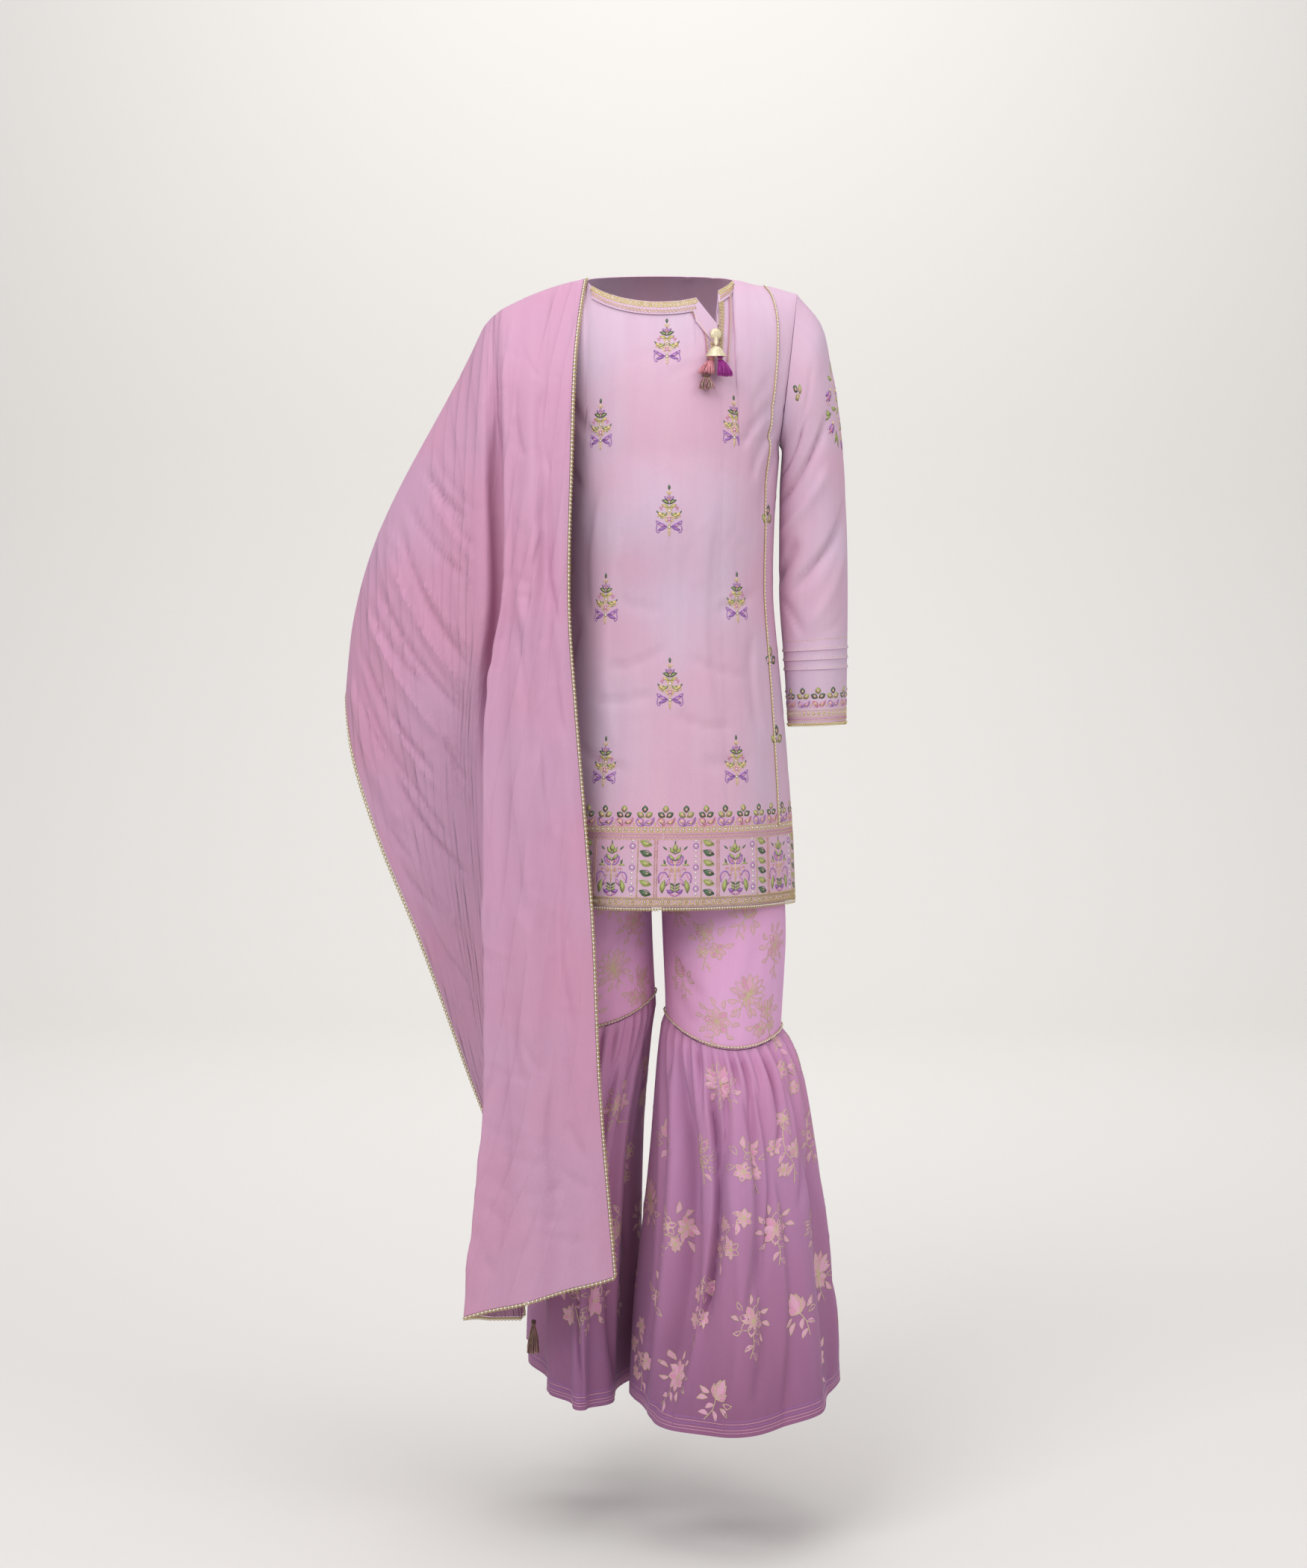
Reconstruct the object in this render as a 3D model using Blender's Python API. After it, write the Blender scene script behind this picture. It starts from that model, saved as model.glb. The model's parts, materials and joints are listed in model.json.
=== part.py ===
"""A worn three-piece lawn suit: a short kurta, a gathered gharara trouser and a long scarf over one shoulder.

Metres, +Z up, the front faces -Y and the wearer's left is +X. The origin is on the shoulder line at the
base of the neck. Each cloth is a thin wall lofted from a short table of its own sections.
"""

import math
from collections import namedtuple

import bmesh
import bpy
from mathutils import Matrix, Vector

WALL = 0.0012  # thickness of the kurta and trouser cloth
SCARF_WALL = 0.0010
SEAM = 0.0003  # gap between two sewn pieces
KNEE_GAP = 0.0009  # straight down, since the knee's seam runs aslant
ARMHOLE_GAP = 0.0006
LACE_WIDTH = 0.0040
LACE_THICK = 0.0012

# Heights of the kurta's and the trouser's main levels
HEM_Z = -0.752
BORDER_TOP_Z = -0.6635
CHEST_Z = -0.215
WAIST_TOP_Z = -0.372
WAIST_Z = -0.405
CROTCH_START_Z = -0.590
CROTCH_END_Z = -0.715

Ring = namedtuple("Ring", "z cx cy half_width front_depth back_depth")
KURTA_RINGS = [
    Ring(-0.752, -0.006, 0.0, 0.1605, 0.136, 0.132),
    Ring(-0.6635, -0.004, 0.0, 0.1550, 0.132, 0.127),
    Ring(-0.600, -0.002, 0.0, 0.1490, 0.128, 0.120),
    Ring(-0.520, 0.000, 0.0, 0.1410, 0.124, 0.107),
    Ring(-0.440, 0.000, 0.0, 0.1340, 0.120, 0.097),
    Ring(-0.380, 0.000, 0.0, 0.1295, 0.119, 0.089),
    Ring(-0.290, 0.000, 0.0, 0.1310, 0.125, 0.091),
    Ring(-0.215, 0.000, 0.0, 0.1365, 0.118, 0.098),
]
HIP_RINGS = [
    Ring(-0.720, -0.013, 0.0, 0.1420, 0.112, 0.104),
    Ring(-0.560, -0.008, 0.0, 0.1320, 0.104, 0.096),
    Ring(-0.460, -0.003, 0.0, 0.1190, 0.098, 0.082),
    Ring(-0.405, 0.000, 0.0, 0.1120, 0.094, 0.072),
    Ring(-0.372, 0.000, 0.0, 0.1120, 0.094, 0.072),
]

# Neckline and shoulders of the kurta
NECK_LEFT_X = 0.079
NECK_RIGHT_X = -0.098
NECK_DROP = 0.034
NECK_DEPTH_FRONT = 0.072
NECK_DEPTH_BACK = 0.048
NECK_RISE_BACK = 0.010
SHOULDER_TIP_X = 0.157
SHOULDER_TIP_Z = -0.017
LACE_SHOULDER_X = 0.117
LACE_SHOULDER_Z = -0.007
UNDERARM_X = 0.136
UNDERARM_Z = -0.200
ARMHOLE_HALF_DEPTH = 0.047

# The slit beside the centre front, and the placket border round it
SLIT_TIP_X = 0.034
SLIT_FOOT_X = 0.0575
SLIT_END_X = 0.0615
SLIT_FOOT_Z = -0.060
NECK_BORDER_WIDTH = 0.016
NECK_BORDER_LIFT = 0.0004
NECK_BORDER_THICK = 0.0009
PLACKET_FOOT_Z = -0.106

# Angles round the kurta, in degrees from the centre front towards the wearer's left
LACE_ANGLE = 64.0
NECK_LEFT_ANGLE = 38.0
NECK_RIGHT_ANGLE = -46.0

Cuff = namedtuple("Cuff", "along outer_x outer_z inner_x inner_z cy half_depth")
SLEEVE_LEFT = [
    Cuff(0.000, 0.157, -0.017, 0.136, -0.200, 0.000, 0.047),
    Cuff(0.045, 0.187, -0.054, 0.1395, -0.206, 0.000, 0.053),
    Cuff(0.095, 0.199, -0.102, 0.1395, -0.217, 0.002, 0.056),
    Cuff(0.140, 0.207, -0.143, 0.1385, -0.232, 0.004, 0.055),
    Cuff(0.205, 0.2145, -0.208, 0.1375, -0.256, 0.006, 0.053),
    Cuff(0.295, 0.2195, -0.298, 0.1370, -0.320, 0.008, 0.051),
    Cuff(0.375, 0.2210, -0.378, 0.1375, -0.390, 0.008, 0.049),
    Cuff(0.455, 0.2205, -0.458, 0.1430, -0.462, 0.006, 0.046),
    Cuff(0.532, 0.2195, -0.535, 0.1480, -0.538, 0.004, 0.043),
]
SLEEVE_RIGHT = [
    Cuff(0.000, -0.157, -0.017, -0.136, -0.200, 0.000, 0.047),
    Cuff(0.055, -0.188, -0.064, -0.142, -0.206, 0.000, 0.050),
    Cuff(0.110, -0.214, -0.112, -0.152, -0.215, 0.000, 0.050),
    Cuff(0.165, -0.245, -0.157, -0.168, -0.228, 0.000, 0.049),
    Cuff(0.237, -0.285, -0.217, -0.203, -0.253, 0.000, 0.048),
    Cuff(0.310, -0.318, -0.282, -0.234, -0.302, 0.000, 0.047),
    Cuff(0.390, -0.346, -0.357, -0.264, -0.371, 0.000, 0.046),
    Cuff(0.465, -0.364, -0.432, -0.288, -0.442, 0.000, 0.044),
    Cuff(0.532, -0.372, -0.499, -0.300, -0.509, 0.000, 0.042),
]
TUCKS_ABOVE_CUFF = (0.065, 0.077, 0.089)  # three pin tucks round each sleeve
TUCK_HEIGHT = 0.0014
TUCK_RAMP = 0.0045
TUCK_STEP = 0.0008

Leg = namedtuple("Leg", "z cx cy half_width half_depth")
LEG_LEFT = [
    Leg(-0.925, 0.0680, -0.024, 0.0705, 0.081),
    Leg(-0.880, 0.0695, -0.020, 0.0715, 0.083),
    Leg(-0.840, 0.0700, -0.016, 0.0735, 0.085),
    Leg(-0.795, 0.0700, -0.012, 0.0755, 0.086),
    Leg(-0.740, 0.0680, -0.006, 0.0755, 0.087),
    Leg(-0.640, 0.0620, 0.000, 0.0720, 0.092),
]
LEG_RIGHT = [
    Leg(-0.925, -0.0830, 0.014, 0.0705, 0.081),
    Leg(-0.880, -0.0860, 0.012, 0.0720, 0.083),
    Leg(-0.840, -0.0890, 0.010, 0.0730, 0.085),
    Leg(-0.795, -0.0905, 0.007, 0.0725, 0.086),
    Leg(-0.740, -0.0906, 0.003, 0.0716, 0.087),
    Leg(-0.640, -0.0840, 0.000, 0.0700, 0.092),
]
Knee = namedtuple("Knee", "side_z front_drop outer_drop")
KNEE_LEFT = Knee(-0.899, 0.026, 0.009)
KNEE_RIGHT = Knee(-0.884, 0.020, 0.014)

Flare = namedtuple("Flare", "fall cx cy half_width half_depth front_pinch back_spread")
FLARE_LEFT = [
    Flare(0.00, 0.0680, -0.024, 0.0705, 0.081, 0.00, 0.00),
    Flare(0.10, 0.0760, -0.030, 0.0840, 0.098, 0.00, 0.00),
    Flare(0.35, 0.0800, -0.042, 0.1000, 0.122, 0.00, 0.00),
    Flare(0.60, 0.0795, -0.052, 0.1085, 0.140, 0.00, 0.00),
    Flare(0.85, 0.0810, -0.060, 0.1180, 0.155, 0.00, 0.00),
    Flare(1.00, 0.0825, -0.063, 0.1225, 0.160, 0.00, 0.00),
]
FLARE_RIGHT = [
    Flare(0.00, -0.0830, 0.014, 0.0705, 0.081, 0.00, 0.00),
    Flare(0.10, -0.0900, 0.018, 0.0690, 0.094, 0.02, 0.02),
    Flare(0.35, -0.0960, 0.026, 0.0655, 0.118, 0.11, 0.15),
    Flare(0.60, -0.1000, 0.034, 0.0640, 0.138, 0.19, 0.31),
    Flare(0.85, -0.1030, 0.041, 0.0640, 0.153, 0.26, 0.44),
    Flare(1.00, -0.1035, 0.044, 0.0640, 0.158, 0.28, 0.50),
]
Hem = namedtuple("Hem", "outer_z front_z inner_z")
FLARE_HEM_LEFT = Hem(-1.338, -1.364, -1.354)
FLARE_HEM_RIGHT = Hem(-1.335, -1.360, -1.348)
GATHERS = 32  # round each flare, two columns to a gather
GATHER_DEPTH = 0.0034
BIG_FOLDS = 8
BIG_FOLD_DEPTH = 0.0085

Guide = namedtuple("Guide", "inner pleat valley ridge outer")
SCARF_GUIDES = [
    Guide((-0.064, -0.150, -1.190), (-0.246, -0.150, -1.239), (-0.226, -0.116, -1.245),
          (-0.214, -0.080, -1.255), (-0.162, -0.048, -1.262)),
    Guide((-0.082, -0.150, -0.967), (-0.2225, -0.150, -0.960), (-0.196, -0.118, -0.965),
          (-0.212, -0.086, -0.990), (-0.201, -0.042, -1.080)),
    Guide((-0.091, -0.147, -0.760), (-0.2216, -0.150, -0.760), (-0.196, -0.113, -0.765),
          (-0.216, -0.084, -0.790), (-0.245, -0.044, -0.950)),
    Guide((-0.110, -0.138, -0.520), (-0.2185, -0.137, -0.510), (-0.200, -0.098, -0.515),
          (-0.229, -0.100, -0.540), (-0.298, -0.050, -0.800)),
    Guide((-0.118, -0.130, -0.388), (-0.1960, -0.124, -0.375), (-0.190, -0.094, -0.380),
          (-0.216, -0.112, -0.395), (-0.342, -0.054, -0.690)),
    Guide((-0.1154, -0.116, -0.231), (-0.1950, -0.104, -0.228), (-0.198, -0.082, -0.236),
          (-0.218, -0.104, -0.248), (-0.3725, -0.050, -0.600)),
    Guide((-0.1115, -0.083, -0.095), (-0.1970, -0.076, -0.108), (-0.206, -0.064, -0.119),
          (-0.219, -0.076, -0.134), (-0.387, -0.036, -0.538)),
    Guide((-0.1004, 0.000, 0.0015), (-0.2000, 0.000, -0.035), (-0.212, 0.000, -0.044),
          (-0.224, 0.000, -0.058), (-0.3925, 0.000, -0.500)),
    Guide((-0.108, 0.084, -0.100), (-0.1920, 0.084, -0.115), (-0.206, 0.080, -0.130),
          (-0.222, 0.078, -0.145), (-0.387, 0.038, -0.540)),
    Guide((-0.112, 0.116, -0.260), (-0.1820, 0.114, -0.270), (-0.202, 0.108, -0.280),
          (-0.224, 0.104, -0.300), (-0.372, 0.052, -0.605)),
    Guide((-0.108, 0.132, -0.510), (-0.1700, 0.132, -0.520), (-0.190, 0.128, -0.525),
          (-0.214, 0.122, -0.540), (-0.325, 0.074, -0.740)),
    Guide((-0.096, 0.166, -0.850), (-0.1500, 0.168, -0.855), (-0.170, 0.164, -0.860),
          (-0.192, 0.156, -0.880), (-0.250, 0.110, -0.960)),
    Guide((-0.080, 0.206, -1.160), (-0.1290, 0.208, -1.165), (-0.149, 0.204, -1.170),
          (-0.169, 0.198, -1.175), (-0.205, 0.160, -1.180)),
]
SCARF_TOP = 7  # the guide row on the shoulder line
ARM_BULGE = 0.031  # how far the cloth over the arm stands out from a straight line
SHOULDER_CROWN = 0.0042
PANEL_FOLD = 0.0055
BACK_FOLD = 0.011
SCARF_COLUMNS = (3.0, 2.84, 2.68, 2.52, 2.36, 2.2, 2.08, 2.0, 1.75, 1.5, 1.25, 1.0,
                 0.86, 0.71, 0.57, 0.43, 0.28, 0.14, 0.0)

Shade = namedtuple("Shade", "red green blue roughness metallic")
LILAC = Shade(0.62, 0.36, 0.55, 0.75, 0.0)
MAUVE = Shade(0.45, 0.22, 0.42, 0.75, 0.0)
SCARF_LILAC = Shade(0.60, 0.34, 0.50, 0.8, 0.0)
BORDER_LILAC = Shade(0.56, 0.31, 0.45, 0.7, 0.0)
GOLD = Shade(0.55, 0.43, 0.22, 0.4, 0.6)
TASSEL_PINK = Shade(0.78, 0.35, 0.42, 0.7, 0.0)
TASSEL_PURPLE = Shade(0.35, 0.04, 0.36, 0.7, 0.0)
TASSEL_BROWN = Shade(0.38, 0.22, 0.24, 0.7, 0.0)


def clear_scene():
    for obj in list(bpy.data.objects):
        bpy.data.objects.remove(obj)


def material(name, shade):
    made = bpy.data.materials.get(name) or bpy.data.materials.new(name)
    made.use_nodes = True
    surface = made.node_tree.nodes["Principled BSDF"]
    surface.inputs["Base Color"].default_value = (shade.red, shade.green, shade.blue, 1.0)
    surface.inputs["Roughness"].default_value = shade.roughness
    surface.inputs["Metallic"].default_value = shade.metallic
    return made


def smooth(t):
    t = min(1.0, max(0.0, t))
    return t * t * (3 - 2 * t)


def curve_value(keys, values, at):
    """A smooth curve through (key, value) pairs, with the slope at each key taken from its neighbours."""
    last = len(keys) - 1
    at = min(keys[-1], max(keys[0], at))
    i = 0
    while i < last - 1 and at > keys[i + 1]:
        i += 1

    def slope(j):
        a = max(0, j - 1)
        b = min(last, j + 1)
        return (values[b] - values[a]) / (keys[b] - keys[a])

    span = keys[i + 1] - keys[i]
    t = (at - keys[i]) / span
    return (
        values[i] * (1 + 2 * t) * (1 - t) ** 2
        + slope(i) * span * t * (1 - t) ** 2
        + values[i + 1] * t * t * (3 - 2 * t)
        + slope(i + 1) * span * t * t * (t - 1)
    )


def read(table, at):
    """The row of a table at a place between its rows. The first column is the place, and it grows."""
    keys = [row[0] for row in table]
    return type(table[0])(at, *(curve_value(keys, column, at) for column in list(zip(*table))[1:]))


def outward(rows, i, j, closed):
    """The outward direction at one point of a grid whose columns run anticlockwise and whose rows run up."""
    count = len(rows[0])
    before, after = (j - 1, j + 1) if not closed else ((j - 1) % count, (j + 1) % count)
    along = rows[i][min(count - 1, after)] - rows[i][max(0, before)]
    up = rows[min(len(rows) - 1, i + 1)][j] - rows[max(0, i - 1)][j]
    return along.cross(up).normalized()


def moved_out(rows, distance, closed=False):
    return [
        [point + outward(rows, i, j, closed) * distance for j, point in enumerate(row)]
        for i, row in enumerate(rows)
    ]


def wall(name, rows, shade, thickness=WALL, closed=False, cells=None):
    """One closed solid from a grid of outer points, the same grid moved in, and the rims between them.

    cells names the grid's cells that the piece covers, as (row, column). Without it the piece covers them all.
    """
    return wall_between(name, rows, moved_out(rows, -thickness, closed), shade, closed, cells)


def wall_between(name, rows, inner, shade, closed=False, cells=None):
    height, width = len(rows), len(rows[0])
    steps = width if closed else width - 1
    if cells is None:
        cells = {(i, j) for i in range(height - 1) for j in range(steps)}
    mesh = bmesh.new()
    made = {}

    def corner(layer, i, j):
        key = (layer, i, j % width)
        if key not in made:
            made[key] = mesh.verts.new((rows if layer == 0 else inner)[i][j % width])
        return made[key]

    for i, j in sorted(cells):
        square = ((i, j), (i, j + 1), (i + 1, j + 1), (i + 1, j))
        for first, second in ((1, 2), (2, 3)):
            corners = (square[0], square[first], square[second])
            mesh.faces.new([corner(0, *place) for place in corners])
            mesh.faces.new([corner(1, *place) for place in corners[::-1]])
        beside = ((i - 1, j), (i, (j + 1) % width if closed else j + 1), (i + 1, j), (i, (j - 1) % width if closed else j - 1))
        for side, neighbour in enumerate(beside):
            if neighbour not in cells:
                a, b = square[side], square[(side + 1) % 4]
                mesh.faces.new((corner(0, *b), corner(0, *a), corner(1, *a), corner(1, *b)))
    return finish(name, mesh, shade)


def panel(name, rows, shade, thickness=WALL, crown=None):
    """A wall that meets its neighbours at both sides.

    The first and last columns lie past its seams and only give the wall its direction there, and so does the
    crown, a row past its top. Each seam is drawn back by half the gap.
    """
    grid = rows + [crown] if crown else rows
    inner = moved_out(grid, -thickness)[:len(rows)]
    layers = [[row[1:-1] for row in layer] for layer in (rows, inner)]
    for layer in layers:
        for row in layer:
            first = (row[1] - row[0]).normalized() * SEAM * 0.55
            last = (row[-2] - row[-1]).normalized() * SEAM * 0.55
            row[0] = row[0] + first
            row[-1] = row[-1] + last
    return wall_between(name, layers[0], layers[1], shade)


def finish(name, mesh, shade):
    bmesh.ops.recalc_face_normals(mesh, faces=mesh.faces)
    data = bpy.data.meshes.new(name)
    mesh.to_mesh(data)
    mesh.free()
    data.shade_smooth()
    data.set_sharp_from_angle(angle=math.radians(50))
    data.materials.append(material(name, shade))
    obj = bpy.data.objects.new(name, data)
    bpy.context.scene.collection.objects.link(obj)
    return obj


# Kurta body


def ring_point(table, angle, z, back=False):
    """A point of the body's ring at a height, at an angle from the centre front or the centre back."""
    ring = read(table, z)
    turn = math.radians(angle)
    depth = ring.back_depth if back else -ring.front_depth
    return Vector((ring.cx + ring.half_width * math.sin(turn), ring.cy + depth * math.cos(turn), z))


def armhole_point(side, turn_degrees, back):
    """A point of the armhole: 0 degrees at the shoulder tip and 180 at the underarm."""
    turn = math.radians(turn_degrees)
    mid_x = (SHOULDER_TIP_X + UNDERARM_X) / 2
    mid_z = (SHOULDER_TIP_Z + UNDERARM_Z) / 2
    x = mid_x + (SHOULDER_TIP_X - UNDERARM_X) / 2 * math.cos(turn)
    z = mid_z + (SHOULDER_TIP_Z - UNDERARM_Z) / 2 * math.cos(turn)
    y = ARMHOLE_HALF_DEPTH * math.sin(turn)
    return Vector((side * x, y if back else -y, z))


def shoulder_height(x):
    """The shoulder line falls from the neck to the lace, and faster from there to the tip."""
    reach = abs(x)
    if reach < LACE_SHOULDER_X:
        return LACE_SHOULDER_Z * smooth((reach - NECK_LEFT_X) / (LACE_SHOULDER_X - NECK_LEFT_X))
    share = (reach - LACE_SHOULDER_X) / (SHOULDER_TIP_X - LACE_SHOULDER_X)
    return LACE_SHOULDER_Z + (SHOULDER_TIP_Z - LACE_SHOULDER_Z) * share


def body_top(angle, back):
    """Where the column at this angle ends, on the neckline or the shoulder, and its direction there."""
    side = 1 if angle >= 0 else -1
    facing = 1 if back else -1
    neck_angle, neck_x = (NECK_LEFT_ANGLE, NECK_LEFT_X) if side > 0 else (NECK_RIGHT_ANGLE, NECK_RIGHT_X)
    if abs(angle) >= abs(neck_angle):
        share = (abs(angle) - abs(neck_angle)) / (LACE_ANGLE - abs(neck_angle))
        x = neck_x + (side * LACE_SHOULDER_X - neck_x) * share
        return Vector((x, 0, shoulder_height(x))), Vector((-side * 0.35 * share, -facing * 0.85, 0.35))
    share = (angle - NECK_RIGHT_ANGLE) / (NECK_LEFT_ANGLE - NECK_RIGHT_ANGLE)
    x = NECK_RIGHT_X + (NECK_LEFT_X - NECK_RIGHT_X) * share
    round_share = math.sqrt(max(0.0, 1 - (2 * share - 1) ** 2))
    if back:
        return Vector((x, NECK_DEPTH_BACK * round_share, NECK_RISE_BACK * round_share)), Vector((0, -0.7, 0.6))
    top = Vector((x, -NECK_DEPTH_FRONT * round_share, -NECK_DROP * round_share ** 1.3))
    return top, Vector((0, 0.75 - 0.25 * round_share, 0.45 + 0.45 * round_share))


def yoke_point(angle, climb, back):
    """From the chest ring (climb 0) to the neckline or shoulder (climb 1), leaving upwards."""
    start = ring_point(KURTA_RINGS, angle, CHEST_Z, back)
    end, direction = body_top(angle, back)
    distance = (end - start).length
    leave = Vector((0, 0, 1)) * distance
    arrive = direction * distance * 1.25
    t = climb
    return (
        start * (1 + 2 * t) * (1 - t) ** 2
        + leave * t * (1 - t) ** 2
        + end * t * t * (3 - 2 * t)
        + arrive * t * t * (t - 1)
    )


def climb_at(angle, z, back=False):
    """How far up its yoke column a panel is at a height."""
    low, high = 0.0, 1.0
    for _ in range(30):
        middle = (low + high) / 2
        if yoke_point(angle, middle, back).z < z:
            low = middle
        else:
            high = middle
    return low


def angle_of_neck_x(x):
    share = (x - NECK_RIGHT_X) / (NECK_LEFT_X - NECK_RIGHT_X)
    return NECK_RIGHT_ANGLE + (NECK_LEFT_ANGLE - NECK_RIGHT_ANGLE) * share


SLIT_TIP_ANGLE = angle_of_neck_x(SLIT_TIP_X)
SLIT_FOOT_ANGLE = angle_of_neck_x(SLIT_FOOT_X)
SLIT_END_ANGLE = angle_of_neck_x(SLIT_END_X)


def top_climb(angle):
    """The front's columns stop short where the slit is cut."""
    if SLIT_TIP_ANGLE < angle < SLIT_END_ANGLE:
        near = SLIT_TIP_ANGLE if angle <= SLIT_FOOT_ANGLE else SLIT_END_ANGLE
        share = (angle - near) / (SLIT_FOOT_ANGLE - near)
        edge_z = yoke_point(near, 1.0, False).z
        return climb_at(angle, edge_z + (SLIT_FOOT_Z - edge_z) * share)
    return 1.0


BODY_LEVELS = [BORDER_TOP_Z + SEAM, -0.575, -0.490, -0.410, -0.335, -0.265]
ARMHOLE_STEPS = 8  # round each half of the armhole, from the underarm up to the shoulder's tip
YOKE_ROWS = ARMHOLE_STEPS + 2
PLACKET_ROW = 5
BAND_ROW = 7


def armhole_turn(row):
    return 180 * (1 - (row - 1) / ARMHOLE_STEPS)


def yoke_climb(angle, row, back):
    """How far up its column a row crosses: the rows follow the armhole, and in front the neck's border."""
    if row == 0:
        return 0.0
    top = 1.0 if back else top_climb(angle)
    in_neck = NECK_RIGHT_ANGLE < angle <= NECK_LEFT_ANGLE and not back
    if row == YOKE_ROWS - 1:
        return top
    if not in_neck:
        tip = SHOULDER_TIP_Z - CHEST_Z
        share = (armhole_point(1, armhole_turn(row), back).z - CHEST_Z) / tip
        level = CHEST_Z + (yoke_point(angle, 1.0, back).z - CHEST_Z) * share
        return climb_at(angle, level, back)
    placket = climb_at(angle, PLACKET_FOOT_Z)
    if row <= PLACKET_ROW:
        return placket * row / PLACKET_ROW
    drop = NECK_BORDER_WIDTH * (1.9 if SLIT_TIP_ANGLE - 1 < angle < SLIT_FOOT_ANGLE else 1.0)
    band = climb_at(angle, yoke_point(angle, top, False).z - drop)
    if row <= BAND_ROW:
        return placket + (band - placket) * (row - PLACKET_ROW) / (BAND_ROW - PLACKET_ROW)
    return band + (top - band) * (row - BAND_ROW) / (YOKE_ROWS - 1 - BAND_ROW)


def side_point(angle, row, back):
    """A point between the lace's line and the armhole, on one row of the yoke."""
    side = 1 if angle >= 0 else -1
    share = (abs(angle) - LACE_ANGLE) / (90 - LACE_ANGLE)
    if row == 0:
        return ring_point(KURTA_RINGS, angle, CHEST_Z, back)
    turn = math.radians(armhole_turn(row))
    start = yoke_point(side * LACE_ANGLE, yoke_climb(side * LACE_ANGLE, row, back), back)
    before_angle = side * (LACE_ANGLE - 4)
    before = yoke_point(before_angle, yoke_climb(before_angle, row, back), back)
    end = armhole_point(side, armhole_turn(row), back)
    inwards = -1 if back else 1
    arrive = Vector((side * math.cos(turn / 2) ** 2, inwards * math.sin(turn / 2), -0.25 * math.cos(turn / 2) ** 4))
    reach = (end - start).length
    arrive = arrive.normalized() * reach
    leave = (start - before).normalized() * reach
    if share > 1:
        return end + arrive * (share - 1)
    t = share
    return (
        start * (1 + 2 * t) * (1 - t) ** 2
        + leave * t * (1 - t) ** 2
        + end * t * t * (3 - 2 * t)
        + arrive * t * t * (t - 1)
    )


def body_point(angle, row, back):
    if row < len(BODY_LEVELS):
        return ring_point(KURTA_RINGS, angle, BODY_LEVELS[row], back)
    row -= len(BODY_LEVELS)
    if abs(angle) > LACE_ANGLE:
        point = side_point(angle, row, back)
    else:
        point = yoke_point(angle, yoke_climb(angle, row, back), back)
    if row == YOKE_ROWS - 1:
        point = point + Vector((0, SEAM / 2 if back else -SEAM / 2, 0))
    return point


def body_rows(angles, back=False):
    return [[body_point(angle, row, back) for angle in angles] for row in range(len(BODY_LEVELS) + YOKE_ROWS)]


def crown(rows, angles):
    """A row past the top: over the shoulder it mirrors the row before, so that both sides meet squarely."""
    row = []
    for point, before, angle in zip(rows[-1], rows[-2], angles):
        in_neck = NECK_RIGHT_ANGLE < angle < NECK_LEFT_ANGLE
        row.append(point * 2 - before if in_neck else Vector((before.x, -before.y, before.z)))
    return row


CENTRE_ANGLES = [-LACE_ANGLE, -55, -46, -41, -33, -24, -14, -3, 8, angle_of_neck_x(0.026), SLIT_TIP_ANGLE,
                 angle_of_neck_x(0.0475), SLIT_FOOT_ANGLE, SLIT_END_ANGLE, angle_of_neck_x(0.0715),
                 angle_of_neck_x(0.0768), NECK_LEFT_ANGLE, 47, 56, LACE_ANGLE]
SIDE_ANGLES = [LACE_ANGLE, 68.5, 73, 78, 84, 90]
BACK_ANGLES = SIDE_ANGLES[::-1] + [51, NECK_LEFT_ANGLE, 28, 14, -4, -22, -36, NECK_RIGHT_ANGLE, -55]
BACK_ANGLES += [-angle for angle in SIDE_ANGLES]


def with_spares(angles):
    step = 1.5 if angles[-1] > angles[0] else -1.5
    return [angles[0] - step, *angles, angles[-1] + step]


def kurta_panel(name, angles, back=False):
    spread = with_spares(angles)
    rows = body_rows(spread, back)
    panel(name, rows, LILAC, crown=crown(rows, spread))


def kurta_panels():
    kurta_panel("kurta_front_centre", CENTRE_ANGLES)
    kurta_panel("kurta_front_side_left", SIDE_ANGLES)
    kurta_panel("kurta_front_side_right", [-angle for angle in reversed(SIDE_ANGLES)])
    kurta_panel("kurta_back", BACK_ANGLES, back=True)


def border_rows(angles, back=False):
    levels = [HEM_Z, -0.722, -0.692, BORDER_TOP_Z]
    return [[ring_point(KURTA_RINGS, angle, z, back) for angle in angles] for z in levels]


BORDER_ANGLES = [-90, -80, -70, -60, -48, -36, -24, -12, 0, 12, 24, 36, 48, 60, 70, 80, 90]


def hem_border():
    panel("hem_border_front", border_rows(with_spares(BORDER_ANGLES)), BORDER_LILAC)
    panel("hem_border_back", border_rows(with_spares(BORDER_ANGLES[::-1]), back=True), BORDER_LILAC)


def hem_lace():
    """A picot lace that hangs from the kurta's hem."""
    front = with_spares(BORDER_ANGLES)
    for name, angles, back in (("hem_lace_front", front, False), ("hem_lace_back", front[::-1], True)):
        drop = Vector((0, 0, SEAM))
        top = [ring_point(KURTA_RINGS, angle, HEM_Z, back) - drop for angle in angles]
        foot = [point - Vector((0, 0, LACE_WIDTH)) for point in top]
        panel(name, [foot, top], GOLD, LACE_THICK)


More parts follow.
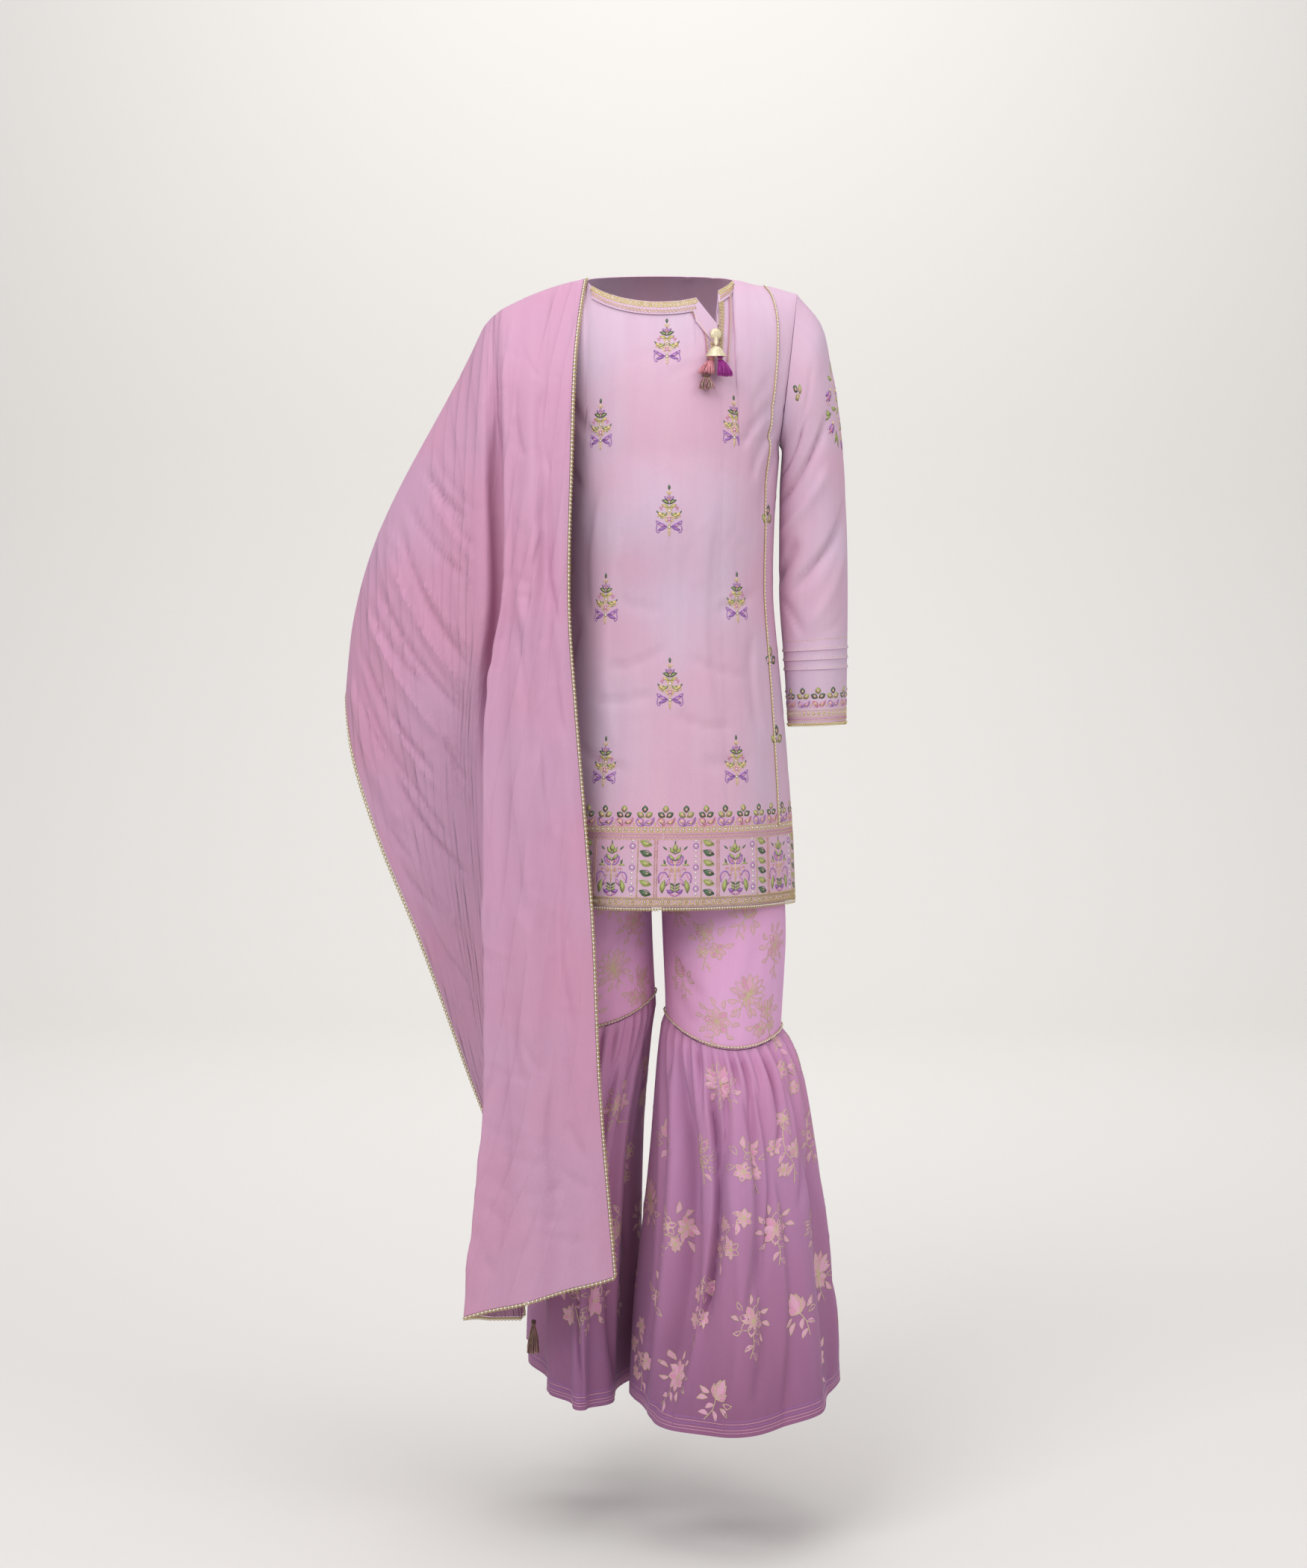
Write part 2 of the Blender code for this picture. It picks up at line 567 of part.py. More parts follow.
def neck_border():
    """The worked border: a band along the front neckline that runs down both sides of the slit.

    It is made from the front panel's own points, moved out.
    """
    rows = body_rows(CENTRE_ANGLES)
    first = CENTRE_ANGLES.index(-41)
    last = CENTRE_ANGLES.index(NECK_LEFT_ANGLE) - 1
    chest = len(BODY_LEVELS)
    cells = {(chest + i, j) for i in range(BAND_ROW, YOKE_ROWS - 1) for j in range(first, last)}
    placket_start = CENTRE_ANGLES.index(SLIT_TIP_ANGLE) + 1
    cells |= {(chest + i, j) for i in range(PLACKET_ROW, BAND_ROW) for j in range(placket_start, last - 1)}
    grid = rows + [crown(rows, CENTRE_ANGLES)]
    inner = moved_out(grid, NECK_BORDER_LIFT)[:-1]
    outer = moved_out(grid, NECK_BORDER_LIFT + NECK_BORDER_THICK)[:-1]
    wall_between("neck_border", outer, inner, BORDER_LILAC, cells=cells)


def panel_lace():
    """A narrow lace over each front seam, from the shoulder to the border."""
    half_turn = 0.9
    for side, name in ((1, "panel_lace_left"), (-1, "panel_lace_right")):
        angles = sorted(side * (LACE_ANGLE + turn) for turn in (-half_turn, 0, half_turn))
        rows = body_rows(angles)
        grid = rows + [crown(rows, angles)]
        inner = moved_out(grid, NECK_BORDER_LIFT)[:-1]
        wall_between(name, moved_out(grid, NECK_BORDER_LIFT + LACE_THICK)[:-1], inner, GOLD)


# Sleeves


def sleeve_point(table, along, turn_degrees, side):
    """A point of the sleeve: 0 degrees on its outer line, 90 in front, 180 under the arm."""
    cuff = read(table, along)
    turn = math.radians(turn_degrees)
    mid = Vector(((cuff.outer_x + cuff.inner_x) / 2, cuff.cy, (cuff.outer_z + cuff.inner_z) / 2))
    half = Vector(((cuff.outer_x - cuff.inner_x) / 2, 0, (cuff.outer_z - cuff.inner_z) / 2))
    point = mid + half * math.cos(turn) - Vector((0, cuff.half_depth * math.sin(turn), 0))
    if along == 0.0:
        point.x += side * ARMHOLE_GAP
    return point


def elbow_folds(along, turn_degrees):
    """Three soft drags that run down and inwards across the front of a hanging sleeve."""
    lift = 0.0
    for start, depth in ((0.09, 0.0045), (0.19, 0.0040), (0.30, 0.0035)):
        line = start + 0.10 * (turn_degrees / 180.0)
        across = (along - line) / 0.022
        front = max(0.0, math.sin(math.radians(turn_degrees)))
        lift -= depth * math.exp(-across * across) * front
    return lift


def sleeve(name, table, side):
    length = table[-1].along
    stations = [0.0, 0.03, 0.07, 0.12, 0.175, 0.235, 0.295, 0.355, 0.415]
    lifts = {station: 0.0 for station in stations}
    for above in TUCKS_ABOVE_CUFF:
        crest = length - above
        lifts[crest - TUCK_RAMP] = 0.0
        lifts[crest] = TUCK_HEIGHT
        lifts[crest + TUCK_STEP] = 0.0
    lifts[length] = 0.0
    turns = [180 * i / ARMHOLE_STEPS for i in range(2 * ARMHOLE_STEPS)]
    if side < 0:
        turns = turns[::-1]
    rows = []
    for along in sorted(lifts, reverse=True):
        rows.append([sleeve_point(table, along, -turn, side) for turn in turns])
    # Columns run anticlockwise seen from above: outer line, back, inner line and front.
    normals = [[outward(rows, i, j, True) for j in range(len(turns))] for i in range(len(rows))]
    for i, along in enumerate(sorted(lifts, reverse=True)):
        for j, turn in enumerate(turns):
            lift = lifts[along]
            if 0.0 < along < length - 0.10:
                lift += elbow_folds(along, (-turn) % 360)
            rows[i][j] = rows[i][j] + normals[i][j] * lift
    inner = moved_out(rows, -WALL, True)
    centre = sum(rows[-1], Vector()) / len(turns)
    inner[-1] = [point + (centre - point).normalized() * WALL for point in rows[-1]]
    wall_between(name, rows, inner, LILAC, True)


def cuff_lace(name, table, side):
    length = table[-1].along
    turns = [180 * i / ARMHOLE_STEPS for i in range(2 * ARMHOLE_STEPS)]
    if side < 0:
        turns = turns[::-1]
    edge = [sleeve_point(table, length, -turn, side) for turn in turns]
    before = [sleeve_point(table, length - 0.01, -turn, side) for turn in turns]
    rows = [[], []]
    for point, higher in zip(edge, before):
        down = (point - higher).normalized()
        rows[1].append(point + down * SEAM)
        rows[0].append(point + down * (SEAM + LACE_WIDTH))
    wall(name, rows, GOLD, LACE_THICK, closed=True)


# Trouser


def knee_height(knee, turn_degrees):
    """The knee seam hangs lower in front and on the outer side."""
    turn = math.radians(turn_degrees)
    return knee.side_z - knee.front_drop * max(0.0, math.sin(turn)) ** 1.5 - knee.outer_drop * math.cos(turn)


def trouser_point(table, knee, side, back, share, fall):
    """A point of one leg panel: share 0 at the side seam and 1 at the inseam or the centre seam."""
    turn = 180 * share
    front_turn = turn if not back else 360 - turn
    foot_z = knee_height(knee, front_turn)
    z = WAIST_Z + (foot_z - WAIST_Z) * fall
    hip = ring_point(HIP_RINGS, side * 90 * (1 - share), z, back)
    leg = read(table, z)
    swing = math.radians(turn)
    depth = leg.half_depth * math.sin(swing) * (1 if back else -1)
    on_leg = Vector((leg.cx + side * leg.half_width * math.cos(swing), leg.cy + depth, z))
    blend = smooth((CROTCH_START_Z - z) / (CROTCH_START_Z - CROTCH_END_Z))
    return hip.lerp(on_leg, blend)


TROUSER_FALLS = [1.0, 0.93, 0.85, 0.77, 0.69, 0.62, 0.55, 0.48, 0.40, 0.28, 0.14, 0.0]
PANEL_COLUMNS = 8
PANEL_SHARES = [step / PANEL_COLUMNS for step in range(PANEL_COLUMNS + 1)]


def trouser_panels():
    legs = ((1, "left", LEG_LEFT, KNEE_LEFT), (-1, "right", LEG_RIGHT, KNEE_RIGHT))
    for side, word, table, knee in legs:
        for back in (False, True):
            spread = [-0.05, *PANEL_SHARES, 1.05]
            shares = spread if (side < 0) != back else spread[::-1]
            rows = [
                [trouser_point(table, knee, side, back, share, fall) for share in shares]
                for fall in TROUSER_FALLS
            ]
            name = f"trouser_{'back' if back else 'front'}_{word}"
            panel(name, rows, MAUVE)
        knee_lace(f"knee_lace_{word}", table, knee, side)


def knee_lace(name, table, knee, side):
    """A beaded lace round the knee, just above the gathers."""
    rows = []
    for fall in (0.9985, 0.9905):
        front = [trouser_point(table, knee, side, False, share, fall) for share in PANEL_SHARES[1:-1]]
        rear = [trouser_point(table, knee, side, True, share, fall) for share in PANEL_SHARES[1:-1]]
        outer = trouser_point(table, knee, side, False, 0, fall)
        inner = trouser_point(table, knee, side, False, 1, fall)
        loop = [outer, *front, inner, *rear[::-1]]
        rows.append(loop if side < 0 else [loop[0], *loop[:0:-1]])
    wall(name, moved_out(rows, NECK_BORDER_LIFT + LACE_THICK, True), GOLD, LACE_THICK, closed=True)


def waistband():
    angles = [15 * i for i in range(24)]
    rows = []
    for z in (WAIST_Z + SEAM, WAIST_TOP_Z):
        ring = read(HIP_RINGS, z)
        row = []
        for angle in angles:
            turn = math.radians(angle)
            depth = ring.back_depth if math.sin(turn) > 0 else ring.front_depth
            row.append(Vector((ring.cx + ring.half_width * math.cos(turn), depth * math.sin(turn), z)))
        rows.append(row)
    wall("waistband", rows, MAUVE, 0.002, closed=True)


def gather(fall):
    """Depth of the fine gathers: full just under the seam, gone at mid shin."""
    return GATHER_DEPTH * smooth(fall / 0.05) * (1 - smooth((fall - 0.12) / 0.45))


def flare_head(leg, knee, side, column):
    """The flare starts on the straight lines between the leg panel's own points."""
    step = 2 * PANEL_COLUMNS * (column % (2 * GATHERS)) / (2 * GATHERS)
    ends = []
    for whole in (math.floor(step + 1e-6), math.floor(step + 1e-6) + 1):
        back = whole > PANEL_COLUMNS
        share = whole / PANEL_COLUMNS if not back else 2 - whole / PANEL_COLUMNS
        ends.append(trouser_point(leg, knee, side, back, share, 1.0))
    return ends[0].lerp(ends[1], step - math.floor(step + 1e-6)) - Vector((0, 0, KNEE_GAP))


def flare_point(table, knee, hem, side, column, columns, fall):
    turn_degrees = 360 * column / columns
    turn = math.radians(turn_degrees)
    row = read(table, fall)
    head_z = knee_height(knee, turn_degrees) - SEAM
    outer_share = (1 + math.cos(turn)) / 2
    side_z = hem.outer_z * outer_share + hem.inner_z * (1 - outer_share)
    foot_z = side_z + (hem.front_z - (hem.outer_z + hem.inner_z) / 2) * max(0.0, math.sin(turn))
    z = head_z + (foot_z - head_z) * fall
    cosine, sine = math.cos(turn), math.sin(turn)
    width = row.half_width * (1 - row.front_pinch * sine)
    if sine < 0:
        width = row.half_width * (1 - row.back_spread * sine)
        square = 1 - row.back_spread / 2
        cosine = math.copysign(abs(cosine) ** square, cosine)
        sine = -abs(sine) ** square
    point = Vector((row.cx + side * width * cosine, row.cy - row.half_depth * sine, z))
    away = Vector((side * math.cos(turn) / width, -math.sin(turn) / row.half_depth, 0)).normalized()
    crest = 1 if column % 2 == 0 else -1
    swell = math.cos(math.radians(BIG_FOLDS * turn_degrees) + 0.8 * math.sin(turn + side))
    lift = gather(fall) * crest + BIG_FOLD_DEPTH * smooth(fall / 0.8) * swell
    return point + away * lift


FLARE_FALLS = [1.0, 0.83, 0.63, 0.42, 0.22, 0.06, 0.0]


def flare(word, table, leg, knee, hem, side):
    columns = 2 * GATHERS
    half = columns // 2
    for name, first in ((f"flare_front_{word}", 0), (f"flare_back_{word}", half)):
        steps = list(range(first - 1, first + half + 2))
        if side > 0:
            steps = steps[::-1]
        rows = [
            [flare_point(table, knee, hem, side, step, columns, fall) for step in steps]
            for fall in FLARE_FALLS[:-1]
        ]
        rows.append([flare_head(leg, knee, side, step) for step in steps])
        panel(name, rows, MAUVE)


# Scarf


def scarf_point(v, u):
    """A point of the scarf: v runs from the inner edge (0) to the outer edge (3), and u along the guide rows."""
    rows = list(range(len(SCARF_GUIDES)))

    def on(line):
        points = [getattr(guide, line) for guide in SCARF_GUIDES]
        return Vector([curve_value(rows, [p[axis] for p in points], u) for axis in range(3)])

    if v <= 1:
        point = on("inner").lerp(on("pleat"), v)
        front = smooth((SCARF_TOP - 0.6 - u) / 2.0)
        over = 1 - smooth(abs(u - SCARF_TOP) / 1.3)
        point.z += SHOULDER_CROWN * math.sin(math.pi * v) * over
        belly = 0.010 * math.sin(math.pi * v) * front
        point.y -= belly + PANEL_FOLD * front * math.sin(math.radians(720 * v + 40))
    elif v <= 2:
        first, second, start = ("pleat", "valley", 1.0) if v <= 1.5 else ("valley", "ridge", 1.5)
        point = on(first).lerp(on(second), (v - start) * 2)
    else:
        share = v - 2
        point = on("ridge").lerp(on("outer"), share)
        near = 1 - smooth(abs(u - SCARF_TOP) / 3.6)
        bulge = ARM_BULGE * math.sin(math.pi * share ** 1.45) * near
        point += Vector((-0.93, 0, 0.37)) * bulge
    behind = smooth((u - SCARF_TOP - 1.2) / 3.0)
    point.y += BACK_FOLD * behind * math.sin(math.radians(360 * 4.5 * v / 3))
    return point


SCARF_ROWS = [0, 0.4, 1.0, 1.7, 2.4, 3.0, 3.6, 4.2, 4.8, 5.4, 6.0, 6.35, 6.65, 6.85,
              7.0, 7.15, 7.35, 7.65, 8.0, 8.6, 9.4, 10.3, 11.2, 12.0]


def scarf():
    rows = [[scarf_point(v, u) for v in SCARF_COLUMNS] for u in SCARF_ROWS]
    for row, u in zip(rows, SCARF_ROWS):
        if u == 0:
            row[-1].x -= 0.013
            row[-1].z += 0.004
    wall("scarf", rows, SCARF_LILAC, SCARF_WALL)
    return rows


def scarf_lace(rows):
    """A sequinned lace round all four edges of the scarf, just outside the cloth."""
    height, width = len(rows), len(rows[0])
    normals = [[outward(rows, i, j, False) for j in range(width)] for i in range(height)]
    loop = [(0, j) for j in range(width)]
    loop += [(i, width - 1) for i in range(1, height)]
    loop += [(height - 1, j) for j in range(width - 2, -1, -1)]
    loop += [(i, 0) for i in range(height - 2, 0, -1)]
    edge = [rows[i][j] for i, j in loop]
    near, far = [], []
    for k, (i, j) in enumerate(loop):
        back = (edge[k] - edge[k - 1]).normalized()
        ahead = (edge[(k + 1) % len(edge)] - edge[k]).normalized()
        run = (back + ahead).normalized()
        away = run.cross(normals[i][j]).normalized()
        stretch = 1 / max(0.75, run.dot(ahead))
        near.append(edge[k] + away * SEAM * 2 * stretch)
        far.append(edge[k] + away * (SEAM * 2 + LACE_WIDTH) * stretch)
    through = [normals[i][j] * SCARF_WALL for i, j in loop]
    under = [[point - depth for point, depth in zip(row, through)] for row in (far, near)]
    wall_between("scarf_lace", [far, near], under, GOLD, closed=True)


# Tassels and beads


def prism(mesh, top, foot, radius, sides=3, twist=0.0):
    """A thin strand of a few sides, slightly thicker at its foot."""
    run = (foot - top).normalized()
    across = run.orthogonal().normalized()
    other = run.cross(across)
    loops = []
    for centre, size in ((top, radius * 0.8), (foot, radius)):
        loop = []
        for i in range(sides):
            turn = twist + 2 * math.pi * i / sides
            loop.append(mesh.verts.new(centre + (across * math.cos(turn) + other * math.sin(turn)) * size))
        loops.append(loop)
    for i in range(sides):
        k = (i + 1) % sides
        mesh.faces.new((loops[0][i], loops[0][k], loops[1][k], loops[1][i]))
    mesh.faces.new(loops[0])
    mesh.faces.new(loops[1][::-1])


def turned(mesh, centre, profile, sides=10):
    """A closed turned form about the vertical, from (radius, height) pairs that start and end on the axis."""
    rings = []
    for radius, height in profile[1:-1]:
        rings.append([
            mesh.verts.new(centre + Vector((
                radius * math.cos(2 * math.pi * i / sides), radius * math.sin(2 * math.pi * i / sides), height)))
            for i in range(sides)
        ])
    ends = [mesh.verts.new(centre + Vector((0, 0, profile[k][1]))) for k in (0, -1)]
    for upper, lower in zip(rings, rings[1:]):
        for i in range(sides):
            k = (i + 1) % sides
            mesh.faces.new((upper[i], lower[i], lower[k], upper[k]))
    for i in range(sides):
        k = (i + 1) % sides
        mesh.faces.new((ends[0], rings[0][i], rings[0][k]))
        mesh.faces.new((ends[1], rings[-1][k], rings[-1][i]))


Tassel = namedtuple("Tassel", "name head head_radius head_height length splay lean_x lean_y strands shade")
TASSEL_FLATNESS = 0.72  # from front to back, since a tassel lies on the cloth


def tassel(spec):
    """A bound head with strands that hang from it, fused at their roots only."""
    head_radius, head_height = spec.head_radius, spec.head_height
    mesh = bmesh.new()
    top = Vector(spec.head)
    turned(mesh, top, [
        (0, 0), (head_radius * 0.7, -0.0003), (head_radius, -head_height * 0.35),
        (head_radius * 0.80, -head_height * 0.65), (head_radius * 0.97, -head_height),
        (0, -head_height - 0.0003)])
    for vert in mesh.verts:
        vert.co.y = top.y + (vert.co.y - top.y) * TASSEL_FLATNESS
    head = finish(spec.name, mesh, spec.shade)
    mesh = bmesh.new()
    golden_turn = 2.39996
    for i in range(spec.strands):
        share = math.sqrt((i + 0.5) / spec.strands)
        turn = i * golden_turn
        out = Vector((math.cos(turn), math.sin(turn) * TASSEL_FLATNESS, 0)) * share
        root = top + out * head_radius * 0.8 + Vector((0, 0, -head_height + 0.0008))
        reach = spec.length - 0.0025 * (1 - math.cos(3.0 * turn)) / 2
        foot = top + out * spec.splay + Vector((spec.lean_x, spec.lean_y, -reach))
        prism(mesh, root, foot, 0.00042, twist=turn)
    strands = finish(f"{spec.name}_strands", mesh, spec.shade)
    strands.hide_render = True
    strands.display_type = "WIRE"
    union = head.modifiers.new("strands", "BOOLEAN")
    union.operation = "UNION"
    union.object = strands
    union.solver = "EXACT"


def ball(name, centre, radius, shade, squash=(1, 1, 1), tilt=0.0):
    mesh = bmesh.new()
    steps = 6
    profile = [
        (radius * math.sin(math.pi * i / steps), radius * math.cos(math.pi * i / steps)) for i in range(steps + 1)
    ]
    turned(mesh, Vector(), profile)
    for vert in mesh.verts:
        place = Vector([value * scale for value, scale in zip(vert.co, squash)])
        vert.co = Vector(centre) + Matrix.Rotation(tilt, 3, "X") @ place
    finish(name, mesh, shade)


def front_y(x, z):
    """How far forward the front panel is at one place."""
    angle = angle_of_neck_x(x)
    for _ in range(12):
        point = yoke_point(angle, climb_at(angle, z), False)
        angle += (x - point.x) / 0.0022
    return point.y


PENDANT_X = 0.0575
BUTTON_Z = -0.0730
BUTTON_RADIUS = 0.0072
BUTTON_FLATNESS = 0.4
BUTTON_GAP = 0.0006  # from the front panel to the button, over its border
BEAD_RADIUS = 0.0030
BEAD_LIFT = 0.0006
BELL_TOP_Z = -0.0885
BELL_HEIGHT = 0.0120
BELL_RADIUS = 0.0128
BELL_FLATNESS = 0.72
BELL_GAP = 0.0026
TIER_GAP = 0.0003


def pendant():
    """The hanging ornament at the foot of the slit: button, bead, bell cap and three tassels."""
    button_y = front_y(PENDANT_X, BUTTON_Z - BUTTON_RADIUS) - BUTTON_RADIUS * BUTTON_FLATNESS - BUTTON_GAP
    button = Vector((PENDANT_X, button_y, BUTTON_Z))
    ball("pendant_button", button, BUTTON_RADIUS, BORDER_LILAC, (1, BUTTON_FLATNESS, 1))
    bell_y = front_y(PENDANT_X, BELL_TOP_Z - BELL_HEIGHT) - BELL_RADIUS * BELL_FLATNESS - BELL_GAP
    mesh = bmesh.new()
    turned(mesh, Vector((PENDANT_X, bell_y, BELL_TOP_Z)), [
        (0, 0), (0.0035, -0.0004), (0.0075, -0.0035), (BELL_RADIUS * 0.85, -BELL_HEIGHT * 0.75),
        (BELL_RADIUS, -BELL_HEIGHT), (BELL_RADIUS - WALL, -BELL_HEIGHT), (0.0080, -BELL_HEIGHT * 0.72),
        (0, -BELL_HEIGHT * 0.60)], sides=16)
    for vert in mesh.verts:
        vert.co.y = bell_y + (vert.co.y - bell_y) * BELL_FLATNESS
    finish("pendant_bell", mesh, GOLD)
    # A long bead lies aslant between the button and the bell's top.
    bell_top = Vector((PENDANT_X, bell_y, BELL_TOP_Z + BEAD_LIFT))
    run = (bell_top - button).normalized()
    in_button = 1 / math.hypot(run.y / (BUTTON_RADIUS * BUTTON_FLATNESS), run.z / BUTTON_RADIUS)
    near = button + run * (in_button + BEAD_LIFT)
    half_length = (bell_top - near).length / 2
    tilt = math.atan2(run.z, run.y) - math.pi / 2
    ball("pendant_bead", (near + bell_top) / 2, BEAD_RADIUS, GOLD, (1, 1, half_length / BEAD_RADIUS), tilt)
    hang_z = BELL_TOP_Z - BELL_HEIGHT * 0.76 - SEAM

    def drift(x, top_z, length):
        """A tassel follows the chest, which comes forward below the neck."""
        return front_y(x, top_z - length) - front_y(x, top_z)

    pink, purple = (PENDANT_X - 0.0055, 0.0240), (PENDANT_X + 0.0050, 0.0270)
    tassels = [
        Tassel("tassel_pink", (pink[0], bell_y - 0.0005, hang_z), 0.0042, 0.0075, pink[1],
               0.0110, -0.006, drift(pink[0] - 0.006, hang_z, pink[1]), 26, TASSEL_PINK),
        Tassel("tassel_purple", (purple[0], bell_y - 0.0005, hang_z + 0.0003), 0.0042, 0.0075, purple[1],
               0.0100, 0.006, drift(purple[0] + 0.006, hang_z, purple[1]), 26, TASSEL_PURPLE),
    ]
    upper = tassels[0]
    tier = Vector(upper.head) + Vector((upper.lean_x, upper.lean_y, -upper.length - TIER_GAP))
    tassels.append(Tassel("tassel_brown", tier, 0.0095, 0.0025, 0.0180,
                          0.0115, 0.0, drift(tier.x, tier.z, 0.018), 24, TASSEL_BROWN))
    for spec in tassels:
        tassel(spec)


def corner_tassel(rows):
    """The tassel on the scarf's outer front corner."""
    corner = rows[0][0]
    head = (corner.x - 0.0010, corner.y, corner.z - LACE_WIDTH - 0.0002)
    tassel(Tassel("tassel_corner", head, 0.0042, 0.0085, 0.0420, 0.0085, 0.0, 0.0, 26, TASSEL_BROWN))


def main():
    clear_scene()
    kurta_panels()
    hem_border()
    hem_lace()
    neck_border()
    panel_lace()
    sleeve("sleeve_left", SLEEVE_LEFT, 1)
    sleeve("sleeve_right", SLEEVE_RIGHT, -1)
    cuff_lace("cuff_lace_left", SLEEVE_LEFT, 1)
    cuff_lace("cuff_lace_right", SLEEVE_RIGHT, -1)
    trouser_panels()
    waistband()
    flare("left", FLARE_LEFT, LEG_LEFT, KNEE_LEFT, FLARE_HEM_LEFT, 1)
    flare("right", FLARE_RIGHT, LEG_RIGHT, KNEE_RIGHT, FLARE_HEM_RIGHT, -1)
    rows = scarf()
    scarf_lace(rows)
    pendant()
    corner_tassel(rows)


main()
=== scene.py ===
# %% [markdown]
# # A three-piece lawn suit
# The suit is a short tunic (kurta), gathered trousers (gharara) and a long scarf (dupatta), standing as if worn.
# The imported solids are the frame: they fix every size. Here each solid cloth is replaced by a smooth thin
# shell on the same form, and the thread work, print, laces and tassels are laid on it.

# %% Load the frame
import json
import math
from collections import namedtuple

import bpy
import numpy as np
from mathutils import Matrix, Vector

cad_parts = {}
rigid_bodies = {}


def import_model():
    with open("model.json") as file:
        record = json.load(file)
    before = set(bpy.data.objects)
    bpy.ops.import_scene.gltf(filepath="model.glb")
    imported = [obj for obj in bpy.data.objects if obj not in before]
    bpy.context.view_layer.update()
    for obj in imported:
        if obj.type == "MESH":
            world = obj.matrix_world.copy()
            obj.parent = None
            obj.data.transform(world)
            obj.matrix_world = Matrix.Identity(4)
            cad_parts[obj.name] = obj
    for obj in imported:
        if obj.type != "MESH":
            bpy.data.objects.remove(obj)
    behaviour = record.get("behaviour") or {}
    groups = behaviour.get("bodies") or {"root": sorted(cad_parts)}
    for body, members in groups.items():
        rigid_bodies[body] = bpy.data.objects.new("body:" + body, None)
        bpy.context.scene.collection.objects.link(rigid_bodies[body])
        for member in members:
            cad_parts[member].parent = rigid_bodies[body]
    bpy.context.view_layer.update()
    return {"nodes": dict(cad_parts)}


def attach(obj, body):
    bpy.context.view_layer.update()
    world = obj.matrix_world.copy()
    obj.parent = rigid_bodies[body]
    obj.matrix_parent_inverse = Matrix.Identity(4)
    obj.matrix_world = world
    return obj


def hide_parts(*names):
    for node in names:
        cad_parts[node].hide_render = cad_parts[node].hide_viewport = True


bpy.ops.object.select_all(action="SELECT")
bpy.ops.object.delete()
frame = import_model()
MM = 0.001
rng = np.random.default_rng(7)
print("solids loaded:", len(frame["nodes"]))


def in_mm(*rows, kind=None):
    """Table rows that are given in millimetres, as plain tuples or as rows of one kind, in metres."""
    return [(kind._make if kind else tuple)(value * MM for value in row) for row in rows]

# %% [markdown]
# ## Camera, floor and light
# The photograph was taken from about waist height and four metres away with a long lens. The camera is tilted
# down a little, because a tilt stays the same in every other view. A big soft light on each side, one above,
# one on the backdrop and a bright room give the soft shadows of a studio.

# %% Camera
bpy.context.scene.view_settings.view_transform = "Standard"
CAMERA_PLACE = Vector((-0.0165, -3.8, -0.4))
CAMERA_AIM = Vector((-0.0165, 0.0, -0.613))
bpy.ops.object.camera_add(location=CAMERA_PLACE)
camera = bpy.context.object
camera.name = "camera"
camera.rotation_euler = (CAMERA_AIM - CAMERA_PLACE).to_track_quat("-Z", "Y").to_euler()
camera.data.sensor_width = 36
camera.data.lens = 71.3
camera.data.clip_end = 50
bpy.context.scene.camera = camera

# %% Floor and backdrop, which sweep up behind
FLOOR_Z = -1.519


def set_inputs(node, values):
    for label, value in values.items():
        node.inputs[label].default_value = value


def plain_material(name, colour, roughness):
    made = bpy.data.materials.new(name)
    made.use_nodes = True
    set_inputs(made.node_tree.nodes["Principled BSDF"],
               {"Base Color": (*colour, 1), "Roughness": roughness, "Specular IOR Level": 0.15})
    return made


SWEEP_WIDTH, SWEEP_START, SWEEP_LENGTH, SWEEP_FLAT, SWEEP_BEND = 18, -4.0, 14.0, 8.6, 1.6
bpy.ops.mesh.primitive_grid_add(x_subdivisions=2, y_subdivisions=60, size=1)
floor = bpy.context.object
floor.name = "floor"
for vert in floor.data.vertices:
    along = (vert.co.y + 0.5) * SWEEP_LENGTH
    bend = min(max(along - SWEEP_FLAT, 0.0) / SWEEP_BEND, math.pi / 2)
    rise = max(0.0, along - SWEEP_FLAT - SWEEP_BEND * math.pi / 2)
    vert.co = (vert.co.x * SWEEP_WIDTH, min(along, SWEEP_FLAT) + SWEEP_START + SWEEP_BEND * math.sin(bend),
               FLOOR_Z + SWEEP_BEND * (1 - math.cos(bend)) + rise)
bpy.ops.object.shade_smooth()
floor.data.materials.append(plain_material("pale_floor", (0.75, 0.73, 0.705), 0.9))

# %% Lights
world = bpy.context.scene.world or bpy.data.worlds.new("world")
bpy.context.scene.world = world
world.use_nodes = True
set_inputs(world.node_tree.nodes["Background"], {"Color": (0.985, 0.985, 0.995, 1), "Strength": 0.54})

Lamp = namedtuple("Lamp", "name x y z aim_y aim_z size power")
LAMPS = [
    Lamp("key", -1.3, -2.3, 1.5, 0.0, -0.1, 1.8, 49),
    Lamp("fill", 2.0, -2.1, 1.3, 0.0, 0.0, 1.8, 26),
    Lamp("top", 0.0, -0.5, 2.2, 0.0, -0.5, 2.0, 24),
    Lamp("backdrop", 0.0, 3.2, 2.8, 5.2, -0.6, 3.0, 104),
]
for lamp in LAMPS:
    bpy.ops.object.light_add(type="AREA", location=(lamp.x, lamp.y, lamp.z))
    light = bpy.context.object
    light.name = f"light_{lamp.name}"
    light.data.shape = "SQUARE"
    light.data.size = lamp.size
    light.data.energy = lamp.power
    aim = Vector((0, lamp.aim_y, lamp.aim_z))
    light.rotation_euler = (aim - light.location).to_track_quat("-Z", "Y").to_euler()
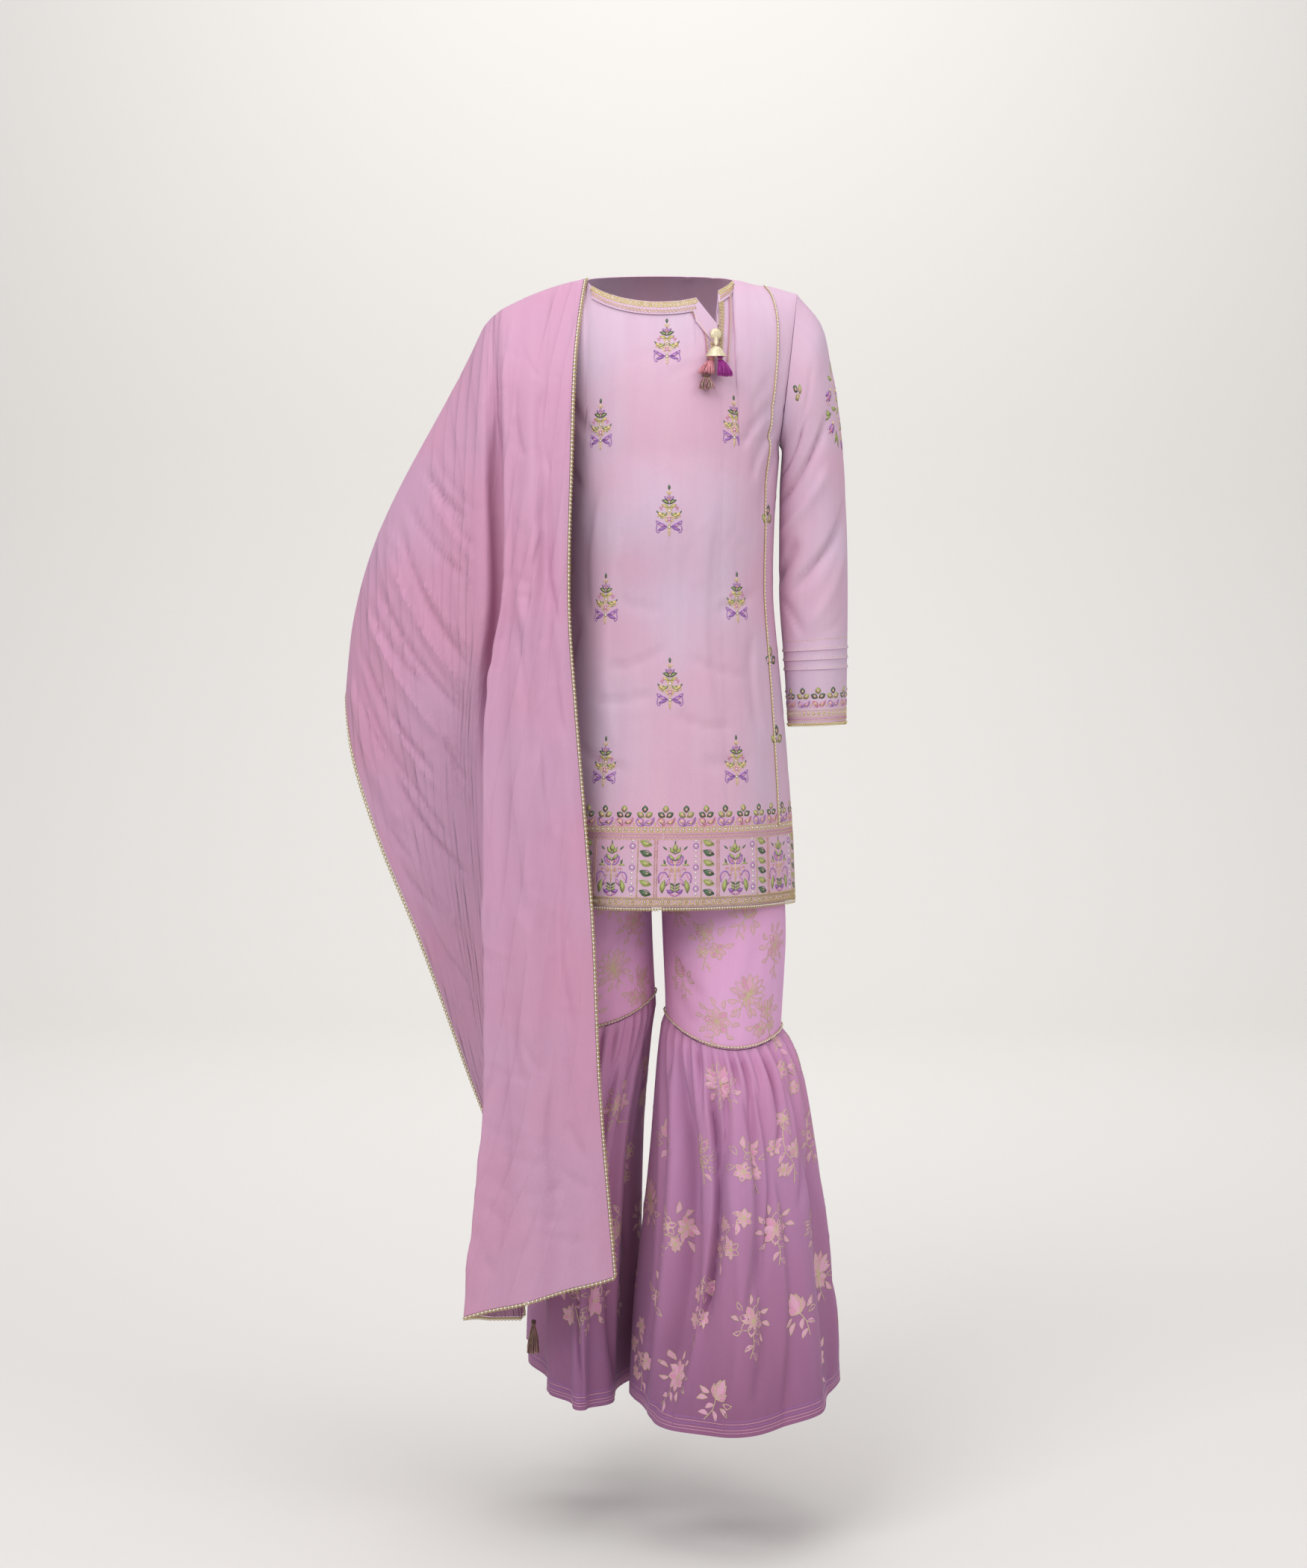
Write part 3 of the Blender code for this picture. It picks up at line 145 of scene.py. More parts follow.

# %% [markdown]
# ## Shared shader groups
# Lawn is a fine plain-weave cotton. This one is shot: the threads one way are pink and the other way lavender,
# so its colour drifts softly. The group gives that drift, a fine weave and a small slub as colour, roughness and
# height. Thread work, plain or metal, needs a group of its own, with the fine ridges of satin stitch and painted shade
# in the grooves between them.

# %% Group helpers


def new_group(name, inputs, outputs):
    """An empty shader group with its named sockets, and its two end nodes."""
    group = bpy.data.node_groups.new(name, "ShaderNodeTree")
    for label, kind, value in inputs:
        socket = group.interface.new_socket(label, in_out="INPUT", socket_type=f"NodeSocket{kind}")
        socket.default_value = value
    for label, kind in outputs:
        group.interface.new_socket(label, in_out="OUTPUT", socket_type=f"NodeSocket{kind}")
    return group, group.nodes.new("NodeGroupInput"), group.nodes.new("NodeGroupOutput")


def add(tree, kind, settings=None, **sockets):
    """One shader node: settings are its own options, and each socket gets a value or another node's output."""
    node = tree.nodes.new(f"ShaderNode{kind}")
    for option, value in (settings or {}).items():
        setattr(node, option, value)
    for label, value in sockets.items():
        key = int(label[1:]) if label[0] == "_" else label.replace("_", " ")
        if isinstance(value, bpy.types.NodeSocket):
            tree.links.new(value, node.inputs[key])
        else:
            node.inputs[key].default_value = value
    return node


def maths(tree, operation, a, b=0.0):
    return add(tree, "Math", {"operation": operation}, _0=a, _1=b).outputs[0]


def mix_colours(tree, share, a, b):
    return add(tree, "Mix", {"data_type": "RGBA"}, _0=share, _6=a, _7=b).outputs[2]


# %% Shot lawn
shot_lawn, lawn_in, lawn_out = new_group(
    "shot_lawn",
    [("Warp Colour", "Color", (0.7, 0.3, 0.5, 1)), ("Weft Colour", "Color", (0.5, 0.4, 0.7, 1)),
     ("Fold Colour", "Color", (0.4, 0.2, 0.4, 1)), ("Drift", "Float", 0.5), ("Thread Size", "Float", 0.0007)],
    [("Colour", "Color"), ("Roughness", "Float"), ("Height", "Float")])
place = add(shot_lawn, "TexCoord")
cloth_uv = place.outputs["UV"]
broad = add(shot_lawn, "TexNoise", Vector=place.outputs["Object"], Scale=5.5, Detail=2.0, Roughness=0.55)
streak_place = add(shot_lawn, "Mapping", Vector=cloth_uv, Scale=(55.0, 5.0, 1.0))
streaks = add(shot_lawn, "TexNoise", Vector=streak_place.outputs[0], Scale=1.0, Detail=4.0, Roughness=0.6)
drift = add(shot_lawn, "MapRange", Value=broad.outputs[0], From_Min=0.36, From_Max=0.64)
share = maths(shot_lawn, "MULTIPLY", drift.outputs[0], lawn_in.outputs["Drift"])
two_tone = mix_colours(shot_lawn, share, lawn_in.outputs["Warp Colour"], lawn_in.outputs["Weft Colour"])
slub = add(shot_lawn, "MapRange", Value=streaks.outputs[0], From_Min=0.35, From_Max=0.75, To_Min=0.0, To_Max=0.16)
toned = mix_colours(shot_lawn, slub.outputs[0], two_tone, lawn_in.outputs["Fold Colour"])
thread_scale = maths(shot_lawn, "DIVIDE", 1.0, lawn_in.outputs["Thread Size"])
thread_place = add(shot_lawn, "VectorMath", {"operation": "SCALE"}, Vector=cloth_uv, Scale=thread_scale)
parts = add(shot_lawn, "SeparateXYZ", Vector=thread_place.outputs[0])
warp_wave = maths(shot_lawn, "SINE", maths(shot_lawn, "MULTIPLY", parts.outputs[0], math.pi))
weft_wave = maths(shot_lawn, "SINE", maths(shot_lawn, "MULTIPLY", parts.outputs[1], math.pi))
weave = maths(shot_lawn, "MULTIPLY", warp_wave, weft_wave)
fuzz = add(shot_lawn, "TexNoise", Vector=thread_place.outputs[0], Scale=0.35, Detail=3.0)
height = maths(shot_lawn, "ADD", maths(shot_lawn, "MULTIPLY", weave, 0.5),
               maths(shot_lawn, "MULTIPLY", fuzz.outputs[0], 1.2))
rough = add(shot_lawn, "MapRange", Value=streaks.outputs[0], To_Min=0.62, To_Max=0.86)
shot_lawn.links.new(toned, lawn_out.inputs["Colour"])
shot_lawn.links.new(rough.outputs[0], lawn_out.inputs["Roughness"])
shot_lawn.links.new(height, lawn_out.inputs["Height"])

# %% Pressed creases
pressed, press_in, press_out = new_group(
    "pressed_creases", [("Across", "Float", 0.83), ("Up", "Float", 0.55), ("Spacing", "Float", 0.02)],
    [("Height", "Float")])
place = add(pressed, "TexCoord")
parts = add(pressed, "SeparateXYZ", Vector=place.outputs["UV"])
slant = maths(pressed, "ADD", maths(pressed, "MULTIPLY", parts.outputs[0], press_in.outputs["Across"]),
              maths(pressed, "MULTIPLY", parts.outputs[1], press_in.outputs["Up"]))
wander = add(pressed, "TexNoise", Vector=place.outputs["UV"], Scale=4.0, Detail=1.0)
slant = maths(pressed, "ADD", slant, maths(pressed, "MULTIPLY", wander.outputs[0], 0.045))
count = maths(pressed, "DIVIDE", slant, press_in.outputs["Spacing"])
saw = maths(pressed, "FRACT", count)
fall = maths(pressed, "POWER", saw, 5.0)
long = add(pressed, "Mapping", Vector=place.outputs["UV"], Scale=(14.0, 3.0, 1.0))
strength = add(pressed, "TexNoise", Vector=long.outputs[0], Scale=1.0, Detail=1.0)
strength = add(pressed, "MapRange", Value=strength.outputs[0], From_Min=0.36, From_Max=0.62)
pressed.links.new(maths(pressed, "MULTIPLY", fall, strength.outputs[0]), press_out.inputs["Height"])

# %% Stitched thread, plain or metal, with painted shade in the grooves between the stitch ridges
stitched, thread_in, thread_out = new_group(
    "stitched_thread",
    [("Colour", "Color", (0.5, 0.4, 0.2, 1)), ("Dark Colour", "Color", (0.3, 0.2, 0.1, 1)),
     ("Stitch Size", "Float", 0.0005), ("Roughness Low", "Float", 0.35), ("Roughness High", "Float", 0.6)],
    [("Colour", "Color"), ("Roughness", "Float"), ("Height", "Float")])
place = add(stitched, "TexCoord")
stitch_scale = maths(stitched, "DIVIDE", 1.0, thread_in.outputs["Stitch Size"])
small = add(stitched, "VectorMath", {"operation": "SCALE"}, Vector=place.outputs["Object"], Scale=stitch_scale)
ridges = add(stitched, "TexWave", {"wave_type": "BANDS", "bands_direction": "DIAGONAL"},
             Vector=small.outputs[0], Scale=0.35, Distortion=3.0, Detail=2.0, Detail_Scale=1.2)
speck = add(stitched, "TexNoise", Vector=small.outputs[0], Scale=0.5, Detail=3.0)
# Painted shade: the thread's colour is mixed towards its darker colour where the stitch ridges are low, in the grooves
# between them.
groove_shade = maths(stitched, "MULTIPLY", maths(stitched, "SUBTRACT", 1.0, ridges.outputs["Fac"]), 0.75)
stitched.links.new(mix_colours(stitched, groove_shade, thread_in.outputs["Colour"], thread_in.outputs["Dark Colour"]),
                   thread_out.inputs["Colour"])
spread = add(stitched, "MapRange", Value=speck.outputs[0], From_Min=0.3, From_Max=0.7,
             To_Min=thread_in.outputs["Roughness Low"], To_Max=thread_in.outputs["Roughness High"])
stitched.links.new(spread.outputs[0], thread_out.inputs["Roughness"])
stitched.links.new(ridges.outputs["Fac"], thread_out.inputs["Height"])

# %% [markdown]
# ## Finishes
# Each finish sets its own values on one of the groups, and sends the group's height to a bump. Colours are linear.

# %% Cloth finishes


def finish_from(group, name, values, bump_depth, metallic=0.0, sheen=0.0, sheen_tint=(1, 1, 1), specular=0.5):
    made = bpy.data.materials.new(name)
    made.use_nodes = True
    tree = made.node_tree
    surface = tree.nodes["Principled BSDF"]
    node = tree.nodes.new("ShaderNodeGroup")
    node.node_tree = group
    set_inputs(node, {label: (*value, 1) if isinstance(value, tuple) else value for label, value in values.items()})
    bump = add(tree, "Bump", Strength=0.6, Distance=bump_depth, Height=node.outputs["Height"])
    tree.links.new(node.outputs["Colour"], surface.inputs["Base Color"])
    tree.links.new(node.outputs["Roughness"], surface.inputs["Roughness"])
    tree.links.new(bump.outputs[0], surface.inputs["Normal"])
    set_inputs(surface, {"Metallic": metallic, "Specular IOR Level": specular, "Sheen Weight": sheen,
                         "Sheen Roughness": 0.45, "Sheen Tint": (*sheen_tint, 1)})
    return made


def lawn(name, warp, weft, fold, drift=0.8):
    values = {"Warp Colour": warp, "Weft Colour": weft, "Fold Colour": fold, "Drift": drift}
    return finish_from(shot_lawn, name, values, 0.00025, sheen=0.12, sheen_tint=(0.9, 0.75, 1.0), specular=0.25)


kurta_cloth = lawn("kurta_lawn", (0.65, 0.4, 0.52), (0.6, 0.49, 0.61), (0.5, 0.22, 0.42))
scarf_cloth = lawn("scarf_lawn", (0.6, 0.3, 0.44), (0.55, 0.34, 0.49), (0.44, 0.19, 0.34), 0.6)
trouser_cloth = lawn("trouser_lawn", (0.78, 0.39, 0.62), (0.68, 0.4, 0.66), (0.5, 0.21, 0.42), 0.6)
flare_lawn = lawn("flare_lawn", (0.47, 0.205, 0.36), (0.43, 0.215, 0.4), (0.3, 0.11, 0.24), 0.6)

# Painted light and shade: the flares' colour is multiplied darker towards their hems and lighter towards their knees,
# for light that falls off downwards.
tree = flare_lawn.node_tree
surface = tree.nodes["Principled BSDF"]
height = add(tree, "SeparateXYZ", Vector=add(tree, "TexCoord").outputs["Object"]).outputs[2]
share = add(tree, "MapRange", Value=height, From_Min=-1.34, From_Max=-0.93).outputs[0]
painted_light_and_shade = add(tree, "MixRGB", Fac=share, Color1=(0.66, 0.6, 0.66, 1), Color2=(1.26, 1.32, 1.26, 1)).outputs[0]
colour = surface.inputs["Base Color"].links[0].from_socket
shade = add(tree, "MixRGB", Fac=1.0, Color1=colour, Color2=painted_light_and_shade)
shade.blend_type = "MULTIPLY"
tree.links.new(shade.outputs[0], surface.inputs["Base Color"])

# The scarf also shows its pressed creases, in two directions.
tree = scarf_cloth.node_tree
surface = tree.nodes["Principled BSDF"]
normal = surface.inputs["Normal"].links[0].from_socket
for across, up, spacing, depth in ((0.97, -0.17, 0.019, 0.004), (0.99, 0.05, 0.031, 0.003)):
    node = tree.nodes.new("ShaderNodeGroup")
    node.node_tree = pressed
    set_inputs(node, {"Across": across, "Up": up, "Spacing": spacing})
    normal = add(tree, "Bump", Strength=0.55, Distance=depth, Height=node.outputs["Height"], Normal=normal).outputs[0]
tree.links.new(normal, surface.inputs["Normal"])

# %% Thread finishes


def thread(name, colour, groove_shade, metallic=0.0, low=0.35, high=0.6, size=0.0006):
    values = {"Colour": colour, "Dark Colour": groove_shade, "Stitch Size": size,
              "Roughness Low": low, "Roughness High": high}
    return finish_from(stitched, name, values, 0.0002, metallic)


THREADS = {
    "gold": thread("gold_thread", (0.86, 0.68, 0.32), (0.6, 0.45, 0.19), 0.15, 0.28, 0.5),
    "dark_green": thread("dark_green_thread", (0.13, 0.2, 0.11), (0.07, 0.12, 0.07)),
    "lime": thread("lime_thread", (0.5, 0.53, 0.18), (0.32, 0.36, 0.11)),
    "purple": thread("purple_thread", (0.42, 0.2, 0.55), (0.3, 0.12, 0.42)),
    "pink": thread("pink_thread", (0.78, 0.32, 0.46), (0.55, 0.2, 0.33)),
    "peach": thread("peach_thread", (0.78, 0.46, 0.42), (0.55, 0.3, 0.27)),
    "sequin": thread("silver_sequin", (0.97, 0.95, 0.9), (0.8, 0.76, 0.66), 0.55, 0.08, 0.2, 0.004),
    "foil": thread("printed_foil", (0.62, 0.48, 0.32), (0.5, 0.38, 0.24), 0.1, 0.4, 0.6, 0.002),
    "print_pink": thread("printed_pink", (0.72, 0.38, 0.52), (0.65, 0.33, 0.46), 0.0, 0.5, 0.7, 0.002),
    "pink_silk": thread("pink_silk_thread", (0.86, 0.36, 0.42), (0.7, 0.26, 0.32), 0.0, 0.35, 0.55),
    "pale_gold": thread("pale_gold_thread", (0.86, 0.74, 0.5), (0.6, 0.48, 0.28), 0.3, 0.25, 0.45),
    "purple_silk": thread("purple_silk_thread", (0.46, 0.04, 0.36), (0.3, 0.02, 0.24), 0.0, 0.3, 0.5),
    "brown": thread("brown_thread", (0.24, 0.13, 0.12), (0.14, 0.07, 0.07), 0.1, 0.3, 0.5),
    "bead": thread("gold_bead_metal", (0.8, 0.71, 0.5), (0.56, 0.47, 0.3), 0.35, 0.25, 0.4),
    "print_rose": thread("printed_rose", (0.7, 0.32, 0.48), (0.6, 0.25, 0.4), 0.0, 0.5, 0.7, 0.002),
}
THREAD_ORDER = list(THREADS)
print("finishes:", len(bpy.data.materials))

# %% [markdown]
# ## Cloth as a grid
# Every cloth here is a grid of points: columns run anticlockwise seen from above and rows run up. The solids'
# own section tables give the points. A grid makes three things easy: it can be made finer by a smooth curve
# through its points, pushed in and out along its own outward direction for a crease, and asked where any place
# on the cloth is, so that a flower can be sewn there.

# %% Curves through table rows


def curve_value(keys, values, at):
    """A smooth curve through (key, value) pairs, the same as in the solids."""
    last = len(keys) - 1
    at = min(keys[-1], max(keys[0], at))
    i = 0
    while i < last - 1 and at > keys[i + 1]:
        i += 1

    def slope(j):
        a = max(0, j - 1)
        b = min(last, j + 1)
        return (values[b] - values[a]) / (keys[b] - keys[a])

    span = keys[i + 1] - keys[i]
    t = (at - keys[i]) / span
    return (values[i] * (1 + 2 * t) * (1 - t) ** 2 + slope(i) * span * t * (1 - t) ** 2
            + values[i + 1] * t * t * (3 - 2 * t) + slope(i + 1) * span * t * t * (t - 1))


def read(table, at):
    keys = [row[0] for row in table]
    return type(table[0])(at, *(curve_value(keys, column, at) for column in list(zip(*table))[1:]))


def polar(degrees):
    """The cosine and sine of an angle in degrees."""
    return math.cos(math.radians(degrees)), math.sin(math.radians(degrees))


def ease(t):
    t = np.clip(t, 0, 1)
    return t * t * (3 - 2 * t)


# %% The grid itself


def unit(vectors):
    return vectors / np.maximum(np.linalg.norm(vectors, axis=-1, keepdims=True), 1e-12)


def lengths_along(path):
    """The running length of a path at each of its points."""
    return np.concatenate([[0], np.cumsum(np.linalg.norm(np.diff(path, axis=0), axis=1))])


def finer(net, times, axis, closed=False):
    """More rows or columns on a smooth curve through those that are there."""
    net = np.moveaxis(np.asarray(net, float), axis, 0)
    if closed:
        ring = np.concatenate([net[-1:], net, net[:2]])
        spans = len(net)
    else:
        ring = np.concatenate([2 * net[:1] - net[1:2], net, 2 * net[-1:] - net[-2:-1]])
        spans = len(net) - 1
    a, b, c, d = (ring[k:k + spans] for k in range(4))
    steps = []
    for k in range(times):
        s = k / times
        steps.append(0.5 * (2 * b + (c - a) * s + (2 * a - 5 * b + 4 * c - d) * s * s
                            + (3 * b - a - 3 * c + d) * s ** 3))
    fine = np.stack(steps, 1).reshape(spans * times, *net.shape[1:])
    if not closed:
        fine = np.concatenate([fine, net[-1:]])
    return np.moveaxis(fine, 0, axis)


class Cloth:
    """A grid of points [row, column], with the outward direction at each."""

    def __init__(self, points, closed=False):
        self.points = np.asarray(points, float)
        self.closed = closed
        self.face()

    def face(self):
        p = self.points
        if self.closed:
            along = np.roll(p, -1, 1) - np.roll(p, 1, 1)
        else:
            along = np.gradient(p, axis=1)
        self.normals = unit(np.cross(along, np.gradient(p, axis=0)))

    def push(self, amount):
        self.points = self.points + self.normals * amount[..., None]
        self.face()
        return self

    def at(self, column, row, lift=0.0):
        """Where fractional grid places are, moved out by lift."""
        height, width = self.points.shape[:2]
        row = np.clip(row, 0, height - 1.000001)
        if self.closed:
            column = np.mod(column, width)
        else:
            column = np.clip(column, 0, width - 1.000001)
        i, j = np.floor(row).astype(int), np.floor(column).astype(int)
        s, t = (row - i)[..., None], (column - j)[..., None]
        k = (j + 1) % width
        found = []
        for field in (self.points, self.normals):
            low = field[i, j] * (1 - t) + field[i, k] * t
            high = field[i + 1, j] * (1 - t) + field[i + 1, k] * t
            found.append(low * (1 - s) + high * s)
        return found[0] + unit(found[1]) * np.asarray(lift)[..., None]


# %% A piece from a grid


def select_only(obj):
    bpy.ops.object.select_all(action="DESELECT")
    obj.select_set(True)
    bpy.context.view_layer.objects.active = obj


def arc_lengths(points, axis):
    """The running length along a grid's rows or columns, as the mean of them all."""
    steps = np.linalg.norm(np.diff(points, axis=axis), axis=2)
    mean = steps.mean(axis=1 - axis)
    return np.concatenate([[0.0], np.cumsum(mean)])


def cloth_piece(name, cloth, material, thickness, replaces=()):
    """A flat grid is added, laid on the cloth's points, and given its thickness inwards."""
    points, normals = cloth.points, cloth.normals
    if cloth.closed:
        points = np.concatenate([points, points[:, :1]], 1)
        normals = np.concatenate([normals, normals[:, :1]], 1)
    height, width = points.shape[:2]
    bpy.ops.object.select_all(action="DESELECT")
    bpy.ops.mesh.primitive_grid_add(x_subdivisions=width - 1, y_subdivisions=height - 1, size=1)
    obj = bpy.context.object
    obj.name = obj.data.name = name
    # The grid's own uv map becomes the cloth's lengths in metres, so that the weave keeps its size.
    across, up = arc_lengths(points, 1), arc_lengths(points, 0)
    uv = obj.data.uv_layers[0].uv
    place = np.zeros(len(uv) * 2)
    uv.foreach_get("vector", place)
    place = place.reshape(-1, 2)
    cols, rows = np.rint(place[:, 0] * (width - 1)).astype(int), np.rint(place[:, 1] * (height - 1)).astype(int)
    uv.foreach_set("vector", np.stack([across[cols], up[rows]], 1).ravel())
    obj.data.vertices.foreach_set("co", points.reshape(-1, 3).ravel())
    obj.data.update()
    select_only(obj)
    if cloth.closed:
        bpy.ops.object.mode_set(mode="EDIT")
        bpy.ops.mesh.select_all(action="SELECT")
        bpy.ops.mesh.remove_doubles(threshold=0.00001)
        bpy.ops.object.mode_set(mode="OBJECT")
    wall = obj.modifiers.new("wall", "SOLIDIFY")
    wall.thickness = thickness
    wall.offset = -1
    wall.use_even_offset = False
    bpy.ops.object.modifier_apply(modifier=wall.name)
    bpy.ops.object.shade_smooth_by_angle(angle=math.radians(60))
    obj.data.materials.append(material)
    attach(obj, "root")
    if replaces:
        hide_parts(*replaces)
    return obj


print("cloth tools ready")

# %% [markdown]
# ## The tunic
# A tunic like this is cut as a back, a front centre and two front sides, with set-in sleeves and a bordered hem.
# Its body is an oval at each height, which runs up to the neckline and the shoulders. The tables are the
# solids' own. The front shell covers all three front panels, because their seams lie under the laces.

# %% Tables of the tunic's body
Ring = namedtuple("Ring", "z cx cy half_width front_depth back_depth")
KURTA_RINGS = in_mm(
    (-752, -6, 0, 160.5, 136, 132), (-663.5, -4, 0, 155, 132, 127), (-600, -2, 0, 149, 128, 120),
    (-520, 0, 0, 141, 124, 107), (-440, 0, 0, 134, 120, 97), (-380, 0, 0, 129.5, 119, 89), (-290, 0, 0, 131, 125, 91),
    (-215, 0, 0, 136.5, 118, 98),
    kind=Ring)
HEM_Z, BORDER_TOP_Z, CHEST_Z = -0.752, -0.6635, -0.215
NECK_LEFT_X, NECK_RIGHT_X, NECK_DROP = 0.079, -0.098, 0.034
NECK_DEPTH_FRONT, NECK_DEPTH_BACK, NECK_RISE_BACK = 0.072, 0.048, 0.01
SHOULDER_TIP_X, SHOULDER_TIP_Z = 0.157, -0.017
LACE_SHOULDER_X, LACE_SHOULDER_Z = 0.117, -0.007
UNDERARM_X, UNDERARM_Z, ARMHOLE_HALF_DEPTH = 0.136, -0.2, 0.047
SLIT_TIP_X, SLIT_FOOT_X, SLIT_END_X, SLIT_FOOT_Z = 0.034, 0.0575, 0.0615, -0.06
NECK_BORDER_WIDTH, PLACKET_FOOT_Z = 0.016, -0.106
LACE_ANGLE, NECK_LEFT_ANGLE, NECK_RIGHT_ANGLE = 64.0, 38.0, -46.0
SEAM, WALL = 0.0003, 0.0012
ARMHOLE_STEPS, YOKE_ROWS, PLACKET_ROW, BAND_ROW = 8, 10, 5, 7

# %% The body's points


def ring_point(angle, z, back=False, table=KURTA_RINGS):
    """A point of a body's oval. The angle is 0 at the centre of the front or the back and 90 at the side."""
    ring = read(table, z)
    c, s = polar(angle)
    depth = ring.back_depth if back else -ring.front_depth
    return Vector((ring.cx + ring.half_width * s, ring.cy + depth * c, z))


def armhole_point(side, degrees, back):
    c, s = polar(degrees)
    x = (SHOULDER_TIP_X + UNDERARM_X) / 2 + (SHOULDER_TIP_X - UNDERARM_X) / 2 * c
    z = (SHOULDER_TIP_Z + UNDERARM_Z) / 2 + (SHOULDER_TIP_Z - UNDERARM_Z) / 2 * c
    y = ARMHOLE_HALF_DEPTH * s
    return Vector((side * x, y if back else -y, z))


def shoulder_height(x):
    reach = abs(x)
    if reach < LACE_SHOULDER_X:
        return LACE_SHOULDER_Z * ease((reach - NECK_LEFT_X) / (LACE_SHOULDER_X - NECK_LEFT_X))
    share = (reach - LACE_SHOULDER_X) / (SHOULDER_TIP_X - LACE_SHOULDER_X)
    return LACE_SHOULDER_Z + (SHOULDER_TIP_Z - LACE_SHOULDER_Z) * share


def body_top(angle, back):
    """Where the column at this angle ends, on the neckline or the shoulder, and its direction there."""
    side = 1 if angle >= 0 else -1
    facing = 1 if back else -1
    neck_angle, neck_x = (NECK_LEFT_ANGLE, NECK_LEFT_X) if side > 0 else (NECK_RIGHT_ANGLE, NECK_RIGHT_X)
    if abs(angle) >= abs(neck_angle):
        share = (abs(angle) - abs(neck_angle)) / (LACE_ANGLE - abs(neck_angle))
        x = neck_x + (side * LACE_SHOULDER_X - neck_x) * share
        return Vector((x, 0, shoulder_height(x))), Vector((-side * 0.35 * share, -facing * 0.85, 0.35))
    share = (angle - NECK_RIGHT_ANGLE) / (NECK_LEFT_ANGLE - NECK_RIGHT_ANGLE)
    x = NECK_RIGHT_X + (NECK_LEFT_X - NECK_RIGHT_X) * share
    round_share = math.sqrt(max(0.0, 1 - (2 * share - 1) ** 2))
    if back:
        return Vector((x, NECK_DEPTH_BACK * round_share, NECK_RISE_BACK * round_share)), Vector((0, -0.7, 0.6))
    top = Vector((x, -NECK_DEPTH_FRONT * round_share, -NECK_DROP * round_share ** 1.3))
    return top, Vector((0, 0.75 - 0.25 * round_share, 0.45 + 0.45 * round_share))


def curve_between(start, leave, end, arrive, t):
    return (start * (1 + 2 * t) * (1 - t) ** 2 + leave * t * (1 - t) ** 2
            + end * t * t * (3 - 2 * t) + arrive * t * t * (t - 1))


class YokeColumn:
    """One column from the chest ring up to the neckline or the shoulder."""

    def __init__(self, angle, back):
        self.start = ring_point(angle, CHEST_Z, back)
        self.end, direction = body_top(angle, back)
        distance = (self.end - self.start).length
        self.leave, self.arrive = Vector((0, 0, 1)) * distance, direction * distance * 1.25

    def point(self, climb):
        return curve_between(self.start, self.leave, self.end, self.arrive, climb)

    def climb_at(self, z):
        low, high = 0.0, 1.0
        for _ in range(18):
            middle = (low + high) / 2
            low, high = (middle, high) if self.point(middle).z < z else (low, middle)
        return low


def angle_of_neck_x(x):
    share = (x - NECK_RIGHT_X) / (NECK_LEFT_X - NECK_RIGHT_X)
    return NECK_RIGHT_ANGLE + (NECK_LEFT_ANGLE - NECK_RIGHT_ANGLE) * share


SLIT_TIP_ANGLE, SLIT_FOOT_ANGLE, SLIT_END_ANGLE = (
    angle_of_neck_x(x) for x in (SLIT_TIP_X, SLIT_FOOT_X, SLIT_END_X))


def yoke_climbs(angle, back, column):
    """How far up its column each of the solids' own rows crosses."""
    top = 1.0
    if not back and SLIT_TIP_ANGLE < angle < SLIT_END_ANGLE:
        near = SLIT_TIP_ANGLE if angle <= SLIT_FOOT_ANGLE else SLIT_END_ANGLE
        edge_z = YokeColumn(near, False).end.z
        top = column.climb_at(edge_z + (SLIT_FOOT_Z - edge_z) * (angle - near) / (SLIT_FOOT_ANGLE - near))
    if back or not NECK_RIGHT_ANGLE < angle <= NECK_LEFT_ANGLE:
        tip = SHOULDER_TIP_Z - CHEST_Z
        climbs = [0.0]
        for row in range(1, YOKE_ROWS - 1):
            share = (armhole_point(1, 180 * (1 - (row - 1) / ARMHOLE_STEPS), back).z - CHEST_Z) / tip
            climbs.append(column.climb_at(CHEST_Z + (column.end.z - CHEST_Z) * share))
        return climbs + [top]
    placket = column.climb_at(PLACKET_FOOT_Z)
    drop = NECK_BORDER_WIDTH * (1.9 if SLIT_TIP_ANGLE - 1 < angle < SLIT_FOOT_ANGLE else 1.0)
    band = column.climb_at(column.point(top).z - drop)
    keys = [0, PLACKET_ROW, BAND_ROW, YOKE_ROWS - 1]
    return list(np.interp(range(YOKE_ROWS), keys, [0, placket, band, top]))


def side_points(angle, back):
    """One column between the lace's line and the armhole, on the solids' own rows."""
    side = 1 if angle >= 0 else -1
    t = (abs(angle) - LACE_ANGLE) / (90 - LACE_ANGLE)
    starts = []
    for near in (side * LACE_ANGLE, side * (LACE_ANGLE - 4)):
        column = YokeColumn(near, back)
        starts.append([column.point(climb) for climb in yoke_climbs(near, back, column)])
    points = [ring_point(angle, CHEST_Z, back)]
    for row in range(1, YOKE_ROWS):
        degrees = 180 * (1 - (row - 1) / ARMHOLE_STEPS)
        c, s = polar(degrees / 2)
        start, before, end = starts[0][row], starts[1][row], armhole_point(side, degrees, back)
        arrive = Vector((side * c ** 2, -s if back else s, -0.25 * c ** 4))
        reach = (end - start).length
        points.append(curve_between(start, (start - before).normalized() * reach, end,
                                    arrive.normalized() * reach, t))
    return points


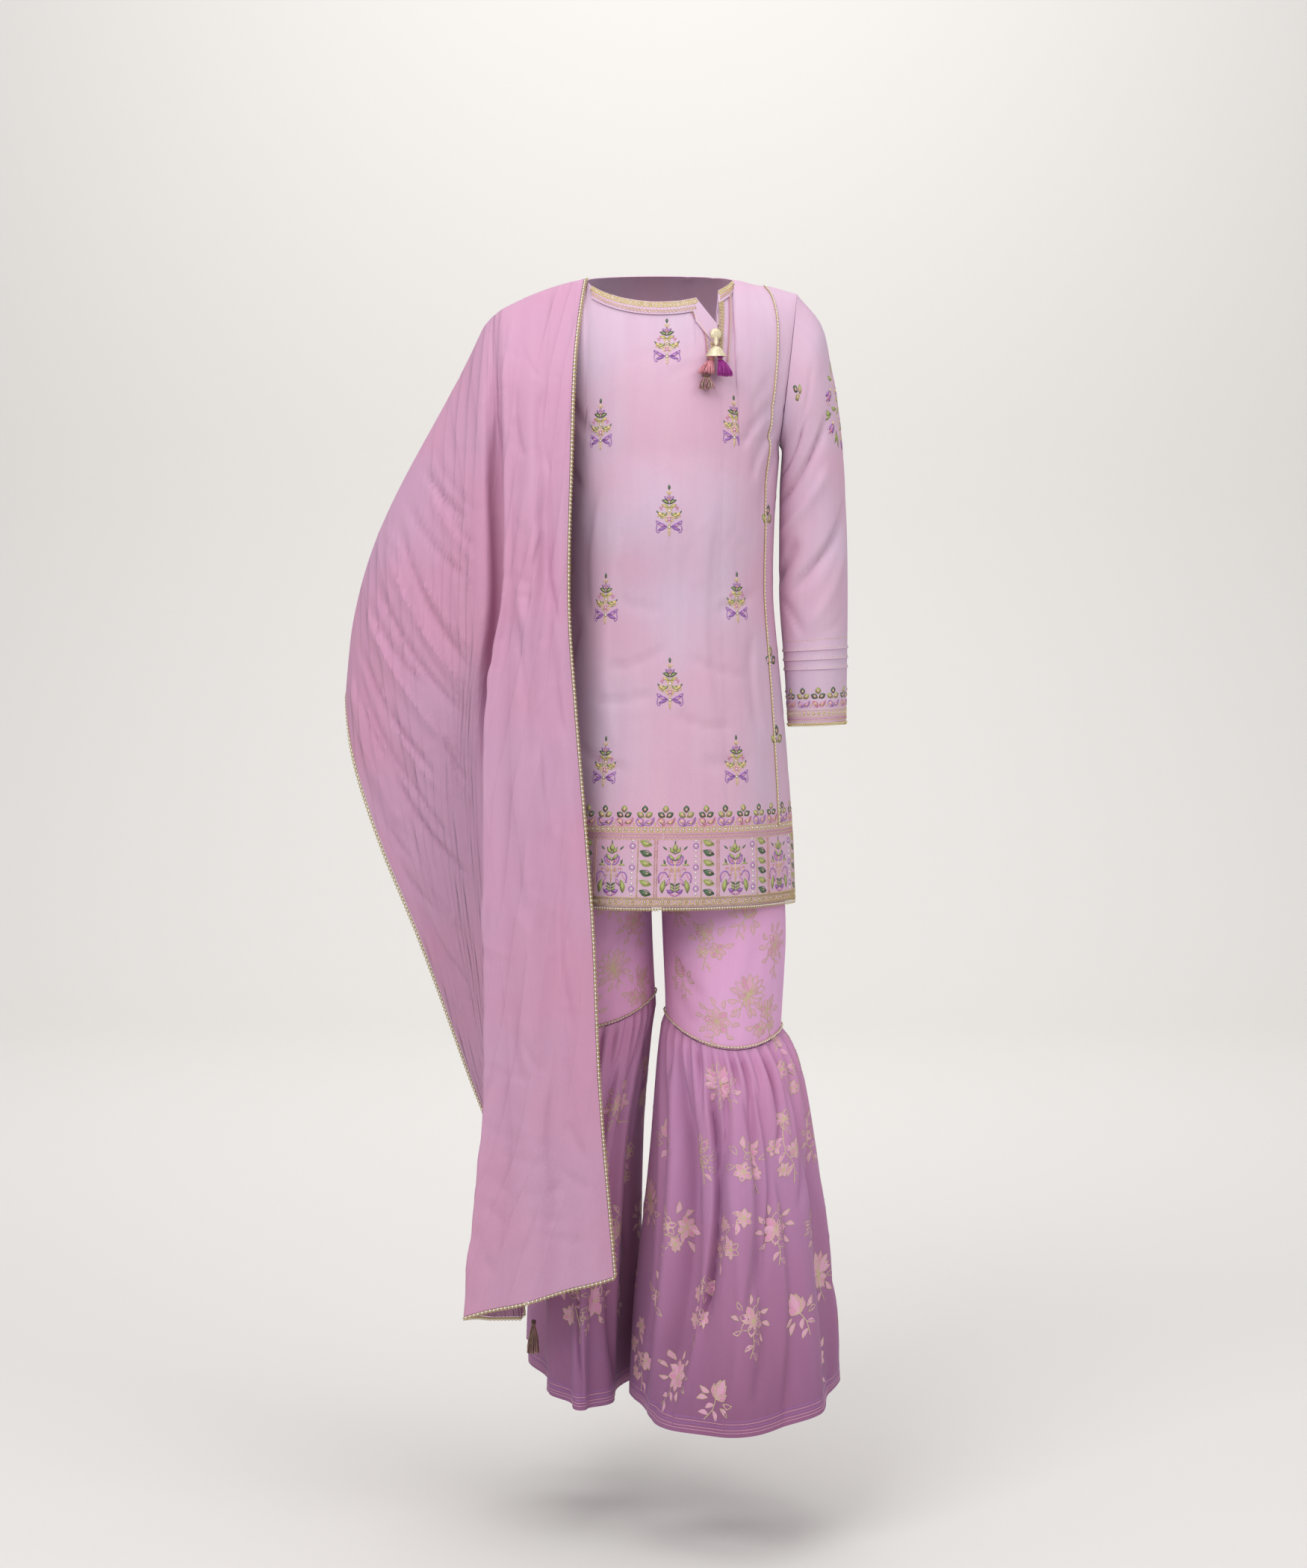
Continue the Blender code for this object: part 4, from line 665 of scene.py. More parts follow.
def body_net(angles, heights, rows_each, back=False):
    """The grid of the tunic's front or back, from its foot to its neckline and shoulders."""
    columns = []
    for angle in angles:
        low = [ring_point(angle, z, back) for z in heights]
        if abs(angle) > LACE_ANGLE:
            high = finer(np.array(side_points(angle, back)), rows_each, 0)
        else:
            column = YokeColumn(angle, back)
            climbs = yoke_climbs(angle, back, column)
            steps = np.interp(np.arange(0, YOKE_ROWS - 1 + 1e-6, 1 / rows_each), range(YOKE_ROWS), climbs)
            high = np.array([column.point(climb) for climb in steps])
        high[-1, 1] += SEAM / 2 if back else -SEAM / 2
        columns.append(np.concatenate([np.array(low), high]))
    return np.stack(columns, 1)


FRONT_ANGLES = sorted({*np.round(np.arange(-90, 90.1, 1.5), 3), SLIT_TIP_ANGLE, SLIT_FOOT_ANGLE,
                       SLIT_FOOT_ANGLE - 0.6, SLIT_FOOT_ANGLE + 0.6, SLIT_END_ANGLE, NECK_LEFT_ANGLE,
                       NECK_RIGHT_ANGLE, LACE_ANGLE, -LACE_ANGLE})
BODY_HEIGHTS = list(np.linspace(BORDER_TOP_Z + SEAM, CHEST_Z, 76))[:-1]
front = Cloth(body_net(FRONT_ANGLES, BODY_HEIGHTS, 4))
BACK_ANGLES = list(np.arange(90, -90.1, -2.5))
back = Cloth(body_net(BACK_ANGLES, BODY_HEIGHTS[::2], 3, back=True))
print("front grid", front.points.shape, "back grid", back.points.shape)

# %% [markdown]
# ## Creases placed one by one
# Worn lawn is never smooth. Each main crease gets a row of its own: where it starts and ends, and how wide and deep
# it is. Negative depths are troughs, and one side of each is sharper. On body cloth a crease is placed as seen from
# the front or the back. On a tube, such as a sleeve, it is placed by the way along and the turn round it.

# %% Crease tools


def crease_shape(gap, width):
    """Wide on one side and sharp on the other, as a fold that has fallen over."""
    side = np.where(gap > 0, width, width * 0.35)
    return np.exp(-(gap / side) ** 2)


def flat_creases(a, b, creases):
    """The push of a table of creases on places (a, b). Its rows hold both ends, width and depth."""
    total = np.zeros_like(a)
    for x0, z0, x1, z1, width, depth in creases:
        run = np.array([x1 - x0, z1 - z0])
        length = np.linalg.norm(run)
        run = run / length
        along = ((a - x0) * run[0] + (b - z0) * run[1]) / length
        bow = 0.06 * length * np.sin(np.pi * np.clip(along, 0, 1))
        gap = (a - x0) * run[1] - (b - z0) * run[0] - bow
        ends = ease(np.clip(along, 0, 1) * 4) * ease((1 - np.clip(along, 0, 1)) * 4)
        total += depth * crease_shape(gap, width) * ends
    return total


def facing_push(cloth, creases, facing):
    """Creases on the side of a cloth that faces the front (-1) or the back (1)."""
    p = cloth.points
    return flat_creases(p[..., 0], p[..., 2], creases) * ease(cloth.normals[..., 1] * facing * 2.5)


def crumple(cloth, count, size, depth, seed):
    """Many small soft creases in random places, for the handled look of thin cotton."""
    dice = np.random.default_rng(seed)
    p = cloth.points
    total = np.zeros(p.shape[:2])
    height, width = total.shape
    for _ in range(count):
        centre = p[dice.integers(0, height), dice.integers(0, width)]
        line = dice.normal(size=3)
        line /= np.linalg.norm(line)
        reach = p - centre
        along = reach @ line
        gap = np.linalg.norm(reach - along[..., None] * line, axis=2)
        length, thin = size * dice.uniform(0.7, 1.8), size * dice.uniform(0.1, 0.22)
        crease = np.exp(-(along / length) ** 2 - (gap / thin) ** 2)
        total += dice.uniform(0.3, 1.0) * depth * dice.choice([-1, 1]) * crease
    return total


# %% Soft flutes round the tunic's skirt


def flutes(full_angle, z):
    """The skirt of the tunic swings in and out a little. full_angle runs all round from the centre front."""
    turn = np.radians(full_angle)
    low = ease((-0.36 - z) / 0.34)
    return low * 0.0016 * (np.cos(4 * turn + 0.6) + 0.7 * np.cos(7 * turn + 2.0) + 0.4 * np.cos(11 * turn + 4.1))


# %% Creases of the tunic's front and back
FRONT_CREASES = in_mm(
    # the slit drags on the chest
    (40, -78, -12, -92, 4, -0.9), (40, -92, -20, -112, 4.5, -1), (44, -108, 0, -128, 4.5, -0.9),
    (-10, -98, -55, -112, 5, -0.8), (76, -70, 98, -94, 4, -0.9), (76, -95, 106, -120, 5, -1.1),
    # from the armholes
    (132, -150, 88, -214, 8, -2.2), (134, -175, 102, -250, 7, -2.4), (130, -120, 100, -170, 6, -1.4),
    (136, -200, 115, -300, 8, -2.2), (-124, -130, -80, -200, 8, -2), (-132, -170, -98, -260, 8, -2.2),
    # soft drags round the waist
    (-80, -470, 5, -440, 8, -1.4), (20, -452, 104, -478, 7, -1.3), (-92, -505, -10, -496, 8, -1.6),
    (50, -400, 112, -372, 8, -1.5), (-60, -385, 0, -398, 7, -1), (2, -520, 82, -540, 8, -1.4),
    (104, -420, 118, -560, 9, -2.2), (-100, -400, -118, -560, 9, -2.2), (-110, -560, -40, -590, 8, -1.5),
    (30, -580, 110, -572, 8, -1.2),
    # long soft ridges down the front
    (12, -230, 6, -560, 16, 1.4), (58, -250, 70, -600, 18, 1.8), (-45, -250, -60, -600, 18, 1.6),
    (36, -280, 42, -600, 11, -1.2), (-80, -240, -92, -420, 12, -1.6),
)
BACK_CREASES = in_mm(
    (128, -120, 70, -190, 9, -2.2), (-128, -120, -70, -195, 9, -2.2), (132, -180, 96, -290, 9, -2.4),
    (-132, -180, -90, -280, 9, -2.4), (90, -390, -20, -410, 9, -1.8), (-100, -420, 10, -440, 9, -2),
    (70, -460, -60, -470, 10, -1.6), (20, -230, 12, -600, 16, 2), (-55, -250, -70, -600, 18, 2.2),
    (72, -260, 88, -600, 18, 2.2), (-20, -300, -26, -600, 12, -1.6),
)
BODY_CREASING, CALM_Z = 1.5, -0.64
for cloth, angles, table, facing, small in (
        (front, np.array(FRONT_ANGLES), FRONT_CREASES, -1, (220, 0.02, 0.0008, 1)),
        (back, 180 - np.array(BACK_ANGLES), BACK_CREASES, 1, (150, 0.022, 0.0008, 2))):
    cloth.push(flutes(angles[None, :], cloth.points[..., 2]))
    calm = ease((cloth.points[..., 2] - CALM_Z) / 0.05)
    cloth.push((BODY_CREASING * facing_push(cloth, table, facing) + crumple(cloth, *small)) * calm)

# %% Shells of the tunic's body
# The slit needs no cut, because the columns across it end lower.
cloth_piece("kurta_front", front, kurta_cloth, WALL,
            ("kurta_front_centre", "kurta_front_side_left", "kurta_front_side_right"))
cloth_piece("kurta_back_panel", back, kurta_cloth, WALL, ("kurta_back",))

# %% The hem border, a ring of its own
HEM_COLUMNS = 240


def skirt_loop(angles, z):
    """Points round the skirt at angles counted anticlockwise from the centre front."""
    return np.array([ring_point(a if a <= 90 else (180 - a if a < 270 else a - 360), z, 90 < a < 270) for a in angles])


def even_angles(z, count=HEM_COLUMNS):
    """The angles of points at even distances round the skirt, and its girth."""
    fine = np.linspace(0, 360, 1441)
    run = lengths_along(skirt_loop(fine, z))
    return np.interp(np.linspace(0, run[-1], count + 1)[:-1], run, fine), run[-1]


hem_angles, HEM_LENGTH = even_angles(-0.7)


def skirt_cloth(levels):
    """The skirt between some heights as a closed cloth, with the flutes."""
    made = Cloth([skirt_loop(hem_angles, z) for z in levels], closed=True)
    return made.push(flutes(hem_angles[None, :], made.points[..., 2]))


hem = skirt_cloth(np.linspace(HEM_Z, BORDER_TOP_Z, 24))
quarter = HEM_COLUMNS // 4
for word, shift in (("front", quarter), ("back", -quarter)):
    half = Cloth(np.roll(hem.points, shift, 1)[:, :2 * quarter + 1])
    cloth_piece(f"hem_panel_{word}", half, kurta_cloth, WALL, (f"hem_border_{word}",))
print("hem length", round(HEM_LENGTH, 3))

# %% [markdown]
# ## Sleeves
# A sleeve is a tube between its outer and inner line. The left one hangs, and the right one is lifted under the
# scarf. Above each cuff three pin tucks are stitched down, and deep folds run from the elbow to the underarm.

# %% Sleeve tables
Cuff = namedtuple("Cuff", "along outer_x outer_z inner_x inner_z cy half_depth")
SLEEVE_LEFT = in_mm(
    (0, 157, -17, 136, -200, 0, 47), (45, 187, -54, 139.5, -206, 0, 53), (95, 199, -102, 139.5, -217, 2, 56),
    (140, 207, -143, 138.5, -232, 4, 55), (205, 214.5, -208, 137.5, -256, 6, 53),
    (295, 219.5, -298, 137, -320, 8, 51), (375, 221, -378, 137.5, -390, 8, 49), (455, 220.5, -458, 143, -462, 6, 46),
    (532, 219.5, -535, 148, -538, 4, 43),
    kind=Cuff)
SLEEVE_RIGHT = in_mm(
    (0, -157, -17, -136, -200, 0, 47), (55, -188, -64, -142, -206, 0, 50), (110, -214, -112, -152, -215, 0, 50),
    (165, -245, -157, -168, -228, 0, 49), (237, -285, -217, -203, -253, 0, 48), (310, -318, -282, -234, -302, 0, 47),
    (390, -346, -357, -264, -371, 0, 46), (465, -364, -432, -288, -442, 0, 44), (532, -372, -499, -300, -509, 0, 42),
    kind=Cuff)
SLEEVE_LENGTH, ARMHOLE_GAP = 0.532, 0.0006
TUCKS_ABOVE_CUFF, TUCK_HEIGHT, TUCK_RAMP, TUCK_STEP = (0.065, 0.077, 0.089), 0.0014, 0.0045, 0.0008

# %% Sleeve shells


def sleeve_point(table, along, turn_degrees, side):
    """A point of the sleeve: 0 degrees on its outer line, 90 in front, 180 under the arm."""
    cuff = read(table, along)
    c, s = polar(turn_degrees)
    mid = Vector(((cuff.outer_x + cuff.inner_x) / 2, cuff.cy, (cuff.outer_z + cuff.inner_z) / 2))
    half = Vector(((cuff.outer_x - cuff.inner_x) / 2, 0, (cuff.outer_z - cuff.inner_z) / 2))
    point = mid + half * c - Vector((0, cuff.half_depth * s, 0))
    if along == 0.0:
        point.x += side * ARMHOLE_GAP
    return point


def drags(unit_length, *rows):
    """Creases on a tube. Each row holds the way along, in some unit, and the turn of both ends, width and depth."""
    return [(a * unit_length, s, b * unit_length, t, width * MM, depth * MM) for a, s, b, t, width, depth in rows]


# The turn is 0 on the outer side, 90 in front and 180 inside. Widths and depths are in millimetres.
SLEEVE_DRAGS = drags(MM,
    (135, 52, 232, 178, 11, -6.8), (245, 4, 372, 152, 10, -7.8), (205, 60, 290, 178, 12, 4.2),
    (95, 96, 165, 172, 8, -4), (290, 120, 350, 190, 13, -6), (362, 172, 432, 112, 8, -3.4),
    (300, 20, 425, 120, 11, 2.4), (40, 70, 100, 120, 8, -2.2), (395, 30, 430, 105, 8, -1.5),
    (110, 200, 215, 300, 11, -5), (230, 190, 345, 330, 11, -5.8), (320, 200, 420, 310, 10, -3.6),
    (50, 215, 120, 285, 8, -2.4), (380, 215, 430, 280, 7, -2),
)
SLEEVE_COLUMNS, MEAN_RADIUS = 72, 0.045


def tube_creases(along, turn, table, radius):
    total = np.zeros_like(along)
    for shift in (-360, 0, 360):
        flat = [(a, math.radians(s + shift) * radius, b, math.radians(t + shift) * radius, width, depth)
                for a, s, b, t, width, depth in table]
        total += flat_creases(along, np.radians(turn) * radius, flat)
    return total


def tuck_push(along):
    total = np.zeros_like(along)
    for above in TUCKS_ABOVE_CUFF:
        past = along - (SLEEVE_LENGTH - above)
        total += TUCK_HEIGHT * np.where(past <= 0, np.clip(1 + past / TUCK_RAMP, 0, 1),
                                        np.clip(1 - past / TUCK_STEP, 0, 1))
    return total


def sleeve_cloth(table, side, seed):
    stations = set(np.round(np.linspace(0, 0.43, 66), 5)) | set(np.round(np.linspace(0.47, SLEEVE_LENGTH, 22), 5))
    for crest in [SLEEVE_LENGTH - above for above in TUCKS_ABOVE_CUFF]:
        stations |= {crest - TUCK_RAMP, crest - 0.002, crest, crest + TUCK_STEP, crest + 0.003}
    stations = sorted(stations, reverse=True)
    turns = [-side * 360 * i / SLEEVE_COLUMNS for i in range(SLEEVE_COLUMNS)]
    made = Cloth([[sleeve_point(table, along, turn, side) for turn in turns] for along in stations], True)
    turn, along = np.meshgrid(np.mod(turns, 360), stations)
    body = ease(along / 0.035) * ease((SLEEVE_LENGTH - 0.098 - along) / 0.02)
    made.push(tuck_push(along))
    made.push((tube_creases(along, turn, SLEEVE_DRAGS, MEAN_RADIUS) + crumple(made, 60, 0.016, 0.0005, seed)) * body)
    made.stations = np.array(stations)
    return made


sleeves = {"left": sleeve_cloth(SLEEVE_LEFT, 1, 3), "right": sleeve_cloth(SLEEVE_RIGHT, -1, 4)}
for word, cloth in sleeves.items():
    cloth_piece(f"sleeve_{word}_tube", cloth, kurta_cloth, WALL, (f"sleeve_{word}",))
print("sleeve grid", sleeves["left"].points.shape)

# %% [markdown]
# ## Trousers
# A gharara has straight legs down to the knee. A seam and a lace run round it there, and below it a very wide
# flare hangs in gathers. The legs are cut as a front and a back panel each, under a plain waistband.

# %% Trouser tables
HIP_RINGS = in_mm(
    (-720, -13, 0, 142, 112, 104), (-560, -8, 0, 132, 104, 96), (-460, -3, 0, 119, 98, 82), (-405, 0, 0, 112, 94, 72),
    (-372, 0, 0, 112, 94, 72),
    kind=Ring)
Leg = namedtuple("Leg", "z cx cy half_width half_depth")
Knee = namedtuple("Knee", "side_z front_drop outer_drop")
Flare = namedtuple("Flare", "fall cx cy half_width half_depth front_pinch back_spread", defaults=(0, 0))
Hem = namedtuple("Hem", "outer_z front_z inner_z")
Side = namedtuple("Side", "sign leg knee flare hem")
LEGS = {
    "left": Side(1, [
        Leg(-0.925, 0.068, -0.024, 0.0705, 0.081), Leg(-0.88, 0.0695, -0.02, 0.0715, 0.083),
        Leg(-0.84, 0.07, -0.016, 0.0735, 0.085), Leg(-0.795, 0.07, -0.012, 0.0755, 0.086),
        Leg(-0.74, 0.068, -0.006, 0.0755, 0.087), Leg(-0.64, 0.062, 0.0, 0.072, 0.092),
    ], Knee(-0.899, 0.026, 0.009), [
        Flare(0.0, 0.068, -0.024, 0.0705, 0.081), Flare(0.1, 0.076, -0.03, 0.084, 0.098),
        Flare(0.35, 0.08, -0.042, 0.1, 0.122), Flare(0.6, 0.0795, -0.052, 0.1085, 0.14),
        Flare(0.85, 0.081, -0.06, 0.118, 0.155), Flare(1.0, 0.0825, -0.063, 0.1225, 0.16),
    ], Hem(-1.338, -1.364, -1.354)),
    "right": Side(-1, [
        Leg(-0.925, -0.083, 0.014, 0.0705, 0.081), Leg(-0.88, -0.086, 0.012, 0.072, 0.083),
        Leg(-0.84, -0.089, 0.01, 0.073, 0.085), Leg(-0.795, -0.0905, 0.007, 0.0725, 0.086),
        Leg(-0.74, -0.0906, 0.003, 0.0716, 0.087), Leg(-0.64, -0.084, 0.0, 0.07, 0.092),
    ], Knee(-0.884, 0.02, 0.014), [
        Flare(0.0, -0.083, 0.014, 0.0705, 0.081), Flare(0.1, -0.09, 0.018, 0.069, 0.094, 0.02, 0.02),
        Flare(0.35, -0.096, 0.026, 0.0655, 0.118, 0.11, 0.15), Flare(0.6, -0.1, 0.034, 0.064, 0.138, 0.19, 0.31),
        Flare(0.85, -0.103, 0.041, 0.064, 0.153, 0.26, 0.44), Flare(1.0, -0.1035, 0.044, 0.064, 0.158, 0.28, 0.5),
    ], Hem(-1.335, -1.36, -1.348)),
}
WAIST_TOP_Z, WAIST_Z, CROTCH_START_Z, CROTCH_END_Z = -0.372, -0.405, -0.59, -0.715
GATHERS, GATHER_DEPTH, BIG_FOLDS, BIG_FOLD_DEPTH, KNEE_GAP = 32, 0.0034, 8, 0.0068, 0.0009

# %% Leg panels


def knee_height(knee, turn_degrees):
    c, s = polar(turn_degrees)
    return knee.side_z - knee.front_drop * max(0.0, s) ** 1.5 - knee.outer_drop * c


def trouser_point(leg, share, fall, back):
    """A point of one leg panel: share 0 at the side seam and 1 at the inseam or the centre seam."""
    turn = 180 * share
    foot_z = knee_height(leg.knee, turn if not back else 360 - turn)
    z = WAIST_Z + (foot_z - WAIST_Z) * fall
    hip = ring_point(leg.sign * 90 * (1 - share), z, back, HIP_RINGS)
    row = read(leg.leg, z)
    c, s = polar(turn)
    on_leg = Vector((row.cx + leg.sign * row.half_width * c, row.cy + row.half_depth * (s if back else -s), z))
    return hip.lerp(on_leg, float(ease((CROTCH_START_Z - z) / (CROTCH_START_Z - CROTCH_END_Z))))


LEG_DRAGS = {
    "left": in_mm(
        (20, -770, 60, -812, 9, -2), (0, -800, 50, -870, 9, -2.2), (126, -780, 96, -880, 10, -1.8),
        (10, -850, 40, -905, 6, -1.4), (80, -850, 104, -905, 7, -1), (46, -760, 60, -900, 14, 1.4)),
    "right": in_mm(
        (-40, -770, -76, -822, 9, -2), (-34, -820, -72, -880, 8, -2), (-140, -780, -110, -870, 10, -1.8),
        (-60, -760, -66, -880, 12, 1.4)),
}
leg_falls = list(np.linspace(1.0, 0.62, 34)) + list(np.linspace(0.6, 0.0, 12))
LEG_COLUMNS = 33
leg_cloths = {}
for word, leg in LEGS.items():
    for back_side in (False, True):
        shares = np.linspace(0, 1, LEG_COLUMNS)
        if (leg.sign < 0) == back_side:
            shares = shares[::-1]
        made = Cloth([[trouser_point(leg, share, fall, back_side) for share in shares] for fall in leg_falls])
        share_grid, fall_grid = np.meshgrid(shares, leg_falls)
        rim = ease(share_grid * 12) * ease((1 - share_grid) * 12)
        pucker = 0.0005 * np.cos(np.radians(16 * 360 * share_grid)) * ease((fall_grid - 0.955) / 0.03)
        worn = (facing_push(made, LEG_DRAGS[word], 1 if back_side else -1)
                + crumple(made, 40, 0.016, 0.0006, 11 + len(leg_cloths)))
        made.push((worn * ease((1 - fall_grid) / 0.05) + pucker) * rim)
        name = f"{'back' if back_side else 'front'}_{word}"
        leg_cloths[name] = made
        cloth_piece(f"leg_{name}", made, trouser_cloth, WALL, (f"trouser_{name}",))

# %% Waistband
band_rows = []
for z in np.linspace(WAIST_Z + SEAM, WAIST_TOP_Z, 5):
    ring = read(HIP_RINGS, z)
    row = []
    for turn in np.radians(np.arange(0, 360, 3.0)):
        depth = ring.back_depth if math.sin(turn) > 0 else ring.front_depth
        row.append((ring.cx + ring.half_width * math.cos(turn), depth * math.sin(turn), z))
    band_rows.append(row)
waist = Cloth(band_rows, closed=True)
waist.push(0.0004 * np.cos(np.arange(120) * 2.1)[None, :] * np.ones((5, 1)))
cloth_piece("waist_casing", waist, trouser_cloth, 0.002, ("waistband",))

# %% [markdown]
# ## Flares
# The gathers of a gharara are drawn up by hand, so no two are alike: some die out after a hand's width and some
# run on as long folds. Each gather is a valley with its own depth and length. Over them lie eight big folds and
# the long creases that the photograph shows.

# %% Flare shells


def flare_base(leg, turn_degrees, fall):
    """The flare without gathers. It starts on the leg panel's own edge."""
    row = read(leg.flare, fall)
    head_z = knee_height(leg.knee, turn_degrees) - SEAM
    cosine, sine = polar(turn_degrees)
    outer_share = (1 + cosine) / 2
    side_z = leg.hem.outer_z * outer_share + leg.hem.inner_z * (1 - outer_share)
    foot_z = side_z + (leg.hem.front_z - (leg.hem.outer_z + leg.hem.inner_z) / 2) * max(0.0, sine)
    width = row.half_width * (1 - row.front_pinch * sine)
    if sine < 0:
        width = row.half_width * (1 - row.back_spread * sine)
        square = 1 - row.back_spread / 2
        cosine = math.copysign(abs(cosine) ** square, cosine)
        sine = -abs(sine) ** square
    return Vector((row.cx + leg.sign * width * cosine, row.cy - row.half_depth * sine,
                   head_z + (foot_z - head_z) * fall))


# The way along is the share of the flare's length. The turn is 0 on the outer side and 90 in front.
FLARE_LENGTH, FLARE_RADIUS, FLARE_CREASING = 0.46, 0.1, 1.25
FLARE_DRAGS = {
    "left": drags(
        FLARE_LENGTH,
        (0.02, 113, 0.8, 118, 10, -15), (0.05, 84, 0.74, 87, 11, -7.5), (0.04, 100, 0.36, 102, 7, -6),
        (0.03, 74, 0.62, 73, 9, -5.5), (0.02, 141, 1.05, 149, 27, -26), (0.02, 166, 1.05, 172, 13, -8),
        (0.05, 128, 1.05, 131, 11, 6), (0.02, 55, 0.3, 58, 8, -6), (0.02, 40, 0.46, 43, 10, -6.5),
        (0.22, 62, 1.05, 64, 18, -7), (0.02, 22, 0.66, 26, 11, -7), (0.3, 97, 1.05, 101, 18, 5),
        (0.2, 32, 1.05, 36, 19, -8), (0.02, 5, 0.8, 4, 11, -7), (0.45, 80, 0.95, 84, 12, -4.5),
        (0.35, 12, 1.05, 14, 15, 5), (0.04, 200, 0.85, 204, 12, -9.5), (0.03, 225, 0.6, 228, 12, -7.5),
        (0.05, 252, 1.05, 250, 15, -11), (0.03, 280, 0.66, 284, 11, -8), (0.04, 305, 1.05, 303, 15, -9.5),
        (0.03, 335, 0.7, 338, 12, -7.5)),
    "right": drags(
        FLARE_LENGTH,
        (0.02, 100, 1.05, 96, 12, -10), (0.03, 122, 0.8, 118, 11, -8.5), (0.02, 146, 1.05, 141, 13, -10),
        (0.04, 165, 0.7, 161, 10, -7), (0.03, 75, 0.75, 72, 11, -8.5), (0.02, 50, 1.05, 47, 13, -9),
        (0.03, 25, 0.65, 22, 11, -7), (0.03, 205, 0.75, 208, 12, -8.5), (0.04, 235, 1.05, 231, 14, -10),
        (0.03, 262, 0.65, 266, 12, -7.5), (0.04, 292, 1.05, 289, 14, -9.5), (0.03, 322, 0.7, 325, 12, -7.5)),
}
FLARE_FINE = 7


def gather_push(turn, fall, seed):
    """Uneven gathers: each is a valley of its own depth that dies out at its own length."""
    dice = np.random.default_rng(seed)
    phase = GATHERS * turn / 360
    for waves in (2, 3, 5, 8):
        phase = phase + dice.uniform(0.1, 0.22) / waves * 2 * np.sin(np.radians(waves * turn) + dice.uniform(0, 6))
    index = np.mod(np.floor(phase).astype(int), GATHERS)
    depth = dice.uniform(0.55, 1.25, GATHERS)[index]
    length = dice.choice([0.12, 0.18, 0.28, 0.5], GATHERS, p=[0.35, 0.3, 0.2, 0.15])[index]
    valley = np.sin(np.pi * (phase - np.floor(phase))) ** 3
    start = ease(fall / 0.035 + 0.12)
    common = start * (1 - ease((fall - 0.05) / 0.3))
    own = start * (1 - ease((fall - 0.04) / length))
    return GATHER_DEPTH * (common - 2.4 * valley * depth * own)


def flare_point(leg, turn, fall):
    """The flare with its head drawn on to the foot of the leg panels."""
    share = turn / 180 if turn <= 180 else 2 - turn / 180
    head = trouser_point(leg, share, 1.0, turn > 180) - Vector((0, 0, KNEE_GAP))
    return flare_base(leg, turn, fall) + (head - flare_base(leg, turn, 0.0)) * (1 - float(ease(fall / 0.15)))


def round_turns(leg, count):
    return np.mod(np.arange(count) * 360 / count * -leg.sign, 360)


def flare_cloth(word, seed):
    leg = LEGS[word]
    net = [[flare_point(leg, turn, fall) for turn in round_turns(leg, 48)] for fall in np.linspace(1, 0, 12)]
    made = Cloth(finer(finer(net, FLARE_FINE, 1, True), 6, 0), True)
    height, width = made.points.shape[:2]
    turn, fall = np.meshgrid(round_turns(leg, width), np.linspace(1, 0, height))
    swell = np.cos(np.radians(BIG_FOLDS * turn) + 0.8 * np.sin(np.radians(turn) + leg.sign))
    creases = tube_creases(fall * FLARE_LENGTH, turn, FLARE_DRAGS[word], FLARE_RADIUS)
    made.push(gather_push(turn, fall, seed) + BIG_FOLD_DEPTH * ease(fall / 0.8) * swell
              + FLARE_CREASING * creases * ease(fall / 0.04)
              + crumple(made, 260, 0.018, 0.0009, seed + 1) * ease(fall / 0.1))
    return made


flares = {"left": flare_cloth("left", 21), "right": flare_cloth("right", 31)}
for word, cloth in flares.items():
    cloth_piece(f"flare_{word}", cloth, flare_lawn, WALL, (f"flare_front_{word}", f"flare_back_{word}"))
print("flare grid", flares["left"].points.shape)

# %% [markdown]
# ## The long scarf
# The scarf hangs over the wearer's right shoulder. Its front panel falls straight, a deep valley runs beside it,
# and the rest spreads over the lifted arm as a wing and falls again behind. Five guide lines per row give its
# form. The wing shows many fine creases that were pressed in while it lay folded, all running the same way.

# %% Scarf tables
# Each row holds the places of the inner edge, the pleat, the valley, the ridge and the outer edge, in millimetres.
SCARF_GUIDES = MM * np.array([
    ((-64, -150, -1190), (-246, -150, -1239), (-226, -116, -1245), (-214, -80, -1255), (-162, -48, -1262)),
    ((-82, -150, -967), (-222.5, -150, -960), (-196, -118, -965), (-212, -86, -990), (-201, -42, -1080)),
    ((-91, -147, -760), (-221.6, -150, -760), (-196, -113, -765), (-216, -84, -790), (-245, -44, -950)),
    ((-110, -138, -520), (-218.5, -137, -510), (-200, -98, -515), (-229, -100, -540), (-298, -50, -800)),
    ((-118, -130, -388), (-196, -124, -375), (-190, -94, -380), (-216, -112, -395), (-342, -54, -690)),
    ((-115.4, -116, -231), (-195, -104, -228), (-198, -82, -236), (-218, -104, -248), (-372.5, -50, -600)),
    ((-111.5, -83, -95), (-197, -76, -108), (-206, -64, -119), (-219, -76, -134), (-387, -36, -538)),
    ((-100.4, 0, 1.5), (-200, 0, -35), (-212, 0, -44), (-224, 0, -58), (-392.5, 0, -500)),
    ((-108, 84, -100), (-192, 84, -115), (-206, 80, -130), (-222, 78, -145), (-387, 38, -540)),
    ((-112, 116, -260), (-182, 114, -270), (-202, 108, -280), (-224, 104, -300), (-372, 52, -605)),
    ((-108, 132, -510), (-170, 132, -520), (-190, 128, -525), (-214, 122, -540), (-325, 74, -740)),
    ((-96, 166, -850), (-150, 168, -855), (-170, 164, -860), (-192, 156, -880), (-250, 110, -960)),
    ((-80, 206, -1160), (-129, 208, -1165), (-149, 204, -1170), (-169, 198, -1175), (-205, 160, -1180)),
])
